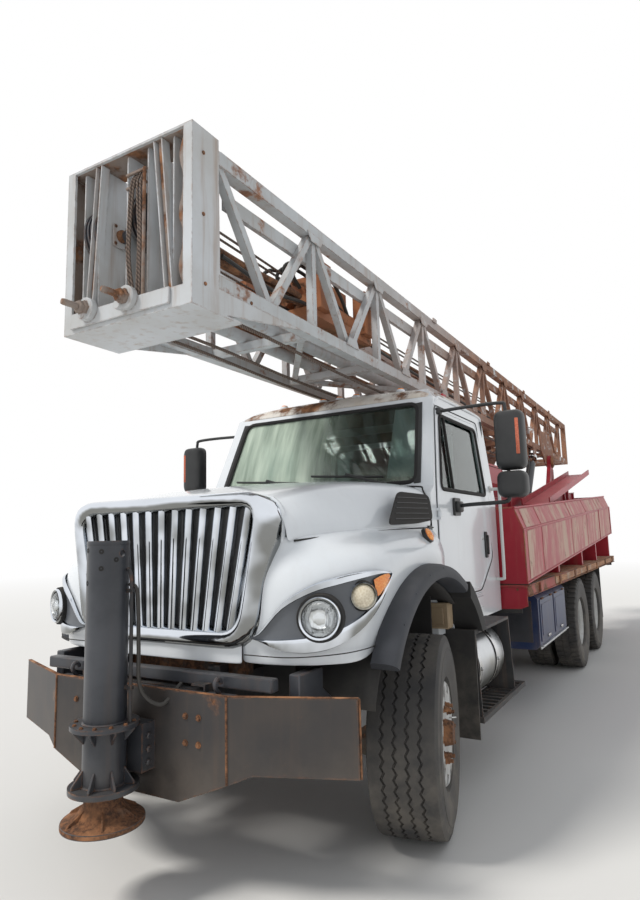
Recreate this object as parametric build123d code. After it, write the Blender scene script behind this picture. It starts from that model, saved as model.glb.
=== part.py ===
# Truck-mounted drilling rig, parked with its mast lying forward over the cab.
# Lengths are in millimetres and heights count from the ground. Stations along the
# truck count rearward from the front axle. The last step moves the whole rig so that
# the origin is below the middle of its bounding box. +X is the driver's side.

import os
from math import cos, pi, radians, sin

from build123d import *

# Half the width over deck, flares and steps, which also spaces the wheels
TRUCK_HALF = 1220.0

# Wheels
TYRE_R = 535.0
RIM_R = 286.0
FRONT_TYRE_W = 385.0
FRONT_WHEEL_X = TRUCK_HALF - 185
REAR_TYRE_W = 280.0
TWIN_SPACING = 330.0
REAR_OUTER_X = TRUCK_HALF - 135
AXLE_1_Y = 5000.0
AXLE_SPACING = 1370.0
WHEEL_RUN = 0.5
HUB_BORE = 46.0
SPINDLE_R = HUB_BORE - WHEEL_RUN
HUB_R = 95.0
RIM_WALL = 14.0
DISC_DISH = 45.0
DISC_R = 185.0
CENTRE_BORE = 80.0
HAND_HOLE_R = 215.0
REAR_DISC_X = REAR_OUTER_X - 150
HUB_FACE_X = REAR_OUTER_X - 190
STEER_AT_REST = 13.0

# Axles
AXLE_R = 70.0
DIFF_R = 200.0
PINION_NOSE = 245.0
PINION_Z = TYRE_R + 40
REAR_SPRING_X = 400.0
REAR_SPRING_Z = TYRE_R + 100
REAR_SPRING_END = 500.0
FRONT_BEAM_Z = TYRE_R - 60
FRONT_SPRING_X = (350.0, 430.0)
FRONT_SPRING_END = 700.0
YOKE_HEIGHTS = (66.0, 110.0)
YOKE_R = 58.0
DRUM_R = 190.0

# Chassis
RAIL_OUTER = 430.0
RAIL_HEIGHT = 260.0
RAIL_TOP = 960.0
RAIL_FLANGE = 85.0
RAIL_WALL = 10.0
FRAME_FRONT = -1100.0
FRAME_REAR = 7450.0
KINGPIN_X = FRONT_WHEEL_X - 135
KINGPIN_R = 25.0
KINGPIN_RUN = 0.5

# Engine, gearbox and propeller shaft
ENGINE_HALF = 320.0
ENGINE_FRONT = -560.0
ENGINE_REAR = 440.0
ENGINE_BOTTOM = 640.0
ENGINE_TOP = 1700.0
GEARBOX_HALF = 210.0
GEARBOX_REAR = 1350.0
GEARBOX_TOP = 930.0
SHAFT_Z = 740.0
SHAFT_R = 50.0
RADIATOR_HALF = 480.0
RADIATOR_FRONT = -850.0
RADIATOR_TOP = 1740.0

# Fuel tank
TANK_X = 900.0
TANK_Z = 720.0
TANK_R = 250.0
TANK_FRONT = 800.0
TANK_REAR = 1520.0
STRAP_STATIONS = (920.0, 1340.0)
STRAP_W = 60.0

# Bumper plate
BUMPER_FRONT = -1140.0
BUMPER_BEND_X = 590.0
BUMPER_END_X = TRUCK_HALF - 70
BUMPER_END_Y = -920.0
BUMPER_T = 20.0
BUMPER_TOP = 930.0
BUMPER_MID_BOTTOM = 430.0
BUMPER_END_BOTTOM = 590.0

# Jacks
JACK_Y = -1317.0
JACK_TUBE_R = 100.0
JACK_WALL = 14.0
JACK_RUN = 0.8
JACK_TOP = 1650.0
JACK_COLLAR = 800.0
JACK_FLANGE = 500.0
JACK_FOOT_R = 190.0
JACK_FOOT_Z = 350.0
JACK_LEG_TOP = 1560.0
JACK_COLLAR_R = JACK_TUBE_R + 60
JACK_BRACKET_HALF = 150.0
REAR_JACK_Y = 7330.0
REAR_JACK_TOP = 1420.0
REAR_JACK_BOTTOM = 560.0
REAR_JACK_R = 85.0
REAR_JACK_WALL = 12.0
REAR_FOOT_R = 160.0
REAR_FOOT_Z = 400.0

# Hood
HOOD_FRONT = -950.0
HOOD_REAR = 528.0
HOOD_BOTTOM = 1030.0
HOOD_FRONT_TOP = 1890.0
HOOD_REAR_TOP = 2000.0
HOOD_FRONT_HALF = 660.0
HOOD_REAR_HALF = 960.0
HOOD_WALL = 30.0
HOOD_PIN_Y = -900.0
HOOD_PIN_Z = 990.0
HOOD_PIN_R = 20.0
HOOD_PIN_RUN = 0.5
FENDER_HALF = 1120.0
FENDER_TOP = 1500.0
ARCH_Y = 100.0
ARCH_Z = 592.0
ARCH_R = 800.0
FLARE_BAND = 78.0
FLARE_OUT = TRUCK_HALF
FLARE_END = 560.0
LEG_START = 568.0
LEG_BOTTOM = 993.0
GRILLE_TOP_HALF = 585.0
GRILLE_BOTTOM_HALF = 500.0
GRILLE_TOP = 1790.0
GRILLE_BOTTOM = 1200.0
GRILLE_RIM = 75.0
GRILLE_BARS = 14
GRILLE_BAR_W = 30.0
LAMP_X = 880.0
LAMP_Z = 1265.0
LAMP_R = 95.0
LAMP_FACE = HOOD_FRONT + 22
LAMP_DEPTH = 120.0
SIDE_LAMP_X = 1030.0
SIDE_LAMP_Y = HOOD_FRONT + 134
SIDE_LAMP_Z = 1335.0
SIDE_LAMP_R = 58.0
SIDE_LAMP_TURN = 36.0

# Cab
CAB_FRONT = 540.0
CAB_REAR = 2150.0
CAB_FLOOR = 980.0
CAB_BELT = 1930.0
CAB_ROOF = 2780.0
CAB_HALF = 990.0
FLARE_IN = CAB_HALF + 40
CAB_ROOF_HALF = 905.0
CAB_WALL = 40.0
GLASS_T = 6.0
DOOR_FRONT = 660.0
DOOR_REAR = 1960.0
DOOR_BOTTOM = 1190.0
DOOR_CORNER_Y = 920.0
DOOR_CORNER_Z = 1330.0
DOOR_HEEL_Z = 1430.0
DOOR_TOP = 2610.0
DOOR_GAP = 6.0
WINDSHIELD = [(-850, 2010), (850, 2010), (790, 2625), (-790, 2625)]
REAR_WINDOW = [(-600, 2080), (600, 2080), (600, 2500), (-600, 2500)]
HINGE_Y = 650.0
HINGE_X = CAB_HALF + 20
HINGE_R = 10.0
HINGE_HEIGHTS = (1420.0, 1780.0)

# Steps below the doors
STEP_X = TRUCK_HALF - 40
STEP_FRONT = 745.0
STEP_REAR = 1600.0
STEP_PLATE = 12.0
TREAD_INNER = CAB_HALF
TREAD_OUTER = TRUCK_HALF - 5
TREAD_FRONT = 720.0
TREAD_REAR = 1880.0
TREAD_BOTTOM = 420.0
TREAD_TOP = 455.0
TREAD_SLOTS = 12
TREAD_PITCH = 90.0

# Mirrors
MIRROR_X = 1450.0
MIRROR_Y = 930.0
MIRROR_BOTTOM = 1900.0
MIRROR_TOP = 2500.0
MIRROR_HALF = 100.0
ARM_W = 30.0

# Seats, dash and steering wheel
SEAT_X = 470.0
SEAT_HALF = 240.0
SEAT_FRONT = 1350.0
SEAT_REAR = 1850.0
SEAT_BASE = 330.0
CUSHION_T = 120.0
BACK_TOP = 1150.0
DASH_FRONT = 640.0
DASH_BOTTOM = 1500.0
DASH_HALF = 880.0
WHEEL_Y = 1130.0
WHEEL_Z = 1830.0
WHEEL_R = 215.0

# Flaps
FLAP_T = 12.0
FLAP_Y = 700.0
FRONT_FLAP_BOTTOM = 320.0
REAR_FLAP_Y = 7030.0
REAR_FLAP_BOTTOM = 350.0

# Deck and side bins
DECK_FRONT = 2190.0
DECK_TOP = 1190.0
DECK_T = 60.0
DECK_BOTTOM = 1090.0
DECK_HALF = TRUCK_HALF
DECK_REAR = 7500.0
WING_REAR = 8900.0
WING_INNER = 620.0
BIN_INNER = 640.0
BIN_OUTER = DECK_HALF - 5
BIN_HEIGHT = 660.0
BIN_SHEET = 20.0
BIN_RISE = 3.3
REAR_JACK_X = DECK_HALF - 240
BOX_OUTER = DECK_HALF - 40
BOX_INNER = 640.0
BOX_FRONT = 2700.0
BOX_REAR = 4100.0
BOX_BOTTOM = 560.0
BOX_TOP = 1060.0
BEARER = 60.0
CROSS_BEARERS = (DECK_FRONT, 3100.0, 4000.0, 4700.0, 5650.0, 6700.0, DECK_REAR - 120)
BIN_SHOULDER = BIN_HEIGHT - 190
BIN_BEVEL = 70.0
BIN_RIBS = (2900.0, 4700.0, 6000.0)
BIN_FEET = (DECK_FRONT + 20, 3900.0, 5600.0, 7000.0, 8700.0)
BIN_SEAT = 4.0

# Mast rest behind the cab
REST_X = 435.0
REST_FRONT = 2300.0
REST_POST = 90.0
HORN_X = 500.0
HORN_T = 20.0

# Winch and hydraulic tank on the deck
WINCH_Y = 5100.0
WINCH_Z = 1560.0
WINCH_HALF = 300.0
WINCH_CHEEK_T = 30.0
DRUM_SHAFT_R = 40.0
DRUM_CORE_R = 130.0
DRUM_FLANGE_R = 240.0
DRUM_HALF = 255.0
OIL_TANK_HALF = 340.0
OIL_TANK_FRONT = 5750.0
OIL_TANK_REAR = 6300.0
OIL_TANK_TOP = 1900.0

# Power unit
UNIT_HALF = 560.0
UNIT_FRONT = 2700.0
UNIT_REAR = 4200.0
UNIT_BOTTOM = DECK_TOP + 60
UNIT_TOP = 2450.0
SKID_X = 420.0
LOUVRE_T = 12.0
LOUVRES = range(2850, 4000, 110)

# Mast
MAST_HALF = 475.0
CHORD = 80.0
WEB = 50.0
MAST_BOTTOM = 2940.0
MAST_TOP = 3720.0
MAST_DEPTH = MAST_TOP - MAST_BOTTOM
MAST_TAIL = 9600.0
CROWN_FRONT = -1250.0
CROWN_REAR = -1040.0
CROWN_TOP = MAST_TOP + 60
CROWN_BOTTOM = MAST_BOTTOM - 140
CROWN_T = 14.0
BAY = 1000.0
POSTS = [-30.0 + BAY * i for i in range(10)]
PIVOT_Y = 7450.0
PIVOT_Z = MAST_BOTTOM - 150
PIVOT_R = 45.0
PIVOT_RUN = 0.5
GUSSET_T = 20.0
TOWER_GAP = 5.0
TOWER_T = 60.0
TOWER_STRUT_Y = 6350.0
TOWER_RUNG_Z = 1830.0
GUIDE_X = MAST_HALF - (CHORD + WEB) / 2
GUIDE_T = 30.0
GUIDE_LOW = MAST_TOP - 250
GUIDE_HIGH = MAST_TOP - 160
HEAD_FRONT = 150.0
HEAD_LENGTH = 950.0
HEAD_RUN = 0.3
FEED_X = 130.0
FEED_R = MAST_DEPTH * 3 / 52
SHEAVE_R = 210.0
SHEAVE_Z = CROWN_TOP - 380
HEAD_PLATE = MAST_BOTTOM + MAST_DEPTH / 3
HEAD_TOP = MAST_TOP - MAST_DEPTH * 2 / 13
HEAD_AXIS = MAST_TOP - MAST_DEPTH * 5 / 13
HEAD_PLATE_HALF = 330.0
HEAD_SHOE_X = 270.0
HEAD_SHOE_L = 160.0
GEARCASE_HALF = 210.0
SPINDLE_OUT = 160.0
HEAD_MOTOR_R = MAST_DEPTH * 2 / 13
HEAD_SPINDLE_R = HEAD_MOTOR_R * 2 / 3
SHEAVE_XS = (-300.0, 60.0)
SHEAVE_OFFSET = 28.0
SHEAVE_SHAFT_R = 35.0
BOSS_XS = (-250.0, 20.0)

# Lift cylinders: eye at the deck, eye at the mast
LIFT_X = 435.0
LIFT_DECK_Y = 5300.0
LIFT_DECK_Z = 1390.0
LIFT_MAST_Y = 6550.0
LIFT_MAST_Z = MAST_BOTTOM - 140
BARREL_R = 62.0
ROD_R = 38.0
EYE_R = 58.0
EYE_T = 60.0
EYE_PIN_R = 28.0
EYE_RUN = 0.5
EYE_NECK = 150.0
LUG_T = 15.0
ROD_START = 190.0
LIFT_RUN = Vector(0, LIFT_MAST_Y - LIFT_DECK_Y, LIFT_MAST_Z - LIFT_DECK_Z)
LIFT_AXIS = LIFT_RUN.normalized()
BARREL_END = LIFT_RUN.length - EYE_NECK - 10

HUB_Z = TYRE_R
AXLES = (AXLE_1_Y, AXLE_1_Y + AXLE_SPACING)
SIDES = (("left", 1), ("right", -1))


# Shapes

def slab(x0, x1, y0, y1, z0, z1):
    """A block between two corners."""
    return Pos((x0 + x1) / 2, (y0 + y1) / 2, (z0 + z1) / 2) * Box(x1 - x0, y1 - y0, z1 - z0)


def side_prism(outline, x0, x1, radius=0):
    """An outline of (station, height) points, drawn from x0 to x1."""
    face = make_face(Polyline(*outline, close=True))
    if radius:
        face = fillet(face.vertices(), radius)
    return Pos(x0, 0, 0) * extrude(Plane.YZ * face, x1 - x0)


def front_prism(outline, y0, y1, radius=0):
    """An outline of (x, height) points, drawn from station y0 to y1."""
    face = make_face(Polyline(*outline, close=True))
    if radius:
        face = fillet(face.vertices(), radius)
    plane = Plane(origin=(0, y0, 0), x_dir=(1, 0, 0), z_dir=(0, -1, 0))
    return extrude(plane * face, -(y1 - y0))


def plan_prism(outline, z0, z1, radius=0):
    """An outline of (x, station) points, drawn from height z0 to z1."""
    face = make_face(Polyline(*outline, close=True))
    if radius:
        face = fillet(face.vertices(), radius)
    return Pos(0, 0, z0) * extrude(face, z1 - z0)


def bar(start, end, width, depth, across=(1, 0, 0)):
    """A straight rectangular bar; its width lies along the across direction."""
    a, b = Vector(*start), Vector(*end)
    plane = Plane(origin=a, x_dir=across, z_dir=b - a)
    return extrude(plane * Rectangle(width, depth), (b - a).length)


def rod(start, end, radius):
    """A round bar between two points."""
    a, b = Vector(*start), Vector(*end)
    return extrude(Plane(origin=a, z_dir=b - a) * Circle(radius), (b - a).length)


def pipe(start, end, outer, inner):
    """A round tube between two points."""
    a, b = Vector(*start), Vector(*end)
    ring = Circle(outer) - Circle(inner)
    return extrude(Plane(origin=a, z_dir=b - a) * ring, (b - a).length)


def cross_rod(x0, x1, y, z, radius):
    """A round bar along X."""
    return rod((x0, y, z), (x1, y, z), radius)


def mirrored(shape):
    """The same shape on the truck's other side."""
    return mirror(shape, Plane.YZ)


def fused(shapes):
    """All the shapes joined into one."""
    first, *rest = shapes
    return first.fuse(*rest) if rest else first


def sided(shape, side):
    return shape if side > 0 else mirrored(shape)


# Wheels

def tyre_profile(width, middle):
    """Section of a tyre: (radius, distance) with its bead on the rim."""
    half = width / 2
    return [
        (RIM_R, middle - half * 0.72),
        (RIM_R + 60, middle - half * 0.94),
        (RIM_R + 130, middle - half),
        (TYRE_R - 60, middle - half * 0.95),
        (TYRE_R - 12, middle - half * 0.84),
        (TYRE_R, middle - half * 0.76),
        (TYRE_R, middle + half * 0.76),
        (TYRE_R - 12, middle + half * 0.84),
        (TYRE_R - 60, middle + half * 0.95),
        (RIM_R + 130, middle + half),
        (RIM_R + 60, middle + half * 0.94),
        (RIM_R, middle + half * 0.72),
        (RIM_R - 2, middle + half * 0.6),
        (RIM_R - 2, middle - half * 0.6),
    ]


def rim_profile(width, middle, disc):
    """Section of a rim with its disc, as (radius, distance) points."""
    half = width / 2
    edge = RIM_R - 2
    face = disc + DISC_DISH
    return [
        (edge, middle - half * 0.6),
        (edge, middle + half * 0.6),
        (edge - RIM_WALL, middle + half * 0.6),
        (edge - 26, middle + half * 0.4),
        (edge - 26, disc),
        (DISC_R, face),
        (CENTRE_BORE, face),
        (CENTRE_BORE, face - RIM_WALL),
        (DISC_R - 5, face - RIM_WALL),
        (edge - 34, disc - RIM_WALL - 6),
        (edge - 34, middle - half * 0.4),
        (edge - RIM_WALL, middle - half * 0.6),
    ]


def inner_rim_profile(middle):
    """Section of the inner twin's rim, whose disc meets the outer one back to back."""
    half = REAR_TYRE_W / 2
    edge = RIM_R - 2
    face = REAR_DISC_X + DISC_DISH - RIM_WALL
    return [
        (edge, middle - half * 0.6),
        (edge, middle + half * 0.6),
        (edge - 26, middle + half * 0.8),
        (DISC_R, face),
        (CENTRE_BORE, face),
        (CENTRE_BORE, face - RIM_WALL),
        (DISC_R - 5, face - RIM_WALL),
        (edge - 40, middle + half * 0.7),
        (edge - 34, middle - half * 0.4),
        (edge - RIM_WALL, middle - half * 0.6),
    ]


def hub(start, length, bore_depth):
    """A hub with a closed cap and a bore for its spindle."""
    outline = [
        (HUB_BORE, start), (HUB_R, start), (HUB_R, start + length * 0.55),
        (HUB_R * 0.72, start + length * 0.7), (HUB_R * 0.62, start + length),
        (0, start + length), (0, start + bore_depth), (HUB_BORE, start + bore_depth),
    ]
    return outline


def hand_holes(count, disc, size):
    """Round holes through a wheel's disc."""
    angles = [2 * pi * i / count for i in range(count)]
    return [
        Pos(HAND_HOLE_R * cos(a), HAND_HOLE_R * sin(a), disc) * Cylinder(size, 120) for a in angles
    ]


def place_wheel(body, y, side):
    """Stand a body, turned about Z, on its axle with its outer face outward."""
    return Pos(0, y, HUB_Z) * Rot(0, 90 * side, 0) * body


def turn(outline):
    return revolve(make_face(Plane.XZ * Polyline(*outline, close=True)), Axis.Z)


def steered(body, side):
    """Turn a part of a front wheel about its kingpin, as the truck is parked."""
    return Pos(side * KINGPIN_X, 0, 0) * Rot(0, 0, STEER_AT_REST) * Pos(-side * KINGPIN_X, 0, 0) * body


def front_wheel(side):
    """Tyre and rim of a steered wheel."""
    tyre = turn(tyre_profile(FRONT_TYRE_W, FRONT_WHEEL_X))
    disc = FRONT_WHEEL_X + 40
    rim = turn(rim_profile(FRONT_TYRE_W, FRONT_WHEEL_X, disc))
    rim = rim.cut(*hand_holes(10, disc, 24))
    rim = rim.fuse(turn(hub(FRONT_WHEEL_X + 20, 170, 95)))
    return [steered(place_wheel(body, 0, side), side) for body in (tyre, rim)]


def rear_wheel(y, side):
    """Two tyres and two rims on one hub."""
    inner_x = REAR_OUTER_X - TWIN_SPACING
    tyres = [turn(tyre_profile(REAR_TYRE_W, x)) for x in (REAR_OUTER_X, inner_x)]
    outer = turn(rim_profile(REAR_TYRE_W, REAR_OUTER_X, REAR_DISC_X))
    outer = outer.cut(*hand_holes(8, REAR_DISC_X, 28))
    rim = fused([outer, turn(inner_rim_profile(inner_x)), turn(hub(HUB_FACE_X, 260, 150))])
    return Compound([place_wheel(t, y, side) for t in tyres]), place_wheel(rim, y, side)


# Chassis

def frame_rails():
    """Two channel rails joined by cross members."""
    z0 = RAIL_TOP - RAIL_HEIGHT
    channel = slab(RAIL_OUTER - RAIL_FLANGE, RAIL_OUTER, FRAME_FRONT, FRAME_REAR, z0, RAIL_TOP)
    hollow = slab(
        RAIL_OUTER - RAIL_FLANGE - 1, RAIL_OUTER - RAIL_WALL, FRAME_FRONT - 1, FRAME_REAR + 1,
        z0 + RAIL_WALL, RAIL_TOP - RAIL_WALL,
    )
    rail = channel - hollow
    inner = RAIL_OUTER - RAIL_WALL
    crosses = [
        slab(-inner, inner, y - 40, y + 40, RAIL_TOP - 130, RAIL_TOP - 30)
        for y in (FRAME_FRONT + 60, 1500, 2900, 4200, AXLES[0] + AXLE_SPACING / 2, FRAME_REAR - 60)
    ]
    ears = [hood_ear(), mirrored(hood_ear())]
    return fused([rail, mirrored(rail), *crosses, *ears])


def hood_ear():
    """Block on the left rail with the hood's hinge pin."""
    x = RAIL_OUTER - RAIL_FLANGE
    y, z = HOOD_PIN_Y, HOOD_PIN_Z
    block = slab(x, x + 40, y - 35, y + 35, RAIL_TOP, z + 25)
    return block + cross_rod(x - 50, x, y, z, HOOD_PIN_R)


def hood_arm():
    """Arm from the hood's front wall to the left hinge pin."""
    x = RAIL_OUTER - RAIL_FLANGE - 45
    y, z = HOOD_PIN_Y, HOOD_PIN_Z
    wall = HOOD_FRONT + HOOD_WALL - 8
    plate = side_prism([(wall, 1060), (wall, 1150), (y + 30, 1100), (y + 34, z), (y - 34, z)], x, x + 30)
    plate = plate + cross_rod(x, x + 30, y, z, HOOD_PIN_R + 15)
    return plate - cross_rod(x - 5, x + 35, y, z, HOOD_PIN_R + HOOD_PIN_RUN)


def front_bumper():
    """A bent plate, deeper in the middle, bolted across the rails."""
    y, t = BUMPER_FRONT, BUMPER_T
    plan = [
        (-BUMPER_END_X, BUMPER_END_Y), (-BUMPER_BEND_X, y), (BUMPER_BEND_X, y),
        (BUMPER_END_X, BUMPER_END_Y), (BUMPER_END_X, BUMPER_END_Y + t),
        (BUMPER_BEND_X, y + t), (-BUMPER_BEND_X, y + t), (-BUMPER_END_X, BUMPER_END_Y + t),
    ]
    plate = plan_prism(plan, BUMPER_MID_BOTTOM, BUMPER_TOP)
    low = BUMPER_MID_BOTTOM - 1
    for s in (1, -1):
        wedge = front_prism(
            [(s * 300, low), (s * (BUMPER_END_X + 9), low), (s * (BUMPER_END_X + 9), BUMPER_END_BOTTOM),
             (s * 700, BUMPER_END_BOTTOM)],
            y - 9, BUMPER_END_Y + 60,
        )
        plate = plate - wedge
    ties = [
        slab(s * 385 - 30, s * 385 + 30, y + t, FRAME_FRONT, RAIL_TOP - RAIL_HEIGHT, BUMPER_TOP - 20)
        for s in (1, -1)
    ]
    return fused([plate, *ties])


def front_jack():
    """The fixed tube of the front jack, with collars and its bracket."""
    inner = JACK_TUBE_R - JACK_WALL
    tube = pipe((0, JACK_Y, JACK_FLANGE), (0, JACK_Y, JACK_TOP), JACK_TUBE_R, inner)
    collars = [
        pipe((0, JACK_Y, JACK_COLLAR - 20), (0, JACK_Y, JACK_COLLAR), JACK_COLLAR_R, JACK_TUBE_R - 2),
        pipe((0, JACK_Y, JACK_FLANGE), (0, JACK_Y, JACK_FLANGE + 24), JACK_COLLAR_R + 2, JACK_TUBE_R - 2),
    ]
    back = JACK_Y + JACK_TUBE_R - 8
    half = JACK_BRACKET_HALF
    bracket = slab(-half, half, back, BUMPER_FRONT, JACK_FLANGE + 60, JACK_COLLAR - 20)
    body = fused([tube, *collars, bracket])
    holes = [cross_rod(-JACK_TUBE_R - 5, JACK_TUBE_R + 5, JACK_Y, JACK_TOP - 60, 16)]
    return body.cut(*holes)


def jack_leg(x, y, radius, foot_r, foot_z, top):
    """A round leg with a dished foot."""
    outline = [
        (0, foot_z), (foot_r, foot_z), (foot_r, foot_z + 22), (radius + 40, foot_z + 40),
        (radius, foot_z + 90), (radius, top), (0, top),
    ]
    return Pos(x, y, 0) * turn(outline)


def front_axle():
    """Axle beam and springs; the beam's ends carry the kingpins."""
    z = FRONT_BEAM_Z
    beam = slab(-KINGPIN_X + 150, KINGPIN_X - 150, -50, 50, z - 90, z + 10)
    ends, springs = [], []
    for s in (1, -1):
        x = s * KINGPIN_X
        low, high = (s * (KINGPIN_X - 270), 0, z - 40), (s * (KINGPIN_X - 110), 0, HUB_Z)
        ends.append(bar(low, high, 90, 76, (0, 1, 0)))
        ends.append(slab(*sorted((s * (KINGPIN_X - 130), x)), -45, 45, HUB_Z - 40, HUB_Z + 40))
        ends.append(rod((x, 0, HUB_Z - 60), (x, 0, HUB_Z + 60), YOKE_R + 4))
        x0, x1 = sorted(s * edge for edge in FRONT_SPRING_X)
        springs.append(slab(x0, x1, -FRONT_SPRING_END, FRONT_SPRING_END, z + 10, z + 60))
        for end in (-FRONT_SPRING_END, FRONT_SPRING_END - 80):
            springs.append(slab(x0 + 20, x1 - 20, end, end + 80, z + 60, RAIL_TOP - RAIL_HEIGHT))
    body = fused([beam, *ends, *springs])
    bore = KINGPIN_R + KINGPIN_RUN
    return body.cut(*[rod((s * KINGPIN_X, 0, 0), (s * KINGPIN_X, 0, 1100), bore) for s in (1, -1)])


def knuckle():
    """Kingpin, yoke, brake drum and spindle of the left front wheel, pointing straight ahead."""
    x = KINGPIN_X
    near, far = YOKE_HEIGHTS
    pin = rod((x, 0, HUB_Z - far), (x, 0, HUB_Z + far), KINGPIN_R)
    arms = []
    for low, high in ((HUB_Z + near, HUB_Z + far), (HUB_Z - far, HUB_Z - near)):
        arms.append(rod((x, 0, low), (x, 0, high), YOKE_R))
        arms.append(slab(x, x + 95, -50, 50, low, high))
    drum = cross_rod(x + 75, x + 130, 0, HUB_Z, DRUM_R)
    spindle = cross_rod(x + 130, FRONT_WHEEL_X + 110, 0, HUB_Z, SPINDLE_R)
    return fused([pin, *arms, drum, spindle])


def rear_axles():
    """Two driven axles with differentials, springs and hangers."""
    parts = []
    end = HUB_FACE_X + 145
    x = REAR_SPRING_X
    for y in AXLES:
        parts.append(cross_rod(-end, end, y, HUB_Z, SPINDLE_R))
        parts.append(cross_rod(-560, 560, y, HUB_Z, AXLE_R))
        banjo = [(0, -150), (110, -150), (DIFF_R, -50), (DIFF_R, 50), (110, 150), (0, 150)]
        parts.append(Pos(0, y, HUB_Z) * Rot(0, 90, 0) * turn(banjo))
        parts.append(rod((0, y - PINION_NOSE, PINION_Z), (0, y, PINION_Z), 70))
        for s in (1, -1):
            parts.append(slab(s * x - 45, s * x + 45, y - 120, y + 120, HUB_Z + 40, HUB_Z + 110))
    z = REAR_SPRING_Z
    front, rear = AXLES[0] - REAR_SPRING_END, AXLES[1] + REAR_SPRING_END
    for s in (1, -1):
        x0, x1 = s * x - 40, s * x + 40
        parts.append(slab(x0, x1, front, rear, z, z + 50))
        for y in (front, sum(AXLES) / 2 - 60, rear - 80):
            parts.append(slab(x0 + 15, x1 - 15, y, y + 100, z + 45, RAIL_TOP - RAIL_HEIGHT))
    return fused(parts)


def engine_block():
    """Engine, gearbox and propeller shaft as plain blocks, with the radiator ahead."""
    engine = slab(-ENGINE_HALF, ENGINE_HALF, ENGINE_FRONT, ENGINE_REAR, ENGINE_BOTTOM, ENGINE_TOP)
    engine = chamfer(engine.edges().filter_by(Axis.Y), 90)
    half = GEARBOX_HALF
    gearbox = slab(-half, half, ENGINE_REAR, GEARBOX_REAR, ENGINE_BOTTOM - 40, GEARBOX_TOP)
    nose = AXLES[0] - PINION_NOSE
    shaft = rod((0, GEARBOX_REAR, SHAFT_Z), (0, nose - 50, PINION_Z), SHAFT_R)
    yoke = rod((0, nose - 60, PINION_Z), (0, nose, PINION_Z), SHAFT_R + 8)
    radiator = slab(
        -RADIATOR_HALF, RADIATOR_HALF, RADIATOR_FRONT, RADIATOR_FRONT + 70, RAIL_TOP, RADIATOR_TOP)
    web = RAIL_OUTER - RAIL_WALL
    inner = ENGINE_HALF - 10
    mounts = [slab(*sorted((s * inner, s * web)), -300, -180, 780, 900) for s in (1, -1)]
    body = fused([engine, gearbox, shaft, yoke, *mounts])
    return Compound([body, radiator])


def fuel_tank():
    """A round tank on two brackets below the driver's door."""
    tank = rod((TANK_X, TANK_FRONT, TANK_Z), (TANK_X, TANK_REAR, TANK_Z), TANK_R)
    straps = [
        pipe((TANK_X, y, TANK_Z), (TANK_X, y + STRAP_W, TANK_Z), TANK_R + 7, TANK_R - 1)
        for y in STRAP_STATIONS
    ]
    feet = [
        slab(RAIL_OUTER, TANK_X - 200, y, y + STRAP_W, TANK_Z - 20, TANK_Z + 60)
        for y in STRAP_STATIONS
    ]
    return fused([tank, *straps, *feet])


def cab_steps():
    """Hangers and gratings below both doors."""
    parts = []
    slot_x = TREAD_INNER + 25, TREAD_OUTER - 25
    for s in (1, -1):
        x0, x1 = sorted((s * TREAD_INNER, s * TREAD_OUTER))
        tread = slab(x0, x1, TREAD_FRONT, TREAD_REAR, TREAD_BOTTOM, TREAD_TOP)
        starts = [TREAD_FRONT + 40 + TREAD_PITCH * i for i in range(TREAD_SLOTS)]
        tread = tread.cut(*[
            slab(*sorted(s * x for x in slot_x), y, y + 60, TREAD_BOTTOM - 10, TREAD_TOP + 5)
            for y in starts
        ])
        hangers = []
        for y in (STEP_FRONT, STEP_REAR):
            edge = [
                (RAIL_OUTER, 940), (RAIL_OUTER, 780), (TREAD_INNER + 10, TREAD_BOTTOM + 20),
                (TREAD_OUTER - 15, TREAD_BOTTOM + 20), (TREAD_OUTER - 15, TREAD_TOP + 25), (STEP_X, 975),
            ]
            hangers.append(front_prism([(s * x, z) for x, z in edge], y, y + STEP_PLATE))
        upper = slab(*sorted((s * 1000, s * STEP_X)), STEP_FRONT, STEP_REAR + STEP_PLATE, 974, 992)
        parts.append(fused([tread, *hangers, upper]))
    return Compound(parts)


# Hood

def hood_section(half, top, inset, corner=150):
    """Front view of the hood's middle at one station."""
    half, top = half - inset, top - inset
    low = HOOD_BOTTOM - 60 if inset else HOOD_BOTTOM
    outline = [(-half, low), (half, low), (half * 0.97, top), (-half * 0.97, top)]
    face = make_face(Polyline(*outline, close=True))
    corners = face.vertices().sort_by(Axis.Y)[-2:]
    return fillet(corners, corner - inset)


def hood_middle(inset):
    """The raised middle of the hood, from the grille to the cab."""
    stations = (
        (HOOD_FRONT + inset, HOOD_FRONT_HALF, HOOD_FRONT_TOP),
        (-250, HOOD_FRONT_HALF + 130, 1960),
        (HOOD_REAR + (1 if inset else 0), HOOD_REAR_HALF, HOOD_REAR_TOP),
    )
    faces = []
    for y, half, top in stations:
        plane = Plane(origin=(0, y, 0), x_dir=(1, 0, 0), z_dir=(0, -1, 0))
        faces.append(plane * hood_section(half, top, inset))
    return loft(faces, ruled=True)


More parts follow.
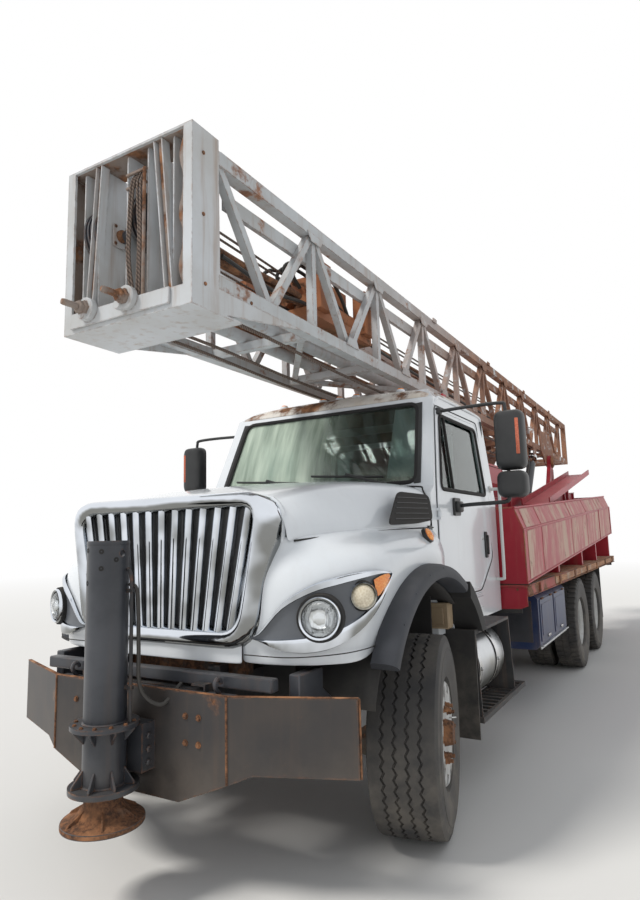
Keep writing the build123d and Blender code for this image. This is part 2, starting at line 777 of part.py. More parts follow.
def hood_fender(inset):
    """The left fender's swelling beside the hood's middle."""
    rear = HOOD_REAR + 1 if inset else HOOD_REAR
    outline = [
        (HOOD_FRONT + 40 + inset, HOOD_BOTTOM - inset * 2), (HOOD_FRONT + 20 + inset, 1210),
        (HOOD_FRONT + 110 + inset, FENDER_TOP - 60 - inset), (-350, FENDER_TOP + 20 - inset),
        (250, FENDER_TOP + 60 - inset), (rear, FENDER_TOP + 20 - inset),
        (rear, HOOD_BOTTOM - inset * 2),
    ]
    body = side_prism(outline, 300, FENDER_HALF - inset)
    sweep_in = plan_prism(
        [(300, HOOD_FRONT - 100), (820 - inset, HOOD_FRONT - 20 + inset),
         (1080 - inset, HOOD_FRONT + 170 + inset), (FENDER_HALF - inset, -500),
         (FENDER_HALF - inset, 250),
         (CAB_HALF - inset, HOOD_REAR + 10), (300, HOOD_REAR + 10)],
        HOOD_BOTTOM - 200, 1800,
    )
    return body & sweep_in


def hood_form():
    """The hood's closed outer form."""
    return fused([hood_middle(0), hood_fender(0), mirrored(hood_fender(0))])


def hood_shell():
    """The tilting hood with its fenders, hollow, with arches and front openings cut."""
    outer = hood_form()
    inner = fused([hood_middle(HOOD_WALL), hood_fender(HOOD_WALL), mirrored(hood_fender(HOOD_WALL))])
    shell = fused([outer - inner, hood_arm(), mirrored(hood_arm())])
    arches = cross_rod(-1400, 1400, ARCH_Y, ARCH_Z, ARCH_R)
    grille = front_prism(grille_outline(0), HOOD_FRONT - 50, HOOD_FRONT + 120)
    holes = [place * Cylinder(radius, 400) for place, radius in lamp_places()]
    return shell.cut(arches, grille, *holes)


def grille_outline(grow):
    """Front view of the grille's opening, grown on every side."""
    low, high = GRILLE_BOTTOM - grow, GRILLE_TOP + grow
    low_half, high_half = GRILLE_BOTTOM_HALF + grow, GRILLE_TOP_HALF + grow
    return [(-low_half, low), (low_half, low), (high_half, high), (-high_half, high)]


def grille():
    """Surround and upright bars, one moulding."""
    y = HOOD_FRONT
    ring = front_prism(grille_outline(GRILLE_RIM), y - 45, y - 0.3, 60)
    ring = ring - front_prism(grille_outline(-2), y - 60, y + 30, 40)
    lip = front_prism(grille_outline(-2), y - 10, y + 45)
    lip = lip - front_prism(grille_outline(-14), y - 60, y + 60, 40)
    bars = []
    for i in range(GRILLE_BARS):
        share = (i + 0.5) / GRILLE_BARS * 2 - 1
        low = (share * GRILLE_BOTTOM_HALF, y - 8, GRILLE_BOTTOM + 6)
        high = (share * GRILLE_TOP_HALF, y - 8, GRILLE_TOP - 6)
        bars.append(bar(low, high, GRILLE_BAR_W, 44))
    return fused([ring, lip, *bars])


def grille_mesh():
    """The dark screen behind the bars."""
    y = HOOD_FRONT
    return front_prism(grille_outline(-14.3), y + 20, y + 32, 40)


def lamp_places():
    """Place and radius of each lamp: Z points forward, and the side lamps look outward."""
    places = []
    for s in (1, -1):
        places.append((Pos(s * LAMP_X, LAMP_FACE, LAMP_Z) * Rot(90, 0, 0), LAMP_R))
        side = Pos(s * SIDE_LAMP_X, SIDE_LAMP_Y, SIDE_LAMP_Z) * Rot(0, 0, s * SIDE_LAMP_TURN)
        places.append((side * Rot(90, 0, 0), SIDE_LAMP_R))
    return places


def headlights():
    """One large and one small round lamp on each side, each a dished bowl with a bulb."""
    lamps = []
    for place, hole in lamp_places():
        r = hole - 1
        section = [
            (0, -LAMP_DEPTH), (r, -LAMP_DEPTH), (r, 8), (r * 0.93, 14), (r * 0.88, 8), (r * 0.7, -18),
            (r * 0.3, -34), (r * 0.25, -12), (0, -8),
        ]
        lamps.append(place * turn(section))
    return Compound(lamps)


def arch_band(y0, y1, low):
    """Part of the left arch's dark band, between two stations and above a height."""
    ends = (FLARE_IN, ARCH_Y, ARCH_Z), (FLARE_OUT, ARCH_Y, ARCH_Z)
    band = pipe(*ends, ARCH_R + FLARE_BAND, ARCH_R - 6)
    return band & slab(FLARE_IN - 1, FLARE_OUT + 1, y0, y1, low, ARCH_Z + ARCH_R + FLARE_BAND + 1)


def fender_flares():
    """Dark arched bands round the front wheels, as far back as the hood goes."""
    band = arch_band(ARCH_Y - ARCH_R - FLARE_BAND - 1, FLARE_END, HOOD_BOTTOM - 10) - hood_form()
    return Compound([band, mirrored(band)])


# Cab

def cab_side(inset):
    """Side view of the cab, drawn in by inset."""
    outline = [
        (CAB_FRONT + 30, CAB_FLOOR), (CAB_FRONT, CAB_BELT - 10), (CAB_FRONT + 90, CAB_BELT + 50),
        (CAB_FRONT + 380, CAB_ROOF - 110), (CAB_FRONT + 520, CAB_ROOF - 15), (CAB_REAR - 120, CAB_ROOF),
        (CAB_REAR, CAB_ROOF - 110), (CAB_REAR, CAB_FLOOR),
    ]
    face = make_face(Polyline(*outline, close=True))
    return offset(face, amount=-inset, kind=Kind.INTERSECTION) if inset else face


def cab_end(inset):
    """Front view of the cab, drawn in by inset."""
    outline = [
        (-CAB_HALF, CAB_FLOOR), (CAB_HALF, CAB_FLOOR), (CAB_HALF, CAB_BELT),
        (CAB_ROOF_HALF, CAB_ROOF - 110), (CAB_ROOF_HALF - 110, CAB_ROOF),
        (-CAB_ROOF_HALF + 110, CAB_ROOF), (-CAB_ROOF_HALF, CAB_ROOF - 110), (-CAB_HALF, CAB_BELT),
    ]
    face = make_face(Polyline(*outline, close=True))
    return offset(face, amount=-inset, kind=Kind.INTERSECTION) if inset else face


def cab_body(inset):
    """The cab's closed form, drawn in by inset."""
    long = Pos(-1200, 0, 0) * extrude(Plane.YZ * cab_side(inset), 2400)
    plane = Plane(origin=(0, 0, 0), x_dir=(1, 0, 0), z_dir=(0, -1, 0))
    across = extrude(plane * cab_end(inset), -3000)
    return long & across


def cab_skin(outer, inner):
    return cab_body(outer) - cab_body(inner)


def door_outline(gap):
    """Side view of a door, made smaller all round by gap."""
    outline = [
        (DOOR_FRONT, DOOR_CORNER_Z), (DOOR_FRONT - 10, CAB_BELT), (DOOR_FRONT + 250, DOOR_TOP - 10),
        (DOOR_REAR, DOOR_TOP), (DOOR_REAR, DOOR_HEEL_Z), (DOOR_REAR - 360, DOOR_BOTTOM),
        (DOOR_CORNER_Y, DOOR_BOTTOM),
    ]
    face = make_face(Polyline(*outline, close=True))
    return offset(face, amount=-gap, kind=Kind.INTERSECTION) if gap else face


def window_outline():
    """Side view of a door's window."""
    outline = [(770, 1960), (975, 2530), (1870, 2530), (1870, 1960)]
    return fillet(make_face(Polyline(*outline, close=True)).vertices(), 45)


def through_side(face, side):
    """A side view drawn outward through one side of the cab."""
    start = 600 if side > 0 else -1300
    return Pos(start, 0, 0) * extrude(Plane.YZ * face, 700)


def cab_shell():
    """The cab's walls, floor and roof, with door and window openings."""
    shell = cab_skin(0, CAB_WALL)
    cuts = [through_side(door_outline(0), s) for s in (1, -1)]
    cuts.append(front_prism(WINDSHIELD, CAB_FRONT - 100, CAB_FRONT + 500, 70))
    cuts.append(front_prism(REAR_WINDOW, CAB_REAR - 100, CAB_REAR + 100, 70))
    shell = shell.cut(*cuts)
    mounts = [
        slab(s * 385 - 40, s * 385 + 40, y, y + 120, RAIL_TOP, CAB_FLOOR + 5)
        for s in (1, -1) for y in (700, 1900)
    ]
    hinges = []
    for s in (1, -1):
        for z in HINGE_HEIGHTS:
            hinges.append(sided(hinge_fixed(z), s))
    return fused([shell, *mounts, *hinges])


def hinge_fixed(z):
    """Pin and two lugs on the cab's side."""
    x = HINGE_X
    lugs = [slab(CAB_HALF + 1, x + 12, HINGE_Y - 20, HINGE_Y + 8, z + a, z + a + 20) for a in (-40, 21)]
    root = slab(CAB_HALF - 15, CAB_HALF + 4, HINGE_Y - 24, HINGE_Y - 6, z - 40, z + 41)
    return fused([rod((x, HINGE_Y, z - 40), (x, HINGE_Y, z + 41), HINGE_R), *lugs, root])


def hinge_moving(z):
    """Sleeve and leaf on the door."""
    x = HINGE_X
    sleeve = rod((x, HINGE_Y, z - 19), (x, HINGE_Y, z + 20), HINGE_R + 5)
    leaf = slab(CAB_HALF + 1, x + 8, HINGE_Y, HINGE_Y + 70, z - 19, z + 20)
    foot = slab(CAB_HALF - 10, x, HINGE_Y + 30, HINGE_Y + 70, z - 19, z + 20)
    return fused([sleeve, leaf, foot]) - rod((x, HINGE_Y, z - 30), (x, HINGE_Y, z + 30), HINGE_R + 0.5)


def door(side):
    """A door as thick as the cab's wall, with its window cut and its hinges."""
    panel = cab_skin(0, CAB_WALL) & through_side(door_outline(DOOR_GAP), side)
    panel = panel - through_side(window_outline(), side)
    return fused([panel, *[sided(hinge_moving(z), side) for z in HINGE_HEIGHTS]])


def door_glass(side):
    middle = CAB_WALL / 2
    return cab_skin(middle - GLASS_T / 2, middle + GLASS_T / 2) & through_side(window_outline(), side)


def cab_glass():
    """Windshield and rear window."""
    middle = CAB_WALL / 2
    skin = cab_skin(middle - GLASS_T / 2, middle + GLASS_T / 2)
    front = skin & front_prism(WINDSHIELD, CAB_FRONT - 100, CAB_FRONT + 500, 70)
    rear = skin & front_prism(REAR_WINDOW, CAB_REAR - 100, CAB_REAR + 100, 70)
    return Compound([front.solids()[0], rear.solids()[0]])


def mirror_head():
    """The left mirror on its two arms from the door."""
    x, y = MIRROR_X, MIRROR_Y
    head = slab(x - MIRROR_HALF, x + MIRROR_HALF, y - 50, y + 50, MIRROR_BOTTOM, MIRROR_TOP)
    head = fillet(head.edges().filter_by(Axis.Z), 30)
    post_x = x - 30
    upper_foot = (CAB_ROOF_HALF + 20, y + 20, MIRROR_TOP + 45)
    upper = bar(upper_foot, (post_x, y + 20, MIRROR_TOP - 10), ARM_W, ARM_W, (0, 1, 0))
    lower_foot = (CAB_HALF - 5, y - 150, MIRROR_BOTTOM - 50)
    lower = bar(lower_foot, (post_x, y, MIRROR_BOTTOM - 10), ARM_W + 4, ARM_W, (0, 1, 0))
    post = rod((post_x, y, MIRROR_BOTTOM - 20), (post_x, y, MIRROR_TOP), 16)
    return fused([head, upper, lower, post]) - cab_body(0)


def seat(x):
    """A seat on its plinth."""
    floor = CAB_FLOOR + CAB_WALL
    top = floor + SEAT_BASE
    x0, x1 = x - SEAT_HALF, x + SEAT_HALF
    base = slab(x0, x1, SEAT_FRONT, SEAT_REAR, floor, top)
    cushion = slab(x0 - 10, x1 + 10, SEAT_FRONT - 30, SEAT_REAR, top, top + CUSHION_T)
    back = slab(x0, x1, SEAT_REAR - 50, SEAT_REAR + 70, top + CUSHION_T - 20, floor + BACK_TOP)
    return fused([base, cushion, back])


def cab_interior():
    """Two seats, the dash, and the steering wheel on its column."""
    y, z = DASH_FRONT, DASH_BOTTOM
    dash = side_prism(
        [(y, z), (y, z + 400), (y + 180, z + 380), (y + 320, z + 280), (y + 300, z)],
        -DASH_HALF, DASH_HALF,
    )
    brace = slab(-200, 200, y, y + 260, CAB_FLOOR + CAB_WALL, z + 20)
    column = rod((SEAT_X, WHEEL_Y - 250, WHEEL_Z - 180), (SEAT_X, WHEEL_Y, WHEEL_Z), 28)
    plane = Plane(origin=(SEAT_X, WHEEL_Y, WHEEL_Z), z_dir=(0, 250, 180))
    wheel = plane * Torus(WHEEL_R, 16)
    spokes = [
        plane * (Rot(0, 0, 120 * i) * Pos(WHEEL_R / 2 - 2, 0, 0) * Box(WHEEL_R, 30, 12))
        for i in range(3)
    ]
    front = fused([dash, brace, column, wheel, *spokes])
    return Compound([seat(SEAT_X), seat(-SEAT_X), front])


# Deck

def deck():
    """Planked deck on bearers, with two wings beside the mast's foot."""
    top = slab(-DECK_HALF, DECK_HALF, DECK_FRONT, DECK_REAR, DECK_TOP - DECK_T, DECK_TOP)
    under = DECK_TOP - DECK_T
    wing = slab(WING_INNER, DECK_HALF, DECK_REAR - 1, WING_REAR, under, DECK_TOP)
    outer = slab(DECK_HALF - BEARER, DECK_HALF, DECK_FRONT, WING_REAR, DECK_BOTTOM, DECK_TOP)
    inner = slab(
        WING_INNER, WING_INNER + BEARER, DECK_REAR - 400, WING_REAR, DECK_BOTTOM, DECK_TOP)
    bearer = slab(RAIL_OUTER - BEARER, RAIL_OUTER, DECK_FRONT, FRAME_REAR, RAIL_TOP, under)
    parts = [top]
    for part in (wing, outer, inner, bearer):
        parts += [part, mirrored(part)]
    for y in CROSS_BEARERS:
        parts.append(slab(-DECK_HALF, DECK_HALF, y, y + BEARER, DECK_BOTTOM, under + 1))
    body = fused(parts)
    holes = [
        rod((s * REAR_JACK_X, REAR_JACK_Y, 900), (s * REAR_JACK_X, REAR_JACK_Y, 1400), REAR_JACK_R)
        for s in (1, -1)
    ]
    return body.cut(*holes)


def side_bin():
    """The left side bin: an open trough that rises toward the rear on its feet."""
    length = (WING_REAR - DECK_FRONT) / cos(radians(BIN_RISE))
    x0, x1 = BIN_INNER, BIN_OUTER
    outer = [
        (x0, 0), (x1, 0), (x1, BIN_SHOULDER), (x1 - BIN_BEVEL, BIN_HEIGHT), (x0, BIN_HEIGHT)]
    t = BIN_SHEET
    inner = [
        (x0 + t, t), (x1 - t, t), (x1 - t, BIN_SHOULDER), (x1 - BIN_BEVEL - t, BIN_HEIGHT + 1),
        (x0 + t, BIN_HEIGHT + 1),
    ]
    trough = front_prism(outer, 0, length) - front_prism(inner, t, length - t)
    ribs = [slab(x1 - 1, x1 + 12, y, y + 50, 0, BIN_SHOULDER) for y in BIN_RIBS]
    board = slab(x0, x0 + t, 60, length - 60, BIN_HEIGHT - 1, BIN_HEIGHT + 90)
    body = fused([trough, board])
    seat_z = DECK_TOP + BIN_SEAT
    body = Pos(0, DECK_FRONT, seat_z) * Rot(BIN_RISE, 0, 0) * body
    feet = []
    for y in BIN_FEET:
        top = seat_z + (y - DECK_FRONT) * sin(radians(BIN_RISE)) + 8
        feet.append(slab(x0 + 20, x1 - 40, y, y + 80, DECK_TOP, top))
    return fused([body, *feet])


def mast_rest():
    """Posts and saddle behind the cab."""
    top = MAST_BOTTOM - 0.3
    front, rear, half = REST_FRONT, REST_FRONT + REST_POST, REST_POST / 2
    middle = front + half
    parts = [slab(-REST_X, REST_X, front, rear, top - 260, top - 160)]
    for s in (1, -1):
        x = s * REST_X
        parts.append(slab(x - half, x + half, front, rear, DECK_TOP, top))
        parts.append(bar((x, middle, 1750), (x, middle + 215, DECK_TOP + 30), 60, 60))
        horn = s * HORN_X
        parts.append(slab(horn - HORN_T / 2, horn + HORN_T / 2, front, rear, top - 90, top + 60))
        parts.append(slab(*sorted((x + s * 5, horn + s * 5)), front, rear, top - 90, top - 40))
    return fused(parts)


def mast_tower():
    """Two braced frames that carry the mast's pivot pins."""
    inner = MAST_HALF + GUSSET_T + TOWER_GAP
    y, foot, low = PIVOT_Y, TOWER_STRUT_Y, TOWER_RUNG_Z
    post = [(y - 70, DECK_TOP), (y + 45, DECK_TOP), (y + 60, PIVOT_Z), (y - 60, PIVOT_Z)]
    strut = [(foot, DECK_TOP), (foot + 150, DECK_TOP), (y + 40, PIVOT_Z - 60), (y - 60, PIVOT_Z + 20)]
    rung = [(foot + 530, low), (foot + 610, low + 120), (y, low + 120), (y, low)]
    parts = []
    for s in (1, -1):
        x0, x1 = sorted((s * inner, s * (inner + TOWER_T)))
        parts += [side_prism(outline, x0, x1) for outline in (post, strut, rung)]
        parts.append(cross_rod(x0, x1, y, PIVOT_Z, 105))
        parts.append(cross_rod(s * (MAST_HALF - 5), s * (inner + TOWER_T + 25), y, PIVOT_Z, PIVOT_R))
    half = inner + 10
    parts.append(slab(-half, half, y - 160, y - 60, 1550, 1650))
    parts.append(slab(-half, half, foot + 50, foot + 130, DECK_TOP, DECK_TOP + 80))
    return fused(parts)


def lift_lugs():
    """Deck brackets with the pins of the lift barrels, the left and the right one."""
    y, z = LIFT_DECK_Y, LIFT_DECK_Z
    outline = [(y - 110, DECK_TOP), (y + 110, DECK_TOP), (y + 50, z + 40), (y - 50, z + 40)]
    brackets = []
    for x in (LIFT_X, -LIFT_X):
        starts = x - EYE_T / 2 - 5 - LUG_T, x + EYE_T / 2 + 5
        lugs = [side_prism(outline, start, start + LUG_T) for start in starts]
        pin = cross_rod(x - 60, x + 60, y, z, EYE_PIN_R)
        pad = slab(x - 60, x + 60, y - 130, y + 130, DECK_TOP, DECK_TOP + 15)
        brackets.append(fused([*lugs, pin, pad]))
    return brackets


def power_unit():
    """Louvred engine canopy on skids, and the hydraulic oil tank behind it."""
    half = UNIT_HALF
    canopy = slab(-half, half, UNIT_FRONT, UNIT_REAR, UNIT_BOTTOM, UNIT_TOP)
    canopy = chamfer(canopy.edges().filter_by(Axis.Y).sort_by(Axis.Z)[-2:], 60)
    low, high = UNIT_BOTTOM + 250, UNIT_TOP - 250
    canopy = canopy.cut(*[
        slab(*sorted((s * (half - LOUVRE_T), s * (half + 1))), y, y + 60, low, high)
        for s in (1, -1) for y in LOUVRES
    ])
    skids = [
        slab(s * SKID_X - 50, s * SKID_X + 50, UNIT_FRONT - 50, UNIT_REAR + 50, DECK_TOP, UNIT_BOTTOM + 1)
        for s in (1, -1)
    ]
    tank = slab(
        -OIL_TANK_HALF, OIL_TANK_HALF, OIL_TANK_FRONT, OIL_TANK_REAR, DECK_TOP, OIL_TANK_TOP)
    tank = chamfer(tank.edges().filter_by(Axis.Z), 60)
    return Compound([fused([canopy, *skids]), tank])


def winch():
    """Winch frame with the bore of its drum's shaft."""
    y, z, half = WINCH_Y, WINCH_Z, WINCH_CHEEK_T / 2
    base = slab(-330, 330, y - 350, y + 350, DECK_TOP, DECK_TOP + 60)
    outline = [(y - 250, DECK_TOP + 50), (y + 250, DECK_TOP + 50), (y + 120, z + 200), (y - 120, z + 200)]
    cheeks = [side_prism(outline, s * WINCH_HALF - half, s * WINCH_HALF + half) for s in (1, -1)]
    return fused([base, *cheeks]).cut(cross_rod(-400, 400, y, z, DRUM_SHAFT_R + 0.5))


def winch_drum():
    """Drum with two flanges and a shaft in the winch frame."""
    end, rim, core = WINCH_HALF + 30, DRUM_HALF, DRUM_CORE_R
    shaft, flange = DRUM_SHAFT_R, DRUM_FLANGE_R
    outline = [
        (0, -end), (shaft, -end), (shaft, -rim - 20), (flange, -rim - 20), (flange, -rim),
        (core, -rim), (core, rim), (flange, rim), (flange, rim + 20), (shaft, rim + 20),
        (shaft, end), (0, end),
    ]
    return Pos(0, WINCH_Y, WINCH_Z) * Rot(0, 90, 0) * turn(outline)


def underdeck_boxes():
    """Tool box and tank below the deck on both sides."""
    parts = []
    for s in (1, -1):
        x0, x1 = sorted((s * BOX_INNER, s * BOX_OUTER))
        box = slab(x0, x1, BOX_FRONT, BOX_REAR, BOX_BOTTOM, BOX_TOP)
        box = chamfer(box.edges().filter_by(Axis.Y), 40)
        hang = [slab(*sorted((s * RAIL_OUTER, s * (BOX_INNER + 20))), y, y + 80, 760, 860)
                for y in (BOX_FRONT + 200, BOX_REAR - 280)]
        parts.append(fused([box, *hang]))
    return Compound(parts)


def rear_jacks():
    """Fixed tubes of the two rear jacks, hung from the deck."""
    x, y = REAR_JACK_X, REAR_JACK_Y
    inner = REAR_JACK_R - REAR_JACK_WALL
    tube = pipe((x, y, REAR_JACK_BOTTOM), (x, y, REAR_JACK_TOP), REAR_JACK_R, inner)
    arm = slab(RAIL_OUTER, x - REAR_JACK_R + 8, y - 60, y + 60, 780, 940)
    return Compound([tube + arm, mirrored(tube + arm)])


def arch_leg():
    """The left arch's rear leg, on brackets from the cab's sill, with the flap below it."""
    leg = arch_band(LEG_START, ARCH_Y + ARCH_R + FLARE_BAND + 1, LEG_BOTTOM)
    shelf_rear = ARCH_Y + ARCH_R - 100
    shelf = slab(
        CAB_HALF - 80, FLARE_OUT - 30, FLAP_Y, shelf_rear, CAB_FLOOR, LEG_BOTTOM + 15)
    shelf = shelf - slab(0, CAB_HALF, 0, CAB_REAR, CAB_FLOOR, CAB_BELT)
    shelf = shelf - slab(0, STEP_X + 1, STEP_FRONT - 1, CAB_REAR, CAB_FLOOR - 1, CAB_BELT)
    bracket = slab(CAB_HALF, FLARE_IN + 10, 740, 820, 1040, 1120)
    flap = slab(860, FLARE_OUT - 30, FLAP_Y, FLAP_Y + FLAP_T, FRONT_FLAP_BOTTOM, CAB_FLOOR)
    return fused([leg, shelf, bracket, flap])


def mudflaps():
    """Legs of the front arches with their flaps, and the flaps behind the rear wheels."""
    leg = arch_leg()
    back = REAR_FLAP_Y + FLAP_T
    rear = slab(WING_INNER - 20, DECK_HALF - 20, REAR_FLAP_Y, back, REAR_FLAP_BOTTOM, DECK_BOTTOM)
    return Compound([leg, mirrored(leg), rear, mirrored(rear)])


# Mast

def mast_side():
    """The left lattice side with its pivot gusset and cylinder lugs."""
    x0, x1 = MAST_HALF - CHORD, MAST_HALF
    mid = MAST_HALF - CHORD / 2
    low, high = MAST_BOTTOM + CHORD / 2, MAST_TOP - CHORD / 2
    parts = [
        slab(x0, x1, CROWN_REAR, MAST_TAIL, MAST_BOTTOM, MAST_BOTTOM + CHORD),
        slab(x0, x1, CROWN_REAR, MAST_TAIL, MAST_TOP - CHORD, MAST_TOP),
        slab(x0, x1, MAST_TAIL - CHORD, MAST_TAIL, MAST_BOTTOM, MAST_TOP),
    ]
    for y in POSTS:
        parts.append(bar((mid, y, low), (mid, y, high), WEB, WEB))
    tops = [CROWN_REAR + 10, *POSTS]
    for a, b in zip(tops, tops[1:]):
        foot = (a + b) / 2
        parts.append(bar((mid, a, high), (mid, foot, low), WEB, WEB))
        parts.append(bar((mid, b, high), (mid, foot, low), WEB, WEB))
    gusset = side_prism(
        [(PIVOT_Y - 510, MAST_BOTTOM + 330), (PIVOT_Y - 460, MAST_BOTTOM), (PIVOT_Y - 120, PIVOT_Z - 70),
         (PIVOT_Y + 120, PIVOT_Z - 70), (PIVOT_Y + 450, MAST_BOTTOM), (PIVOT_Y + 580, MAST_BOTTOM + 120),
         (PIVOT_Y + 250, MAST_BOTTOM + 330)],
        MAST_HALF - 2, MAST_HALF + GUSSET_T,
    )
    parts.append(gusset)
    for off in (-EYE_T / 2 - 5 - LUG_T, EYE_T / 2 + 5):
        lug = side_prism([(LIFT_MAST_Y - 120, MAST_BOTTOM + 20), (LIFT_MAST_Y - 55, LIFT_MAST_Z - 55),
                          (LIFT_MAST_Y + 55, LIFT_MAST_Z - 55), (LIFT_MAST_Y + 120, MAST_BOTTOM + 20)],
                         LIFT_X + off, LIFT_X + off + LUG_T)
        parts.append(lug)
    body = fused(parts)
    return body.cut(cross_rod(MAST_HALF - 60, MAST_HALF + 60, PIVOT_Y, PIVOT_Z, PIVOT_R + PIVOT_RUN))


def mast_lacing():
    """Cross bars and diagonals between the lower chords, and the foot's cross members."""
    half = MAST_HALF - CHORD
    z = MAST_BOTTOM + CHORD / 2
    parts = [slab(-half, half, y - 30, y + 30, z - 30, z + 30) for y in POSTS]
    for i, (a, b) in enumerate(zip(POSTS, POSTS[1:])):
        s = 1 if i % 2 else -1
        parts.append(bar((-s * (half - 45), a, z), (s * (half - 45), b, z), 40, 44, (0, 0, 1)))
    parts.append(slab(-half, half, MAST_TAIL - 90, MAST_TAIL, z - 40, z + 40))
    opening = slab(-140, 140, MAST_TAIL - 450, MAST_TAIL - 200, MAST_BOTTOM - 40, MAST_BOTTOM + 160)
    parts.append(slab(-half, half, POSTS[-1], MAST_TAIL, z - 25, z + 25) - opening)
    return fused(parts)


def mast_feed():
    """Guide rails below the upper chords and two feed tubes on the lacing."""
    rail = slab(GUIDE_X - GUIDE_T, GUIDE_X, CROWN_REAR + 140, MAST_TAIL - 600, GUIDE_LOW, GUIDE_HIGH)
    z = MAST_BOTTOM + CHORD - 10 + FEED_R
    tube = rod((FEED_X, CROWN_REAR + 190, z), (FEED_X, PIVOT_Y - 450, z), FEED_R)
    return Compound([rail, mirrored(rail), tube, mirrored(tube)])


def crown_box():
    """The box at the mast's head: side plates, bottom, sill, top, and a back beam."""
    t = CROWN_T
    plate = side_prism(
        [(CROWN_FRONT, CROWN_BOTTOM), (CROWN_FRONT, CROWN_TOP), (CROWN_REAR, CROWN_TOP),
         (CROWN_REAR, MAST_TOP - CHORD), (CROWN_REAR + 10, MAST_BOTTOM + 90), (-250, MAST_BOTTOM - 2),
         (CROWN_REAR - 20, CROWN_BOTTOM)],
        MAST_HALF - t, MAST_HALF,
    )
    chord = slab(MAST_HALF - CHORD - 1, MAST_HALF + 1, CROWN_REAR, 0, MAST_BOTTOM, MAST_BOTTOM + CHORD)
    plate = plate - chord
    flange = slab(MAST_HALF - 60, MAST_HALF, CROWN_FRONT, CROWN_FRONT + t, CROWN_BOTTOM, CROWN_TOP)
    side = fused([plate, flange])
    floor = slab(-MAST_HALF, MAST_HALF, CROWN_FRONT, CROWN_REAR + 190, CROWN_BOTTOM, CROWN_BOTTOM + t)
    sill = slab(-MAST_HALF, MAST_HALF, CROWN_FRONT, CROWN_FRONT + t, CROWN_BOTTOM, CROWN_BOTTOM + 110)
    lid = slab(-MAST_HALF, MAST_HALF, CROWN_FRONT, CROWN_REAR, CROWN_TOP - t, CROWN_TOP)
    z = CROWN_BOTTOM + 65
    bosses = [rod((x, CROWN_FRONT - 70, z), (x, CROWN_FRONT + 40, z), 24) for x in BOSS_XS]
    return fused([side, mirrored(side), floor, sill, lid, *bosses])


def crown_sheaves():
    """Rope sheaves in two pairs on a shaft across the crown box."""
    y, z, r = CROWN_REAR - 20, SHEAVE_Z, SHEAVE_R
    end = MAST_HALF - CROWN_T
    section = [
        (SHEAVE_SHAFT_R - 5, -20), (r * 0.85, -20), (r * 0.85 - 1, -8), (r * 0.7, 0),
        (r * 0.85 - 1, 8), (r * 0.85, 20), (SHEAVE_SHAFT_R - 5, 20),
    ]
    sheave = Rot(0, 90, 0) * turn(section)
    wheels = [
        Pos(x + s * SHEAVE_OFFSET, y, z) * sheave for x in SHEAVE_XS for s in (1, -1)]
    return fused([cross_rod(-end, end, y, z, SHEAVE_SHAFT_R), *wheels])


def rotary_head():
    """The drilling head on its carriage, parked near the crown."""
    y0, y1 = HEAD_FRONT, HEAD_FRONT + HEAD_LENGTH
    low = HEAD_PLATE + 50
    face = GUIDE_X - GUIDE_T - HEAD_RUN
    parts = [slab(-HEAD_PLATE_HALF, HEAD_PLATE_HALF, y0, y1, HEAD_PLATE, HEAD_PLATE + 60)]
    for s in (1, -1):
        x0, x1 = sorted((s * HEAD_SHOE_X, s * face))
        for y in (y0 + 40, y1 - 40 - HEAD_SHOE_L):
            parts.append(slab(x0, x1, y, y + HEAD_SHOE_L, low, HEAD_TOP))
    half = GEARCASE_HALF
    parts.append(slab(-half, half, y0 + 250, y1 - 200, low, HEAD_TOP))
    parts.append(rod((0, y1 - 210, HEAD_AXIS), (0, y1 + SPINDLE_OUT, HEAD_AXIS), HEAD_SPINDLE_R))
    parts.append(rod((0, y0 + 60, HEAD_AXIS), (0, y0 + 260, HEAD_AXIS), HEAD_MOTOR_R))
    return fused(parts)


# Lift cylinders

def along_lift(x, distance):
    """A point on a lift cylinder's axis, counted from its deck pin."""
    p = Vector(x, LIFT_DECK_Y, LIFT_DECK_Z) + LIFT_AXIS * distance
    return (p.X, p.Y, p.Z)


def lift_barrels():
    """The cylinders' barrels with their deck eyes."""
    parts = []
    for s in (1, -1):
        x = s * LIFT_X
        tube = pipe(along_lift(x, EYE_NECK), along_lift(x, BARREL_END), BARREL_R, ROD_R + EYE_RUN)
        y, z = LIFT_DECK_Y, LIFT_DECK_Z
        cap = rod(along_lift(x, EYE_NECK), along_lift(x, ROD_START - 10), BARREL_R)
        neck = bar((x, y, z), along_lift(x, EYE_NECK + 5), EYE_T, 76)
        eye = cross_rod(x - EYE_T / 2, x + EYE_T / 2, y, z, EYE_R)
        body = fused([tube, cap, neck, eye])
        parts.append(body - cross_rod(x - EYE_T, x + EYE_T, y, z, EYE_PIN_R + EYE_RUN))
    return Compound(parts)


def lift_rods():
    """The cylinders' rods with their mast eyes."""
    parts = []
    for s in (1, -1):
        x = s * LIFT_X
        pin = LIFT_RUN.length
        shank = rod(along_lift(x, ROD_START), along_lift(x, pin - EYE_NECK + 15), ROD_R)
        neck = bar(along_lift(x, pin - EYE_NECK + 10), along_lift(x, pin), EYE_T, 70)
        eye = cross_rod(x - EYE_T / 2, x + EYE_T / 2, LIFT_MAST_Y, LIFT_MAST_Z, EYE_R)
        parts.append(fused([shank, neck, eye]))
    return Compound(parts)


# The rig

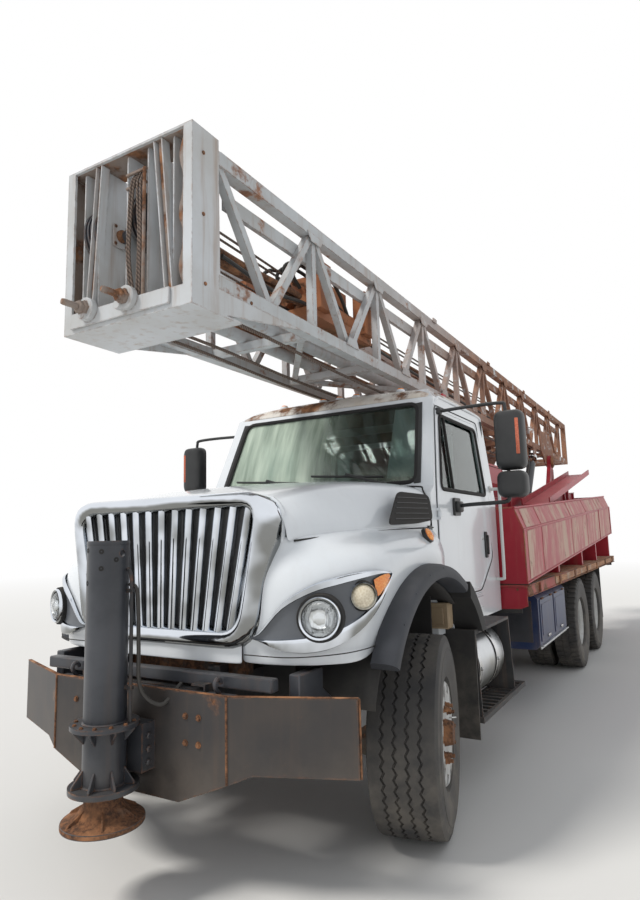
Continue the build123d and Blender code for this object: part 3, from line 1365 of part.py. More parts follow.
def rig():
    """Every node by name, standing on its stations from the front axle."""
    nodes = {
        "frame_rails": frame_rails(),
        "front_bumper": front_bumper(),
        "front_jack_housing": front_jack(),
        "engine_block": engine_block(),
        "front_axle": front_axle(),
        "rear_axles": rear_axles(),
        "cab_shell": cab_shell(),
        "cab_glass": cab_glass(),
        "cab_interior": cab_interior(),
        "fuel_tank": fuel_tank(),
        "cab_steps": cab_steps(),
        "deck": deck(),
        "bin_left": side_bin(),
        "bin_right": mirrored(side_bin()),
        "mast_rest": mast_rest(),
        "mast_tower": Compound([mast_tower(), *lift_lugs()]),
        "power_unit": power_unit(),
        "winch_frame": winch(),
        "winch_drum": winch_drum(),
        "underdeck_boxes": underdeck_boxes(),
        "rear_jack_housings": rear_jacks(),
        "mudflaps": mudflaps(),
        "hood_shell": hood_shell(),
        "grille": grille(),
        "grille_mesh": grille_mesh(),
        "headlights": headlights(),
        "fender_flares": fender_flares(),
        "mast_side_left": mast_side(),
        "mast_side_right": mirrored(mast_side()),
        "mast_lacing": mast_lacing(),
        "mast_feed": mast_feed(),
        "crown_box": crown_box(),
        "crown_sheaves": crown_sheaves(),
        "rotary_head": rotary_head(),
        "lift_barrels": lift_barrels(),
        "lift_rods": lift_rods(),
        "front_jack_leg": jack_leg(
            0, JACK_Y, JACK_TUBE_R - JACK_WALL - JACK_RUN, JACK_FOOT_R, JACK_FOOT_Z, JACK_LEG_TOP),
    }
    for name, side in SIDES:
        tyre, rim = front_wheel(side)
        nodes[f"tyre_front_{name}"] = tyre
        nodes[f"rim_front_{name}"] = rim
        nodes[f"knuckle_{name}"] = steered(sided(knuckle(), side), side)
        nodes[f"door_{name}"] = door(side)
        nodes[f"door_glass_{name}"] = door_glass(side)
        nodes[f"mirror_{name}"] = sided(mirror_head(), side)
        nodes[f"rear_jack_leg_{name}"] = jack_leg(
            side * REAR_JACK_X, REAR_JACK_Y, REAR_JACK_R - REAR_JACK_WALL - JACK_RUN,
            REAR_FOOT_R, REAR_FOOT_Z, REAR_JACK_TOP - 40)
        for number, y in enumerate(AXLES, 1):
            tyres, rims = rear_wheel(y, side)
            nodes[f"tyres_rear_{number}_{name}"] = tyres
            nodes[f"rims_rear_{number}_{name}"] = rims
    return nodes


REAR_END = MAST_TAIL
FRONT_END = JACK_Y - JACK_FOOT_R
CENTRE_Y = (REAR_END + FRONT_END) / 2

os.makedirs("parts", exist_ok=True)
for node, shape in rig().items():
    export_step(Pos(0, -CENTRE_Y, 0) * shape, f"parts/{node}.step")
print("nodes written; stations are moved by", -CENTRE_Y)
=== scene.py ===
# %% [markdown]
# # A truck-mounted drilling rig, dressed over its CAD frame
# The solids of the rig come from a CAD model. They hold the right sizes, places and
# joints, and this lesson adds what a camera sees: worn paint, rust, tyre treads, bolts,
# hoses and the trim of the truck. The frame is imported first and never moved, so every
# new piece is measured from it, in metres.

# %% The frame
from math import cos, pi, radians, sin

import bmesh
import bpy
from mathutils import Matrix, Vector


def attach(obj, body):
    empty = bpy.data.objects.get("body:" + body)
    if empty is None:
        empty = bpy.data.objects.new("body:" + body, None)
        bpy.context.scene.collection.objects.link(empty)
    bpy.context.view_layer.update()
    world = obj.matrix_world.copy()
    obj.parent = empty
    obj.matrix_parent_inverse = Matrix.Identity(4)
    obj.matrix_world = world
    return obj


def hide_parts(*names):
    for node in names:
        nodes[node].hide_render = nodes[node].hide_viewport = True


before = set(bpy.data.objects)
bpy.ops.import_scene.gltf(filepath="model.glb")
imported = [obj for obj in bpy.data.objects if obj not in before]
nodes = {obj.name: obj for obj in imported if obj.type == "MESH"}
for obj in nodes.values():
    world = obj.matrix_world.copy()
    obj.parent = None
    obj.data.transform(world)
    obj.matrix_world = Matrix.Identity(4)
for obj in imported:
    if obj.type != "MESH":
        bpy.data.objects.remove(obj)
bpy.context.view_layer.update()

# %% [markdown]
# A truck is drawn from its front axle: each thing has a station, counted rearward from
# that axle. The frame's own origin is below the middle of the rig, so one helper turns a
# station into the frame's coordinates, and the numbers below read like a truck drawing.

# %% Stations
FRONT_AXLE, WHEEL_HEIGHT = -4.0465, 0.535
REAR_AXLES = (5.000, 6.370)


def at(x, station, z):
    """A point given by its side, its station behind the front axle and its height."""
    return Vector((x, station + FRONT_AXLE, z))


print("front axle at", tuple(at(0, 0, WHEEL_HEIGHT)))

# %% [markdown]
# ## The camera
# A camera is a place, a direction and a lens. This one stands a few steps ahead
# of the bumper's left corner at about head height and looks back along the truck with a
# wide lens, which is what makes the crown of the mast so large above the cab. Its three axes
# are written as a matrix, because the horizon leans a little and a matrix can say so.

# %% Camera
CAMERA_PLACE, LENS = Vector((2.5007, -7.5555, 1.6410)), 25.28
CAMERA_RIGHT = Vector((0.86172, 0.50676, -0.02501))
CAMERA_UP = Vector((0.09083, -0.10558, 0.99025))
CAMERA_BACK = Vector((0.49918, -0.85560, -0.13701))
camera = bpy.data.objects.new("Camera", bpy.data.cameras.new("Camera"))
bpy.context.scene.collection.objects.link(camera)
camera.data.lens = LENS
camera.data.sensor_width = 36
camera.data.clip_start, camera.data.clip_end = 0.05, 400
turn = Matrix((CAMERA_RIGHT, CAMERA_UP, CAMERA_BACK)).transposed().to_4x4()
camera.matrix_world = Matrix.Translation(CAMERA_PLACE) @ turn
bpy.context.scene.camera = camera
bpy.context.scene.view_settings.view_transform = "Standard"
print("lens", camera.data.lens, "mm")

# %% [markdown]
# ## Node tools
# Every colour and mask here is worked out by shader nodes. A few short tools place a node,
# feed it and hand back its output, so that a finish later reads like a recipe.

# %% Small node tools
def node(tree, kind, **settings):
    """A shader node with its settings."""
    made = tree.nodes.new(kind)
    for name, value in settings.items():
        setattr(made, name, value)
    return made


def feed(tree, source, target):
    """Link an output to an input, or set a plain value on it."""
    if hasattr(source, "links"):
        tree.links.new(source, target)
    else:
        target.default_value = source


def own_place(tree):
    """A point's place on its own object, in metres."""
    return node(tree, "ShaderNodeTexCoord").outputs["Object"]


def part_of(tree, vector, axis):
    """One number of a vector."""
    made = node(tree, "ShaderNodeSeparateXYZ")
    feed(tree, vector, made.inputs[0])
    return made.outputs[axis]


def facing_up(tree):
    """How far a surface faces upward, from -1 to 1."""
    return part_of(tree, node(tree, "ShaderNodeNewGeometry").outputs["Normal"], "Z")


def scaled(tree, vector, factors):
    """A vector with each axis multiplied by its own factor."""
    made = node(tree, "ShaderNodeVectorMath", operation="MULTIPLY")
    feed(tree, vector, made.inputs[0])
    made.inputs[1].default_value = factors
    return made.outputs[0]


def blend(tree, share, low, high):
    """Two shaders mixed by a share."""
    made = node(tree, "ShaderNodeMixShader")
    for source, spot in ((share, 0), (low, 1), (high, 2)):
        feed(tree, source, made.inputs[spot])
    return made.outputs[0]


def raise_bump(tree, shader, height, strength, distance):
    """Let a height lift a shader's surface by up to a distance."""
    made = node(tree, "ShaderNodeBump")
    made.inputs["Strength"].default_value = strength
    made.inputs["Distance"].default_value = distance
    feed(tree, height, made.inputs["Height"])
    feed(tree, made.outputs[0], shader.inputs["Normal"])


def sum_up(tree, how, a, b, clamp=False):
    """A Math node of two values."""
    made = node(tree, "ShaderNodeMath", operation=how, use_clamp=clamp)
    feed(tree, a, made.inputs[0])
    feed(tree, b, made.inputs[1])
    return made.outputs[0]


def mix(tree, share, a, b):
    """A colour between a and b."""
    made = node(tree, "ShaderNodeMix", data_type="RGBA")
    for source, spot in ((share, 0), (a, 6), (b, 7)):
        feed(tree, source, made.inputs[spot])
    return made.outputs[2]


def ramp(tree, value, low, high, bottom=0.0, top=1.0):
    """A value stretched from low..high to bottom..top, and held there."""
    made = node(tree, "ShaderNodeMapRange", interpolation_type="SMOOTHSTEP")
    for source, spot in ((value, 0), (low, 1), (high, 2), (bottom, 3), (top, 4)):
        feed(tree, source, made.inputs[spot])
    return made.outputs[0]


def blotches(tree, where, size, detail=4.0, rough=0.6, seed=0.0):
    """Noise that counts in features per metre."""
    made = node(tree, "ShaderNodeTexNoise", noise_dimensions="4D")
    feed(tree, where, made.inputs["Vector"])
    feed(tree, seed, made.inputs["W"])
    feed(tree, size, made.inputs["Scale"])
    made.inputs["Detail"].default_value = detail
    made.inputs["Roughness"].default_value = rough
    return made.outputs["Fac"]


def effect(name, inputs, outputs):
    """An empty shader group with named sockets, and its two ends."""
    tree = bpy.data.node_groups.new(name, "ShaderNodeTree")
    for label, kind, value in inputs:
        spot = tree.interface.new_socket(name=label, in_out="INPUT", socket_type="NodeSocket" + kind)
        spot.default_value = value
    for label, kind in outputs:
        tree.interface.new_socket(name=label, in_out="OUTPUT", socket_type="NodeSocket" + kind)
    return tree, tree.nodes.new("NodeGroupInput"), tree.nodes.new("NodeGroupOutput")


print("node tools ready")

# %% [markdown]
# ## Light and floor
# A studio for a truck is a big white room: light comes from all round, with one soft key
# from the front so that the forms read. The world gives the even part and a broad sun the
# key. The background looks white because the world shows white to camera, mirror and
# glass rays, not because there is more light on the truck.

# %% World
ROOM_LIGHT = 0.62
world = bpy.data.worlds.new("Studio")
bpy.context.scene.world = world
world.use_nodes = True
sky = world.node_tree
sky.nodes.clear()
ray = node(sky, "ShaderNodeLightPath").outputs
seen = sum_up(sky, "MAXIMUM", ray["Is Camera Ray"], ray["Is Glossy Ray"])
seen = sum_up(sky, "MAXIMUM", seen, ray["Is Transmission Ray"])
rooms = []
for colour, strength in (((0.93, 0.96, 1, 1), ROOM_LIGHT), ((1, 1, 1, 1), 1)):
    room = node(sky, "ShaderNodeBackground")
    room.inputs["Color"].default_value = colour
    room.inputs["Strength"].default_value = strength
    rooms.append(room.outputs[0])
feed(sky, blend(sky, seen, *rooms), node(sky, "ShaderNodeOutputWorld").inputs[0])
print("room light", ROOM_LIGHT)

# %% Key light
key = bpy.data.objects.new("Key", bpy.data.lights.new("Key", "SUN"))
bpy.context.scene.collection.objects.link(key)
key.data.energy = 2.3
key.data.angle = radians(14)
key.data.color = (1, 0.975, 0.93)
key.visible_glossy = False
key.rotation_euler = Vector((0.50, 0.62, -0.95)).to_track_quat("-Z", "Y").to_euler()
print("key", key.data.energy)

# %% [markdown]
# The floor is one pale sheet. It keeps the rig's shadow near the wheels, and further out
# its own colour climbs to the white of the room, so that no hard line is left behind the
# truck.

# %% Floor
FLOOR_REACH, FADE_FROM, FADE_TO = 60, 9, 30
floor_mesh = bpy.data.meshes.new("Floor")
corners = [(-1, -1), (1, -1), (1, 1), (-1, 1)]
floor_mesh.from_pydata([(x * FLOOR_REACH, y * FLOOR_REACH, 0) for x, y in corners], [],
                       [(0, 1, 2, 3)])
floor = bpy.data.objects.new("Floor", floor_mesh)
bpy.context.scene.collection.objects.link(floor)
concrete = bpy.data.materials.new("floor")
concrete.use_nodes = True
tree = concrete.node_tree
tree.nodes.clear()
far = node(tree, "ShaderNodeVectorMath", operation="LENGTH")
feed(tree, own_place(tree), far.inputs[0])
fade = node(tree, "ShaderNodeMapRange")
feed(tree, far.outputs["Value"], fade.inputs["Value"])
fade.inputs["From Min"].default_value, fade.inputs["From Max"].default_value = FADE_FROM, FADE_TO
pale = node(tree, "ShaderNodeBsdfDiffuse")
pale.inputs["Color"].default_value = (0.74, 0.73, 0.71, 1)
both = blend(tree, fade.outputs[0], pale.outputs[0], node(tree, "ShaderNodeEmission").outputs[0])
feed(tree, both, node(tree, "ShaderNodeOutputMaterial").inputs[0])
floor_mesh.materials.append(concrete)
print("floor", FLOOR_REACH * 2, "m wide")

# %% [markdown]
# ## Shaping tools
# Most trim on a truck is bar, tube, plate and turned work. Each tool below adds one such
# shape to a workpiece, and a workpiece becomes one Blender object, smooth but for its
# sharp edges.
# Keeping the shapes in one mesh is quicker than many objects, and it lets a piece carry
# several finishes.

# %% Workpiece
SIDES = (("left", 1), ("right", -1))
BACKWARD, UPWARD = Vector((0, 1, 0)), Vector((0, 0, 1))
SIDEWAYS = Vector((1, 0, 0))


def grid_faces(rows, across, ring=False):
    """Four-sided faces between rows of points; a ring also joins each row's two ends."""
    return [[r * across + i, r * across + (i + 1) % across, (r + 1) * across + (i + 1) % across,
             (r + 1) * across + i]
            for r in range(rows - 1) for i in range(across if ring else across - 1)]


def around(count, start=0.0):
    """Angles evenly spaced round a circle."""
    return [2 * pi * (i + start) / count for i in range(count)]


def new_piece(name, data, finishes):
    """A smooth object in the scene from a mesh and its finishes."""
    piece = bpy.data.objects.new(name, data)
    bpy.context.scene.collection.objects.link(piece)
    for finish in finishes:
        data.materials.append(finish)
    data.shade_smooth()
    return piece


def mesh_of(shape, name):
    """The finished mesh of a shape under work."""
    data = bpy.data.meshes.new(name)
    shape.to_mesh(data)
    shape.free()
    return data


class Workpiece:
    """Shapes gathered in one mesh, which rides on a body when it is done."""

    def __init__(self, name):
        self.name, self.mesh, self.finishes, self.current = name, bmesh.new(), [], 0

    def use(self, finish):
        """The finish of the shapes that follow."""
        if finish not in self.finishes:
            self.finishes.append(finish)
        self.current = self.finishes.index(finish)
        return self

    def add(self, points, faces):
        spots = [self.mesh.verts.new(p) for p in points]
        for face in faces:
            made = self.mesh.faces.new([spots[i] for i in face])
            made.material_index = self.current
        return spots

    def skin(self, rows, ring=False, caps=False):
        """A surface through rows of points; caps close its first and last row."""
        n, faces = len(rows[0]), grid_faces(len(rows), len(rows[0]), ring)
        if caps:
            faces += [list(range(n)), list(range((len(rows) - 1) * n, len(rows) * n))]
        return self.add([p for row in rows for p in row], faces)

    def done(self, body, slot_name, sharp=40, replaces=None):
        """Close the workpiece, let it ride on a body and take a CAD node's place."""
        bmesh.ops.recalc_face_normals(self.mesh, faces=self.mesh.faces)
        data = mesh_of(self.mesh, self.name)
        piece = new_piece(self.name, data, self.finishes)
        data.set_sharp_from_angle(angle=radians(sharp))
        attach(piece, body)
        if replaces:
            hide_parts(replaces)
        print(self.name, len(data.polygons), "faces on", body)
        return piece


# %% [markdown]
# A sawn or folded part never has a knife-sharp edge, and it is the narrow bright line on
# the edge that tells the eye it is steel. So the block tool makes a box whose twelve
# edges are small chamfers from the start.

# %% Blocks and bars
BOX_CORNERS = [(sx, sy, sz) for sx in (-1, 1) for sy in (-1, 1) for sz in (-1, 1)]


def block(work, low, high, edge=0.004, frame_matrix=None):
    """A box between two corners with chamfered edges."""
    low, high = Vector(low), Vector(high)
    low, high = Vector(map(min, low, high)), Vector(map(max, low, high))
    edge = min(edge, *(s * 0.45 for s in (high - low)))
    mid, half = (low + high) / 2, (high - low) / 2
    points, index = [], {}
    for corner in BOX_CORNERS:
        for axis in range(3):
            reach = half - Vector((edge, edge, edge))
            reach[axis] = half[axis]
            index[(*corner, axis)] = len(points)
            points.append(mid + Vector(s * r for s, r in zip(corner, reach)))
    faces = []
    for axis in range(3):
        b, c = (axis + 1) % 3, (axis + 2) % 3
        for s in (-1, 1):
            ring = []
            for sb, sc in ((-1, -1), (1, -1), (1, 1), (-1, 1)):
                sign = [0, 0, 0]
                sign[axis], sign[b], sign[c] = s, sb, sc
                ring.append(index[(*sign, axis)])
            faces.append(ring)
        for sb in (-1, 1):
            for sc in (-1, 1):
                ends = []
                for s in (-1, 1):
                    sign = [0, 0, 0]
                    sign[axis], sign[b], sign[c] = s, sb, sc
                    ends.append((index[(*sign, b)], index[(*sign, c)]))
                faces.append([ends[0][0], ends[0][1], ends[1][1], ends[1][0]])
    faces += [[index[(*corner, axis)] for axis in range(3)] for corner in BOX_CORNERS]
    if frame_matrix is not None:
        points = [frame_matrix @ p for p in points]
    return work.add(points, faces)


def frame_between(a, b, up=(0, 0, 1)):
    """A frame at a whose Z runs to b, and whose Y leans toward up."""
    a, b = Vector(a), Vector(b)
    run = (b - a).normalized()
    side = Vector(up).cross(run)
    if side.length < 1e-4:
        side = Vector((1, 0, 0)).cross(run)
    side.normalize()
    rise = run.cross(side)
    return Matrix.Translation(a) @ Matrix((side, rise, run)).transposed().to_4x4()


def bar(work, a, b, wide, deep, edge=0.003, up=(0, 0, 1)):
    """A rectangular bar from a to b."""
    length = (Vector(b) - Vector(a)).length
    block(work, (-wide / 2, -deep / 2, 0), (wide / 2, deep / 2, length), edge, frame_between(a, b, up))


print("blocks and bars ready")

# %% [markdown]
# Round things are turned: a profile of radius and distance is swept round an axis, as on
# a lathe. Tubes and hoses are the same idea along a path, so the path tool carries a
# ring of points from station to station without letting it twist.

# %% Turned work and tubes
def turned(work, profile, a, axis, sides=24, closed=False):
    """A (radius, distance) profile turned round the axis that starts at a."""
    fit = frame_between(a, Vector(a) + Vector(axis))
    rings, points, faces = [], [], []
    for radius, distance in profile:
        if radius < 1e-6:
            rings.append([len(points)])
            points.append(fit @ Vector((0, 0, distance)))
            continue
        rings.append(list(range(len(points), len(points) + sides)))
        for angle in around(sides):
            points.append(fit @ Vector((radius * cos(angle), radius * sin(angle), distance)))
    pairs = list(zip(rings, rings[1:])) + ([(rings[-1], rings[0])] if closed else [])
    for low, high in pairs:
        for i in range(sides):
            j = (i + 1) % sides
            if len(low) == 1 and len(high) > 1:
                faces.append([low[0], high[i], high[j]])
            elif len(high) == 1 and len(low) > 1:
                faces.append([low[i], low[j], high[0]])
            elif len(low) > 1:
                faces.append([low[i], low[j], high[j], high[i]])
    return work.add(points, faces)


def round_bar(work, a, b, radius, sides=12, edge=0.002):
    """A round bar with small chamfers at both ends."""
    length = (Vector(b) - Vector(a)).length
    edge = min(edge, radius * 0.4, length * 0.3)
    profile = [(0, 0), (radius - edge, 0), (radius, edge), (radius, length - edge),
               (radius - edge, length), (0, length)]
    turned(work, profile, a, Vector(b) - Vector(a), sides)


def smooth_path(points, steps=6):
    """A soft curve through the given points."""
    points = [Vector(p) for p in points]
    if len(points) < 3:
        return points
    ends = [points[0] * 2 - points[1], *points, points[-1] * 2 - points[-2]]
    path = []
    for p0, p1, p2, p3 in zip(ends, ends[1:], ends[2:], ends[3:]):
        for i in range(steps):
            t = i / steps
            path.append(0.5 * (2 * p1 + (p2 - p0) * t + (2 * p0 - 5 * p1 + 4 * p2 - p3) * t * t
                               + (3 * p1 - p0 - 3 * p2 + p3) * t ** 3))
    return [*path, points[-1]]


def tube(work, points, radius, sides=8, steps=6):
    """A round tube along a soft path, closed at both ends."""
    path = smooth_path(points, steps)
    spots, side = [], None
    for i, p in enumerate(path):
        run = (path[min(i + 1, len(path) - 1)] - path[max(i - 1, 0)]).normalized()
        if side is None:
            side = run.orthogonal().normalized()
        side = (side - run * side.dot(run)).normalized()
        rise = run.cross(side)
        for angle in around(sides):
            spots.append(p + side * (radius * cos(angle)) + rise * (radius * sin(angle)))
    ends = [list(range(sides))[::-1], list(range(len(spots) - sides, len(spots)))]
    return work.add(spots, grid_faces(len(path), sides, ring=True) + ends)


print("turned work ready")

# %% [markdown]
# Plates are cut from sheet: a flat outline gets a thickness. The outline is drawn in two
# directions of choice, so the same tool cuts a gusset on the mast's side and a bracket
# across the bumper. Bolts are six-sided heads with a washer, and they are placed one by one
# where the real joint needs them.

# %% Plates and bolts
def plate(work, outline, origin, right, up, thick, edge=0.002):
    """A flat outline given a thickness along right x up, with chamfered rims."""
    right, up = Vector(right).normalized(), Vector(up).normalized()
    out, origin = right.cross(up), Vector(origin)
    count = len(outline)
    area = sum(a[0] * b[1] - b[0] * a[1] for a, b in zip(outline, outline[1:] + outline[:1]))
    if area < 0:
        outline = outline[::-1]
    inner = []
    for (ax, ay), (bx, by), (cx, cy) in zip(outline[-1:] + outline[:-1], outline, outline[1:] + outline[:1]):
        one, two = Vector((bx - ax, by - ay)), Vector((cx - bx, cy - by))
        one, two = one.normalized(), two.normalized()
        lean = Vector((-one.y, one.x)) + Vector((-two.y, two.x))
        lean = lean / max(0.3, lean.length_squared / 2)
        inner.append((bx + lean.x * edge, by + lean.y * edge))
    rows = [(inner, 0), (outline, edge), (outline, thick - edge), (inner, thick)]
    points = [origin + right * x + up * y + out * z for row, z in rows for x, y in row]
    faces = [list(range(count))[::-1], list(range(3 * count, 4 * count))]
    return work.add(points, faces + grid_faces(4, count, ring=True))


def box(left, low, right, high):
    """A rectangle's outline from two corners."""
    return [(left, low), (right, low), (right, high), (left, high)]


def side_plate(work, side, outline, x, thick, edge=0.002):
    """A plate drawn in side view (station, z) that thickens outward from x on either side."""
    plate(work, outline, at(x if side > 0 else -x - thick, 0, 0), BACKWARD, UPWARD, thick, edge)


def bolt(work, spot, out, size=0.012):
    """A hexagon head on a washer."""
    turned(work, [(0, 0), (size * 1.15, 0), (size * 1.15, size * 0.16), (0, size * 0.18)], spot, out, 12)
    turned(work, [(size * 0.9, size * 0.16), (size * 0.9, size * 0.62), (size * 0.78, size * 0.75),
                  (0, size * 0.75)], spot, out, 6)


def rounded(outline, radius, steps=4):
    """The outline with its corners turned into arcs."""
    made = []
    for a, b, c in zip(outline[-1:] + outline[:-1], outline, outline[1:] + outline[:1]):
        a, b, c = Vector(a), Vector(b), Vector(c)
        reach = min(radius, (a - b).length * 0.48, (c - b).length * 0.48)
        start, end = b + (a - b).normalized() * reach, b + (c - b).normalized() * reach
        for i in range(steps + 1):
            t = i / steps
            made.append(tuple(start * (1 - t) ** 2 + b * (2 * t * (1 - t)) + end * t ** 2))
    return made


print("plates and bolts ready")

# %% [markdown]
# ## Finishes
# A rig that has worked outdoors for years wears the same few marks in every finish:
# paint gone from the edges, rust that grows in patches and runs down from them, dust that
# settles low and on flat tops, and fine grain. Each of these is made once as a shader
# group that only gives masks, heights and colours. A finish then mixes them round its own paint.

# %% [markdown]
# Edge wear looks for places where the surface turns sharply. The bevel node gives the
# direction the surface would have if its edges were rounded, and where that differs from
# the true direction there is an edge close by. Noise breaks the line up, because no edge
# is worn evenly.

# %% Edge wear
edge_wear, wear_in, wear_out = effect(
    "edge wear", [("Width", "Float", 0.01), ("Amount", "Float", 0.5), ("Seed", "Float", 0.0)],
    [("Mask", "Float")])
round_edge = node(edge_wear, "ShaderNodeBevel", samples=4)
feed(edge_wear, wear_in.outputs["Width"], round_edge.inputs["Radius"])
shape = node(edge_wear, "ShaderNodeNewGeometry")
dot = node(edge_wear, "ShaderNodeVectorMath", operation="DOT_PRODUCT")
feed(edge_wear, round_edge.outputs[0], dot.inputs[0])
feed(edge_wear, shape.outputs["Normal"], dot.inputs[1])
turned_away = sum_up(edge_wear, "SUBTRACT", 1.0, dot.outputs["Value"])
spot = own_place(edge_wear)
broken = ramp(edge_wear, blotches(edge_wear, spot, 22.0, seed=wear_in.outputs["Seed"]), 0.40, 0.62)
strong = sum_up(edge_wear, "MULTIPLY", ramp(edge_wear, turned_away, 0.03, 0.30), broken)
feed(edge_wear, sum_up(edge_wear, "MULTIPLY", strong, wear_in.outputs["Amount"], True),
     wear_out.inputs["Mask"])
print("edge wear", len(edge_wear.nodes), "nodes")

# %% [markdown]
# Rust has a big pattern, which says where the paint has gone, and a small one, which gives
# it its grain of dark scale and orange powder. Cover sets how much of the surface it
# takes. Runs are the same noise squeezed sideways, so that it reads as streaks of water.

# %% Rust and runs
rust, rust_in, rust_out = effect(
    "rust", [("Size", "Float", 3.0), ("Cover", "Float", 0.3), ("Seed", "Float", 0.0)],
    [("Mask", "Float"), ("Colour", "Color"), ("Height", "Float")])
spot = own_place(rust)
seed = rust_in.outputs["Seed"]
patch = blotches(rust, spot, rust_in.outputs["Size"], 6.0, 0.66, seed)
level = sum_up(rust, "SUBTRACT", 0.78, sum_up(rust, "MULTIPLY", rust_in.outputs["Cover"], 0.62))
mask = ramp(rust, patch, sum_up(rust, "SUBTRACT", level, 0.05), sum_up(rust, "ADD", level, 0.05))
fine = blotches(rust, spot, 55.0, 5.0, 0.7, seed)
broad = blotches(rust, spot, 7.0, 4.0, 0.6, seed)
dark_or_warm = mix(rust, ramp(rust, fine, 0.35, 0.68), (0.055, 0.030, 0.020, 1), (0.235, 0.105, 0.050, 1))
powder = mix(rust, ramp(rust, broad, 0.45, 0.7), dark_or_warm, (0.360, 0.170, 0.080, 1))
feed(rust, mask, rust_out.inputs["Mask"])
feed(rust, powder, rust_out.inputs["Colour"])
feed(rust, sum_up(rust, "MULTIPLY", fine, mask), rust_out.inputs["Height"])

runs, runs_in, runs_out = effect("runs", [("Amount", "Float", 0.3), ("Seed", "Float", 0.0)],
                                 [("Mask", "Float")])
stripes = blotches(runs, scaled(runs, own_place(runs), (1, 1, 0.07)), 16.0, 4.0, 0.6, runs_in.outputs["Seed"])
feed(runs, sum_up(runs, "MULTIPLY", ramp(runs, stripes, 0.50, 0.74), runs_in.outputs["Amount"], True),
     runs_out.inputs["Mask"])
print("rust", len(rust.nodes), "runs", len(runs.nodes))

# %% [markdown]
# Dust needs two masks. One follows height above the road, since wheels throw dirt no
# higher than the sills, and one follows surfaces that face upward, where it stays.

# %% Dust and grain
dust, dust_in, dust_out = effect(
    "dust", [("Top", "Float", 1.3), ("Amount", "Float", 0.4), ("Seed", "Float", 0.0)], [("Mask", "Float")])
spot = own_place(dust)
low = ramp(dust, part_of(dust, spot, "Z"), dust_in.outputs["Top"], 0.2)
tops = sum_up(dust, "MULTIPLY", ramp(dust, facing_up(dust), 0.45, 0.95), 0.7)
settled = sum_up(dust, "ADD", low, tops, True)
patchy = ramp(dust, blotches(dust, spot, 6.0, 5.0, 0.65, dust_in.outputs["Seed"]), 0.30, 0.72)
feed(dust, sum_up(dust, "MULTIPLY", sum_up(dust, "MULTIPLY", settled, patchy), dust_in.outputs["Amount"],
                  True),
     dust_out.inputs["Mask"])

grain, grain_in, grain_out = effect(
    "grain", [("Size", "Float", 300.0), ("Seed", "Float", 0.0)], [("Height", "Float"), ("Tone", "Float")])
spot = own_place(grain)
feed(grain, blotches(grain, spot, grain_in.outputs["Size"], 3.0, 0.6, grain_in.outputs["Seed"]),
     grain_out.inputs["Height"])
feed(grain, blotches(grain, spot, 2.2, 5.0, 0.6, grain_in.outputs["Seed"]), grain_out.inputs["Tone"])
print("dust", len(dust.nodes), "grain", len(grain.nodes))

# %% [markdown]
# ### Worn paint
# One builder makes every painted finish. It starts from the paint's own tone, lays dust
# and runs over it, and lets rust through where the rust group or an edge says so. Only
# the numbers differ between a cab that was washed last week and a mast that was last
# painted ten years ago.

# %% Worn paint
def place_effect(tree, group, **values):
    """An effect group placed in a finish with its own values."""
    made = node(tree, "ShaderNodeGroup", node_tree=group)
    for label, value in values.items():
        made.inputs[label].default_value = value
    return made.outputs


def surface(name):
    """An empty finish with its shader and output."""
    made = bpy.data.materials.new(name)
    made.use_nodes = True
    tree = made.node_tree
    tree.nodes.clear()
    shader = tree.nodes.new("ShaderNodeBsdfPrincipled")
    tree.links.new(shader.outputs[0], tree.nodes.new("ShaderNodeOutputMaterial").inputs[0])
    return made, tree, shader


def toned(colour, factor):
    """A colour made darker or paler."""
    return (*(min(1, c * factor) for c in colour[:3]), 1)


def grow_with_station(tree, start, end):
    """A mask that grows from one station to another along the truck."""
    return ramp(tree, part_of(tree, own_place(tree), "Y"), start + FRONT_AXLE, end + FRONT_AXLE)


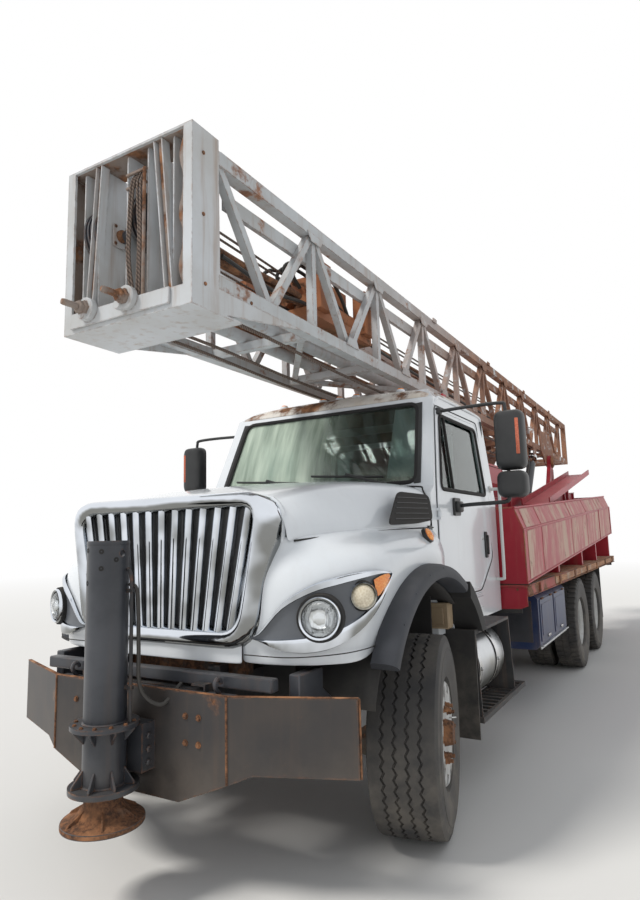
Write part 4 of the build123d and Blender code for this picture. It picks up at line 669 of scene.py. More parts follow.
def worn_paint(name, colour, tone=None, gloss=0.35, coat=0.0, rust_cover=0.1, rust_size=3.0, wear=0.4,
               wear_width=0.012, dirt=0.35, dirt_top=1.3, dirt_colour=(0.30, 0.26, 0.21, 1), run=0.15,
               run_colour=(0.30, 0.19, 0.12, 1), seed=0.0, stretch=None, top_rust=0.0, bump=0.15,
               rust_tint=None):
    """A painted steel finish with its own wear."""
    made, tree, shader = surface(name)
    fine = place_effect(tree, grain, Size=260.0, Seed=seed)
    paint = mix(tree, ramp(tree, fine["Tone"], 0.3, 0.7), colour, tone or toned(colour, 0.86))
    dirty = place_effect(tree, dust, Top=dirt_top, Amount=dirt, Seed=seed)
    streak = place_effect(tree, runs, Amount=run, Seed=seed)
    dusty = mix(tree, dirty["Mask"], paint, dirt_colour)
    marked = mix(tree, streak["Mask"], dusty, run_colour)
    rusty = place_effect(tree, rust, Size=rust_size, Cover=rust_cover, Seed=seed)
    edges = place_effect(tree, edge_wear, Width=wear_width, Amount=wear, Seed=seed)
    bare = sum_up(tree, "MAXIMUM", rusty["Mask"], edges["Mask"])
    if stretch:
        far = place_effect(tree, rust, Size=rust_size * 1.6, Cover=stretch[2], Seed=seed + 3)
        share = grow_with_station(tree, *stretch[:2])
        bare = sum_up(tree, "MAXIMUM", bare, sum_up(tree, "MULTIPLY", far["Mask"], share))
    if top_rust:
        broken = ramp(tree, place_effect(tree, grain, Size=9.0, Seed=seed + 5)["Height"], 0.35, 0.55)
        settled = sum_up(tree, "MULTIPLY", ramp(tree, facing_up(tree), 0.5, 0.9), broken)
        bare = sum_up(tree, "MAXIMUM", bare, sum_up(tree, "MULTIPLY", settled, top_rust))
    rust_colour = mix(tree, 0.45, rusty["Colour"], rust_tint) if rust_tint else rusty["Colour"]
    feed(tree, mix(tree, bare, marked, rust_colour), shader.inputs["Base Color"])
    rough = sum_up(tree, "ADD", gloss, sum_up(tree, "MULTIPLY", dirty["Mask"], 0.45))
    worn = sum_up(tree, "MAXIMUM", rough, sum_up(tree, "MULTIPLY", bare, 0.88))
    feed(tree, sum_up(tree, "MINIMUM", worn, 0.95), shader.inputs["Roughness"])
    if coat:
        clean = sum_up(tree, "SUBTRACT", 1.0, sum_up(tree, "MAXIMUM", bare, dirty["Mask"]), True)
        feed(tree, sum_up(tree, "MULTIPLY", clean, coat), shader.inputs["Coat Weight"])
        shader.inputs["Coat Roughness"].default_value = 0.08
    height = sum_up(tree, "ADD", sum_up(tree, "MULTIPLY", fine["Height"], 0.15),
                    sum_up(tree, "SUBTRACT", rusty["Height"], sum_up(tree, "MULTIPLY", bare, 0.6)))
    raise_bump(tree, shader, height, bump, 0.004)
    return made


# the cab white and its tone are tinted bluish: a painted sky reflection on white paint
cab_white = worn_paint("cab white", (0.77, 0.80, 0.83, 1), tone=(0.72, 0.755, 0.79, 1), gloss=0.22, coat=0.6,
                       rust_cover=0.02, wear=0.18, dirt=0.10, dirt_top=1.25,
                       dirt_colour=(0.44, 0.42, 0.38, 1), run=0.05, seed=1.0, bump=0.05)
roof_white = worn_paint("cab roof white", (0.76, 0.76, 0.74, 1), tone=(0.66, 0.58, 0.48, 1), gloss=0.4,
                        coat=0.2, rust_cover=0.40, rust_size=2.6, wear=0.5, dirt=0.12, run=0.25, seed=2.0)
frame_black = worn_paint("frame black", (0.024, 0.026, 0.030, 1), gloss=0.5, rust_cover=0.22, rust_size=4.0,
                         wear=0.6, dirt=0.40, dirt_colour=(0.13, 0.115, 0.10, 1), run=0.25, seed=3.0,
                         bump=0.25)
bumper_grey = worn_paint("bumper grey", (0.028, 0.027, 0.029, 1), tone=(0.056, 0.046, 0.040, 1), gloss=0.42,
                         rust_cover=0.22, rust_size=3.2, wear=1.0, wear_width=0.022, dirt=0.22, dirt_top=0.9,
                         run=0.16, run_colour=(0.14, 0.085, 0.055, 1), seed=4.0, bump=0.25)
jack_grey = worn_paint("jack grey", (0.026, 0.029, 0.036, 1), tone=(0.062, 0.066, 0.076, 1), gloss=0.34,
                       rust_cover=0.18, rust_size=4.5, wear=0.9, wear_width=0.016, dirt=0.2, dirt_top=0.9,
                       run=0.18, run_colour=(0.12, 0.075, 0.05, 1), seed=5.0, bump=0.25)
faded_red = worn_paint("faded red", (0.34, 0.008, 0.024, 1), tone=(0.42, 0.022, 0.040, 1), gloss=0.42,
                       rust_cover=0.12, rust_size=3.0, wear=0.8, wear_width=0.02, dirt=0.14, dirt_top=1.5,
                       run=0.3, seed=6.0)
mast_grey = worn_paint("mast grey", (0.56, 0.59, 0.61, 1), tone=(0.42, 0.43, 0.43, 1), gloss=0.5,
                       rust_cover=0.26, rust_size=4.5, wear=1.0, wear_width=0.018, dirt=0.15, run=0.45,
                       seed=7.0, stretch=(-0.2, 4.6, 0.62), top_rust=0.85, bump=0.3,
                       rust_tint=(0.40, 0.22, 0.155, 1))
crown_grey = worn_paint("crown grey", (0.60, 0.625, 0.65, 1), tone=(0.48, 0.48, 0.47, 1), gloss=0.5,
                        rust_cover=0.10, rust_size=3.0, wear=0.8, wear_width=0.016, dirt=0.12, run=0.55,
                        seed=8.0, bump=0.2)
crown_inside = worn_paint("crown inside", (0.34, 0.29, 0.26, 1), tone=(0.22, 0.17, 0.14, 1), gloss=0.7,
                          rust_cover=0.42, rust_size=4.0, wear=0.3, dirt=0.2, run=0.6, seed=17.0, bump=0.25)
orange_rust = worn_paint("orange rust", (0.40, 0.165, 0.075, 1), tone=(0.30, 0.11, 0.05, 1), gloss=0.7,
                         rust_cover=0.34, rust_size=6.0, wear=0.4, dirt=0.2, run=0.3, seed=18.0, bump=0.3)
rusty_steel = worn_paint("rusty steel", (0.23, 0.125, 0.075, 1), tone=(0.34, 0.17, 0.09, 1), gloss=0.75,
                         rust_cover=0.75, rust_size=5.0, wear=0.5, dirt=0.3, run=0.3, seed=9.0, bump=0.35)
rust_edge = worn_paint("rusted edge", (0.33, 0.15, 0.07, 1), tone=(0.46, 0.23, 0.11, 1), gloss=0.8,
                       rust_cover=0.6, rust_size=9.0, wear=0.3, dirt=0.2, run=0.1, seed=21.0, bump=0.3)
# tan here is painted shade on the cab's white lower corner; the rust and dirt on it are real
shaded_corner_tan = worn_paint("shaded corner tan", (0.42, 0.32, 0.20, 1), tone=(0.30, 0.22, 0.14, 1), gloss=0.6,
                       rust_cover=0.2, rust_size=7.0, wear=0.6, dirt=0.4, run=0.2, seed=31.0)
wheel_white = worn_paint("wheel white", (0.70, 0.71, 0.70, 1), gloss=0.32, rust_cover=0.14, rust_size=9.0,
                         wear=0.6, wear_width=0.01, dirt=0.45, dirt_top=1.2, run=0.15, seed=10.0, bump=0.12)
axle_iron = worn_paint("axle iron", (0.035, 0.032, 0.030, 1), gloss=0.65, rust_cover=0.50, rust_size=5.0,
                       wear=0.5, dirt=0.8, run=0.2, seed=11.0, bump=0.3)
box_blue = worn_paint("tool box blue", (0.010, 0.030, 0.105, 1), gloss=0.40, rust_cover=0.16, rust_size=4.0,
                      wear=0.7, dirt=0.3, run=0.25, seed=12.0)
edge_red = worn_paint("worn red edge", (0.36, 0.035, 0.035, 1), tone=(0.42, 0.10, 0.07, 1), gloss=0.6,
                      rust_cover=0.45, rust_size=3.5, wear=0.9, wear_width=0.02, dirt=0.4, dirt_top=1.6,
                      run=0.5, seed=16.0, stretch=(2.6, 5.0, 0.9))
print(len(bpy.data.materials), "finishes so far")

# %% [markdown]
# The long red sheets of the bins are bleached by the sun. Bleaching starts high and runs
# down in broad streaks, so this finish squeezes its noise upright and lets it choose
# between the old red, a pink between them and a chalky cream.

# %% Bleached sheet
faded_panel, tree, shader = surface("bleached sheet")
upright = scaled(tree, own_place(tree), (1, 1, 0.32))
streaky = blotches(tree, upright, 3.4, 5.0, 0.62, 2.0)
narrow = blotches(tree, upright, 17.0, 4.0, 0.6, 5.0)
both = sum_up(tree, "ADD", sum_up(tree, "MULTIPLY", streaky, 0.72), sum_up(tree, "MULTIPLY", narrow, 0.28))
pink = mix(tree, ramp(tree, both, 0.40, 0.50), (0.36, 0.022, 0.036, 1), (0.46, 0.17, 0.16, 1))
cream = mix(tree, ramp(tree, both, 0.46, 0.58), pink, (0.58, 0.42, 0.34, 1))
speck = place_effect(tree, rust, Size=5.0, Cover=0.24, Seed=13.0)
film = place_effect(tree, dust, Top=1.55, Amount=0.3, Seed=13.0)
feed(tree, mix(tree, speck["Mask"], mix(tree, film["Mask"], cream, (0.34, 0.28, 0.22, 1)), speck["Colour"]),
     shader.inputs["Base Color"])
feed(tree, ramp(tree, both, 0.4, 0.6, 0.45, 0.85), shader.inputs["Roughness"])
raise_bump(tree, shader, sum_up(tree, "ADD", both, speck["Height"]), 0.2, 0.003)
print("bleached sheet", len(tree.nodes), "nodes")

# %% [markdown]
# ### Bright metal, rubber, plastic and glass
# Chrome is a mirror with a skin of road film, which varies its roughness, and its colour
# carries a painted reflection: darker and browner on faces turned down, paler on faces
# turned up. Rubber keeps nearly the same roughness all over, but is paler where mud
# has dried on it. Black plastic fades to grey on its upward faces, and glass is clear with a
# faint green body and dust in its corners.

# %% Bright metal
def bright_metal(name, colour, clean, dull, film=0.35, brushed=0.0, seed=0.0, dirt=0.2, dirt_top=1.2,
                 reflection_shade=0.3):
    """A metal that mirrors under a film of road dirt; its colour holds a painted reflection, darker on faces
    turned down.
    """
    made, tree, shader = surface(name)
    fine = place_effect(tree, grain, Size=160.0, Seed=seed)
    dirty = place_effect(tree, dust, Top=dirt_top, Amount=dirt, Seed=seed)
    smear = sum_up(tree, "MULTIPLY", ramp(tree, fine["Tone"], 0.42, 0.7), film)
    hazy = sum_up(tree, "MAXIMUM", smear, dirty["Mask"])
    # painted reflection: a lit copy of the colour on faces turned up and a darker, browner copy on faces
    # turned down, broken by noise
    patches = blotches(tree, own_place(tree), 5.0, 2.0, 0.4, seed)
    broken = sum_up(tree, "MULTIPLY", sum_up(tree, "SUBTRACT", patches, 0.5), 1.4)
    turned_to = sum_up(tree, "ADD", facing_up(tree), broken)
    shadow = (colour[0] * (1 - reflection_shade), colour[1] * (1 - reflection_shade) * 0.97, colour[2] * (1 - reflection_shade) * 0.88, 1)
    lit = mix(tree, ramp(tree, turned_to, -0.30, 0.16), shadow, colour)
    feed(tree, mix(tree, sum_up(tree, "MULTIPLY", hazy, 0.5), lit, toned(colour, 0.55)),
         shader.inputs["Base Color"])
    feed(tree, ramp(tree, hazy, 0.0, 1.0, clean, dull), shader.inputs["Roughness"])
    shader.inputs["Metallic"].default_value = 1
    raise_bump(tree, shader, fine["Height"], 0.04 + brushed, 0.001)
    return made


# chrome and the lamp bowl carry a strong painted reflection, darker on faces turned down
chrome = bright_metal("chrome", (0.74, 0.78, 0.84, 1), 0.05, 0.22, film=0.4, seed=1.0, reflection_shade=0.66)
lamp_bowl = bright_metal("lamp bowl", (0.80, 0.82, 0.84, 1), 0.10, 0.25, film=0.2, seed=2.0, reflection_shade=0.5)
tank_metal = bright_metal("tank aluminium", (0.62, 0.64, 0.66, 1), 0.30, 0.62, film=0.8, brushed=0.1,
                          seed=3.0, dirt=0.6, dirt_top=1.1)
mirror_glass = bright_metal("mirror glass", (0.70, 0.73, 0.74, 1), 0.02, 0.2, film=0.1, seed=5.0, dirt=0.1)
rod_steel = bright_metal("rod steel", (0.62, 0.63, 0.64, 1), 0.16, 0.5, seed=4.0)
print("bright metals ready")

# %% Rubber and plastic
def dull_black(name, colour, faded, rough, dirt, dirt_top=1.2, grain_size=500.0, bump=0.1, seed=0.0,
               dirt_colour=(0.26, 0.23, 0.19, 1)):
    """Rubber or plastic that fades on top and gathers dirt below."""
    made, tree, shader = surface(name)
    fine = place_effect(tree, grain, Size=grain_size, Seed=seed)
    dirty = place_effect(tree, dust, Top=dirt_top, Amount=dirt, Seed=seed)
    edges = place_effect(tree, edge_wear, Width=0.01, Amount=0.5, Seed=seed)
    base = mix(tree, ramp(tree, fine["Tone"], 0.3, 0.72), colour, faded)
    pale = mix(tree, edges["Mask"], base, toned(faded, 1.7))
    feed(tree, mix(tree, dirty["Mask"], pale, dirt_colour), shader.inputs["Base Color"])
    feed(tree, ramp(tree, dirty["Mask"], 0.0, 1.0, rough, 0.95), shader.inputs["Roughness"])
    raise_bump(tree, shader, fine["Height"], bump, 0.002)
    return made


tread_rubber = dull_black("tread rubber", (0.032, 0.032, 0.034, 1), (0.070, 0.066, 0.062, 1), 0.82, 0.42,
                          dirt_top=1.0, bump=0.3, seed=1.0)
wall_rubber = dull_black("side wall rubber", (0.036, 0.036, 0.038, 1), (0.066, 0.062, 0.058, 1), 0.70, 0.55,
                         dirt_top=1.1, bump=0.2, seed=2.0)
groove_rubber = dull_black("groove rubber", (0.016, 0.016, 0.017, 1), (0.028, 0.026, 0.024, 1), 0.9, 0.25,
                           seed=3.0)
flap_rubber = dull_black("flap rubber", (0.020, 0.020, 0.021, 1), (0.045, 0.043, 0.041, 1), 0.75, 0.5,
                         seed=4.0)
black_plastic = dull_black("black plastic", (0.016, 0.017, 0.018, 1), (0.034, 0.035, 0.036, 1), 0.42, 0.2,
                           dirt_top=0.6, bump=0.06, seed=5.0)
flare_plastic = dull_black("flare plastic", (0.026, 0.028, 0.034, 1), (0.046, 0.050, 0.060, 1), 0.62, 0.12,
                           grain_size=700.0, bump=0.12, seed=6.0)
seat_vinyl = dull_black("seat vinyl", (0.11, 0.10, 0.09, 1), (0.16, 0.15, 0.13, 1), 0.55, 0.1, dirt_top=0.1,
                        grain_size=420.0, bump=0.2, seed=7.0)
# near-black lining for the cab's inside: its darkness is painted shade
painted_shade_lining = dull_black("painted shade lining", (0.050, 0.052, 0.052, 1), (0.075, 0.076, 0.074, 1), 0.8, 0.05,
                         dirt_top=0.1, grain_size=300.0, bump=0.15, seed=9.0)
hose_rubber = dull_black("hose rubber", (0.020, 0.020, 0.020, 1), (0.05, 0.045, 0.04, 1), 0.6, 0.2, seed=8.0)
screen_wire = dull_black("screen wire", (0.075, 0.078, 0.080, 1), (0.13, 0.13, 0.13, 1), 0.5, 0.1, seed=10.0)
lamp_mask = dull_black("lamp mask", (0.085, 0.092, 0.104, 1), (0.12, 0.13, 0.145, 1), 0.32, 0.1, bump=0.04,
                       seed=11.0)
print("rubber and plastic ready")

# %% Planks and rope
timber, tree, shader = surface("rust stained deck")
place_at = own_place(tree)
fibre = blotches(tree, scaled(tree, place_at, (6, 0.4, 6)), 9.0, 6.0, 0.7)
stained = mix(tree, ramp(tree, fibre, 0.3, 0.7), (0.20, 0.085, 0.045, 1), (0.54, 0.29, 0.16, 1))
grey_wood = mix(tree, ramp(tree, blotches(tree, place_at, 2.5, 5.0), 0.5, 0.66), stained,
                (0.46, 0.38, 0.30, 1))
feed(tree, grey_wood, shader.inputs["Base Color"])
feed(tree, ramp(tree, fibre, 0.2, 0.8, 0.7, 0.95), shader.inputs["Roughness"])
raise_bump(tree, shader, fibre, 0.4, 0.004)

wire_rope, tree, shader = surface("wire rope")
twist = node(tree, "ShaderNodeTexWave", wave_type="BANDS", bands_direction="DIAGONAL")
feed(tree, own_place(tree), twist.inputs["Vector"])
twist.inputs["Scale"].default_value = 26
strands = mix(tree, twist.outputs["Fac"], (0.060, 0.043, 0.035, 1), (0.205, 0.150, 0.118, 1))
feed(tree, strands, shader.inputs["Base Color"])
feed(tree, ramp(tree, twist.outputs["Fac"], 0.0, 1.0, 0.8, 0.6), shader.inputs["Roughness"])
raise_bump(tree, shader, twist.outputs["Fac"], 0.6, 0.003)
print("planks and rope ready")

# %% [markdown]
# Glass needs full transmission and almost no roughness. Light passes both faces of a pane,
# so even a pale green darkens what is behind it. The headlight's lens has fine ribs in its
# bump. Coloured lenses are not clear: their colour comes from small moulded cells, which
# mix the lens colour with a paler painted glow.

# %% Glass
def glass_surface(name):
    """An empty finish whose shader is clear glass."""
    made, tree, shader = surface(name)
    shader.inputs["Transmission Weight"].default_value = 1
    shader.inputs["IOR"].default_value = 1.45
    return made, tree, shader


def clear_glass(name, colour, ribs=0.0, film=0.04, seed=0.0):
    """A pane or lens with a thin film of dust."""
    made, tree, shader = glass_surface(name)
    fine = place_effect(tree, grain, Size=40.0, Seed=seed)
    feed(tree, mix(tree, ramp(tree, fine["Tone"], 0.5, 0.8, 0.0, film * 4), colour, (0.5, 0.48, 0.42, 1)),
         shader.inputs["Base Color"])
    feed(tree, ramp(tree, fine["Tone"], 0.4, 0.75, 0.01, film), shader.inputs["Roughness"])
    if ribs:
        lines = node(tree, "ShaderNodeTexWave", wave_type="BANDS", bands_direction="X")
        feed(tree, own_place(tree), lines.inputs["Vector"])
        lines.inputs["Scale"].default_value = ribs
        raise_bump(tree, shader, lines.outputs["Fac"], 0.5, 0.002)
    return made


pane = clear_glass("window glass", (0.50, 0.60, 0.58, 1), film=0.06, seed=1.0)
rear_pane = clear_glass("shaded glass", (0.10, 0.12, 0.12, 1), film=0.10, seed=3.0)
lens = clear_glass("lamp lens", (0.95, 0.96, 0.96, 1), ribs=18.0, seed=2.0)


def coloured_lens(name, colour, painted_glow):
    """A moulded lens whose cells mix its colour with a paler painted glow of light let through."""
    made, tree, shader = surface(name)
    cells = node(tree, "ShaderNodeTexVoronoi")
    feed(tree, own_place(tree), cells.inputs["Vector"])
    cells.inputs["Scale"].default_value = 90
    # painted glow: the cells blend the lens colour toward a paler copy that stands for light through the lens
    shade = mix(tree, cells.outputs["Distance"], colour, painted_glow)
    feed(tree, shade, shader.inputs["Base Color"])
    feed(tree, ramp(tree, cells.outputs["Distance"], 0.0, 1.0, 0.12, 0.3), shader.inputs["Roughness"])
    shader.inputs["Coat Weight"].default_value = 0.5
    raise_bump(tree, shader, cells.outputs["Distance"], 0.3, 0.001)
    return made


amber = coloured_lens("amber lens", (0.85, 0.16, 0.01, 1), (1.0, 0.42, 0.06, 1))
cream_lens = coloured_lens("cream lens", (0.62, 0.52, 0.36, 1), (0.85, 0.78, 0.62, 1))
old_amber = coloured_lens("old amber lens", (0.42, 0.07, 0.025, 1), (0.60, 0.16, 0.08, 1))
red_lens = coloured_lens("red lens", (0.45, 0.01, 0.01, 1), (0.8, 0.05, 0.03, 1))
print("glass and lenses ready")

# %% [markdown]
# The windshield is old and dusty. Dust on glass is not a colour of the glass: it is a thin
# layer that scatters light, so the material blends clear glass with a pale, rough coat by
# a mask of streaks. The passenger's half carries more of it, as on the real truck, where
# the driver keeps only one half clean.

# %% Dusty windshield
windshield_glass, tree, shader = glass_surface("dusty windshield")
shader.inputs["Base Color"].default_value = (0.28, 0.36, 0.34, 1)
shader.inputs["Roughness"].default_value = 0.03
spot = own_place(tree)
stretched = node(tree, "ShaderNodeMapping")
stretched.inputs["Rotation"].default_value = (0, radians(-28), 0)
stretched.inputs["Scale"].default_value = (9, 1, 1.1)
feed(tree, spot, stretched.inputs["Vector"])
streaks = node(tree, "ShaderNodeTexNoise")
streaks.inputs["Scale"].default_value = 1.6
streaks.inputs["Detail"].default_value = 5
feed(tree, stretched.outputs[0], streaks.inputs["Vector"])
across = ramp(tree, part_of(tree, spot, "X"), 0.35, -0.30, 0.05, 0.78)
low_edge = ramp(tree, part_of(tree, spot, "Z"), 2.16, 1.98, 0.0, 0.30)
cover = sum_up(tree, "MULTIPLY", ramp(tree, streaks.outputs["Fac"], 0.25, 0.75, 0.55, 1.1),
               sum_up(tree, "ADD", across, low_edge))
film_shader = node(tree, "ShaderNodeBsdfPrincipled")
feed(tree, mix(tree, streaks.outputs["Fac"], (0.42, 0.56, 0.44, 1), (0.66, 0.74, 0.63, 1)),
     film_shader.inputs["Base Color"])
film_shader.inputs["Roughness"].default_value = 0.35
ending = next(n for n in tree.nodes if n.bl_idname == "ShaderNodeOutputMaterial")
feed(tree, blend(tree, cover, shader.outputs[0], film_shader.outputs[0]), ending.inputs[0])
print("windshield ready")

# %% [markdown]
# ## Finishes on the CAD pieces
# Every CAD node gets a finish from this table, so a new node is one more name in it. Those
# whose own shape is good enough keep it, and the others are replaced further on.

# %% Assign finishes
GROUPS = {
    cab_white: "cab_shell hood_shell door_left door_right",
    frame_black: "frame_rails cab_steps",
    bumper_grey: "front_bumper",
    jack_grey: "front_jack_housing front_jack_leg rear_jack_housings rear_jack_leg_left rear_jack_leg_right"
               " crown_sheaves lift_barrels",
    axle_iron: "engine_block front_axle rear_axles knuckle_left knuckle_right",
    pane: "cab_glass door_glass_left door_glass_right",
    seat_vinyl: "cab_interior",
    tank_metal: "fuel_tank",
    edge_red: "deck",
    faded_red: "bin_left bin_right mast_rest mast_tower power_unit",
    rusty_steel: "winch_frame winch_drum",
    box_blue: "underdeck_boxes",
    flap_rubber: "mudflaps",
    chrome: "grille",
    black_plastic: "grille_mesh mirror_left mirror_right",
    lamp_bowl: "headlights",
    flare_plastic: "fender_flares",
    mast_grey: "mast_side_left mast_side_right mast_lacing mast_feed",
    crown_grey: "crown_box",
    orange_rust: "rotary_head",
    rod_steel: "lift_rods",
    tread_rubber: "tyre_front_left tyre_front_right",
    wheel_white: "rim_front_left rim_front_right",
}
FINISH_OF = {name: finish for finish, names in GROUPS.items() for name in names.split()}
for axle in ("1_left", "1_right", "2_left", "2_right"):
    FINISH_OF[f"tyres_rear_{axle}"] = tread_rubber
    FINISH_OF[f"rims_rear_{axle}"] = wheel_white
for name, finish in FINISH_OF.items():
    for socket in nodes[name].material_slots:
        socket.link = "OBJECT"
        socket.material = finish
    if not nodes[name].material_slots:
        nodes[name].data.materials.append(finish)
print(len(FINISH_OF), "of", len(nodes), "nodes have a finish")

# %% [markdown]
# ## The hood
# A truck hood of this kind is one big moulding: a raised middle that widens toward the
# cab, and two fenders that swell out round the wheels. It could be carved from a block,
# but a body panel is really a few smooth curves, so it is lofted here from rows of points
# and smoothed by a subdivision surface. The left half is drawn and mirrored, since the
# panel is symmetric.

# %% Panels
def thicken(piece, thick, offset):
    """Give a sheet its thickness."""
    sheet = piece.modifiers.new("sheet", "SOLIDIFY")
    sheet.thickness, sheet.offset = thick, offset


def smoothen(piece, levels):
    """Round a coarse mesh by subdivision."""
    smooth = piece.modifiers.new("smooth", "SUBSURF")
    smooth.levels = smooth.render_levels = levels


def panel(name, grids, finish, body, thick=0.012, sharp_rows=()):
    """Grids of points, mirrored to the other side, joined and smoothed into one panel."""
    mesh = bmesh.new()
    crease = mesh.edges.layers.float.new("crease_edge")
    for number, rows in enumerate(grids):
        for side in (1, -1):
            spots = [[mesh.verts.new((p[0] * side, p[1], p[2])) for p in row] for row in rows]
            for low, high in zip(spots, spots[1:]):
                for i in range(len(low) - 1):
                    mesh.faces.new([low[i], low[i + 1], high[i + 1], high[i]][::side])
            for grid, row in sharp_rows:
                if grid == number:
                    for a, b in zip(spots[row], spots[row][1:]):
                        mesh.edges.get((a, b))[crease] = 0.8
    bmesh.ops.remove_doubles(mesh, verts=mesh.verts, dist=0.0004)
    data = mesh_of(mesh, name)
    piece = new_piece(name, data, [finish])
    thicken(piece, thick, -1)
    smoothen(piece, 2)
    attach(piece, body)
    print(name, len(data.polygons), "control faces")
    return piece


# %% [markdown]
# The middle is drawn as cross sections at eight stations. Each section runs from the
# centre over a soft shoulder and down to the seam above the fender. The shoulder climbs
# and moves outward toward the cab.

# %% Middle of the hood
HOOD_SECTIONS = [
    # station, shoulder x, shoulder z, seam x, seam z
    (-0.850, 0.672, 1.852, 0.742, 1.640),
    (-0.780, 0.690, 1.872, 0.766, 1.648),
    (-0.600, 0.716, 1.910, 0.812, 1.662),
    (-0.400, 0.750, 1.945, 0.868, 1.675),
    (-0.150, 0.800, 1.972, 0.935, 1.686),
    (0.150, 0.872, 1.985, 0.978, 1.696),
    (0.380, 0.925, 1.980, 0.990, 1.702),
    (0.524, 0.955, 1.968, 0.992, 1.704),
]


def hood_section(station, shoulder_x, shoulder_z, seam_x, seam_z):
    """Points from the hood's centre line down to the seam."""
    drop = shoulder_z - seam_z
    places = [
        (0, shoulder_z + 0.026), (shoulder_x * 0.45, shoulder_z + 0.022),
        (shoulder_x - 0.13, shoulder_z + 0.006), (shoulder_x - 0.035, shoulder_z - 0.012),
        (shoulder_x + 0.012, shoulder_z - 0.055),
        (shoulder_x * 0.5 + seam_x * 0.5 + 0.02, shoulder_z - drop * 0.55), (seam_x + 0.004, seam_z + 0.03),
        (seam_x + 0.004, seam_z - 0.02),
    ]
    return [at(x, station, z) for x, z in places]


middle_rows = [hood_section(*numbers) for numbers in HOOD_SECTIONS]
print("middle", len(middle_rows), "sections, widest", max(r[3] for r in HOOD_SECTIONS))

# %% [markdown]
# The fender is easier to draw from above: one plan curve leaves the grille, turns the
# corner and runs back beside the wheel. Each row of the grid is that curve at another
# height. The lowest row rises over the wheel arch, and the top rows lean in to the seam.

# %% Fenders
FENDER_PLAN = [
    (0.520, -0.944), (0.660, -0.936), (0.790, -0.912), (0.905, -0.858), (0.995, -0.775), (1.060, -0.670),
    (1.100, -0.540), (1.115, -0.380), (1.118, -0.180), (1.118, 0.080), (1.112, 0.320), (1.080, 0.524),
]
CREST = [1.44, 1.45, 1.462, 1.478, 1.492, 1.505, 1.520, 1.535, 1.550, 1.562, 1.560, 1.545]
SEAM = [
    (0.600, -0.852, 1.628), (0.690, -0.846, 1.634), (0.752, -0.812, 1.644), (0.786, -0.720, 1.652),
    (0.812, -0.620, 1.660), (0.842, -0.520, 1.666), (0.868, -0.420, 1.673), (0.900, -0.290, 1.680),
    (0.936, -0.150, 1.686), (0.970, 0.080, 1.694), (0.988, 0.320, 1.700), (0.992, 0.524, 1.704),
]
ARCH_STATION, ARCH_HEIGHT, ARCH_RADIUS = 0.1, 0.592, 0.806
fender_rows = []
for share in (0.0, 0.06, 0.35, 0.7, 0.92):
    row = []
    for (x, station), crest in zip(FENDER_PLAN, CREST):
        reach = ARCH_RADIUS ** 2 - (station - ARCH_STATION) ** 2
        floor_z = max(1.034, ARCH_HEIGHT + reach ** 0.5 if reach > 0 else 0)
        pull = 0.03 * (1 - share) ** 2
        row.append(at(x - pull * 0.4, station + pull * (0.9 if station < -0.7 else 0),
                      floor_z + (crest - floor_z) * share))
    fender_rows.append(row)
for share, lift in ((0.10, 0.012), (0.34, 0.022), (0.70, 0.006), (0.96, 0.0), (1.06, 0.0)):
    row = []
    for (x, station), crest, (seam_x, seam_station, seam_z) in zip(FENDER_PLAN, CREST, SEAM):
        ease = share ** 0.85
        height = crest + (seam_z - crest) * share + lift
        row.append(at(x + (seam_x - x) * ease, station + (seam_station - station) * ease, height))
    fender_rows.append(row)
apron_rows = [
    [at(x, station, z) for x, station in ((0, -0.962), (0.24, -0.958), (0.42, -0.951), (0.532, -0.943))]
    for z, station in ((1.034, 0), (1.045, 0), (1.085, 0), (1.135, 0), (1.160, 0))
]
hood_panels = panel("hood_panels", [middle_rows, fender_rows, apron_rows], cab_white, "hood",
                    sharp_rows=[(1, 1)])
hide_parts("hood_shell")

# %% [markdown]
# Where the middle meets the fender the real hood has a rubber-filled groove. A thin dark
# tube laid along the seam draws that line from every side, which a painted line would
# not.

# %% Seams
seams = Workpiece("hood_seams").use(groove_rubber)
for side in (1, -1):
    tube(seams, [at(side * (x + 0.012), station, z - 0.016) for x, station, z in SEAM[2:]], 0.005, 6)
    tube(seams, [at(side * x, 0.532, z) for x, z in ((0.2, 1.985), (0.85, 1.972), (0.945, 1.93),
                                                     (0.985, 1.75), (0.990, 1.60))], 0.006, 6)
seams.done("hood", "black_plastic")

# %% [markdown]
# ## The grille
# The grille is one chrome moulding: a deep rounded surround, wider at the top, with
# upright bars in front of a black screen. A mirror finish only looks right on a surface
# that really curves, so the surround is swept as a soft section round a rounded outline
# instead of being cut from a flat frame.

# %% Surround
def grille_outline(top_half, bottom_half, low, high, corner, steps=6):
    """The grille's rounded front view as (x, z) points."""
    corners = [(-bottom_half, low), (bottom_half, low), (top_half, high), (-top_half, high)]
    return rounded(corners, corner, steps)


RINGS = [
    # top half, bottom half, low, high, corner, station
    (0.690, 0.590, 1.120, 1.815, 0.180, -0.770),
    (0.728, 0.612, 1.098, 1.850, 0.188, -0.800),
    (0.742, 0.622, 1.092, 1.868, 0.190, -0.850),
    (0.738, 0.618, 1.094, 1.874, 0.188, -0.905),
    (0.722, 0.600, 1.104, 1.880, 0.178, -0.955),
    (0.700, 0.574, 1.124, 1.868, 0.160, -0.984),
    (0.676, 0.548, 1.148, 1.846, 0.140, -0.992),
    (0.656, 0.524, 1.172, 1.822, 0.125, -0.984),
    (0.644, 0.508, 1.190, 1.802, 0.115, -0.962),
    (0.640, 0.502, 1.196, 1.796, 0.110, -0.925),
]
surround = Workpiece("grille_surround").use(chrome)
rings = [[at(x, ring[5], z) for x, z in grille_outline(*ring[:5])] for ring in RINGS]
surround.skin(rings, ring=True)

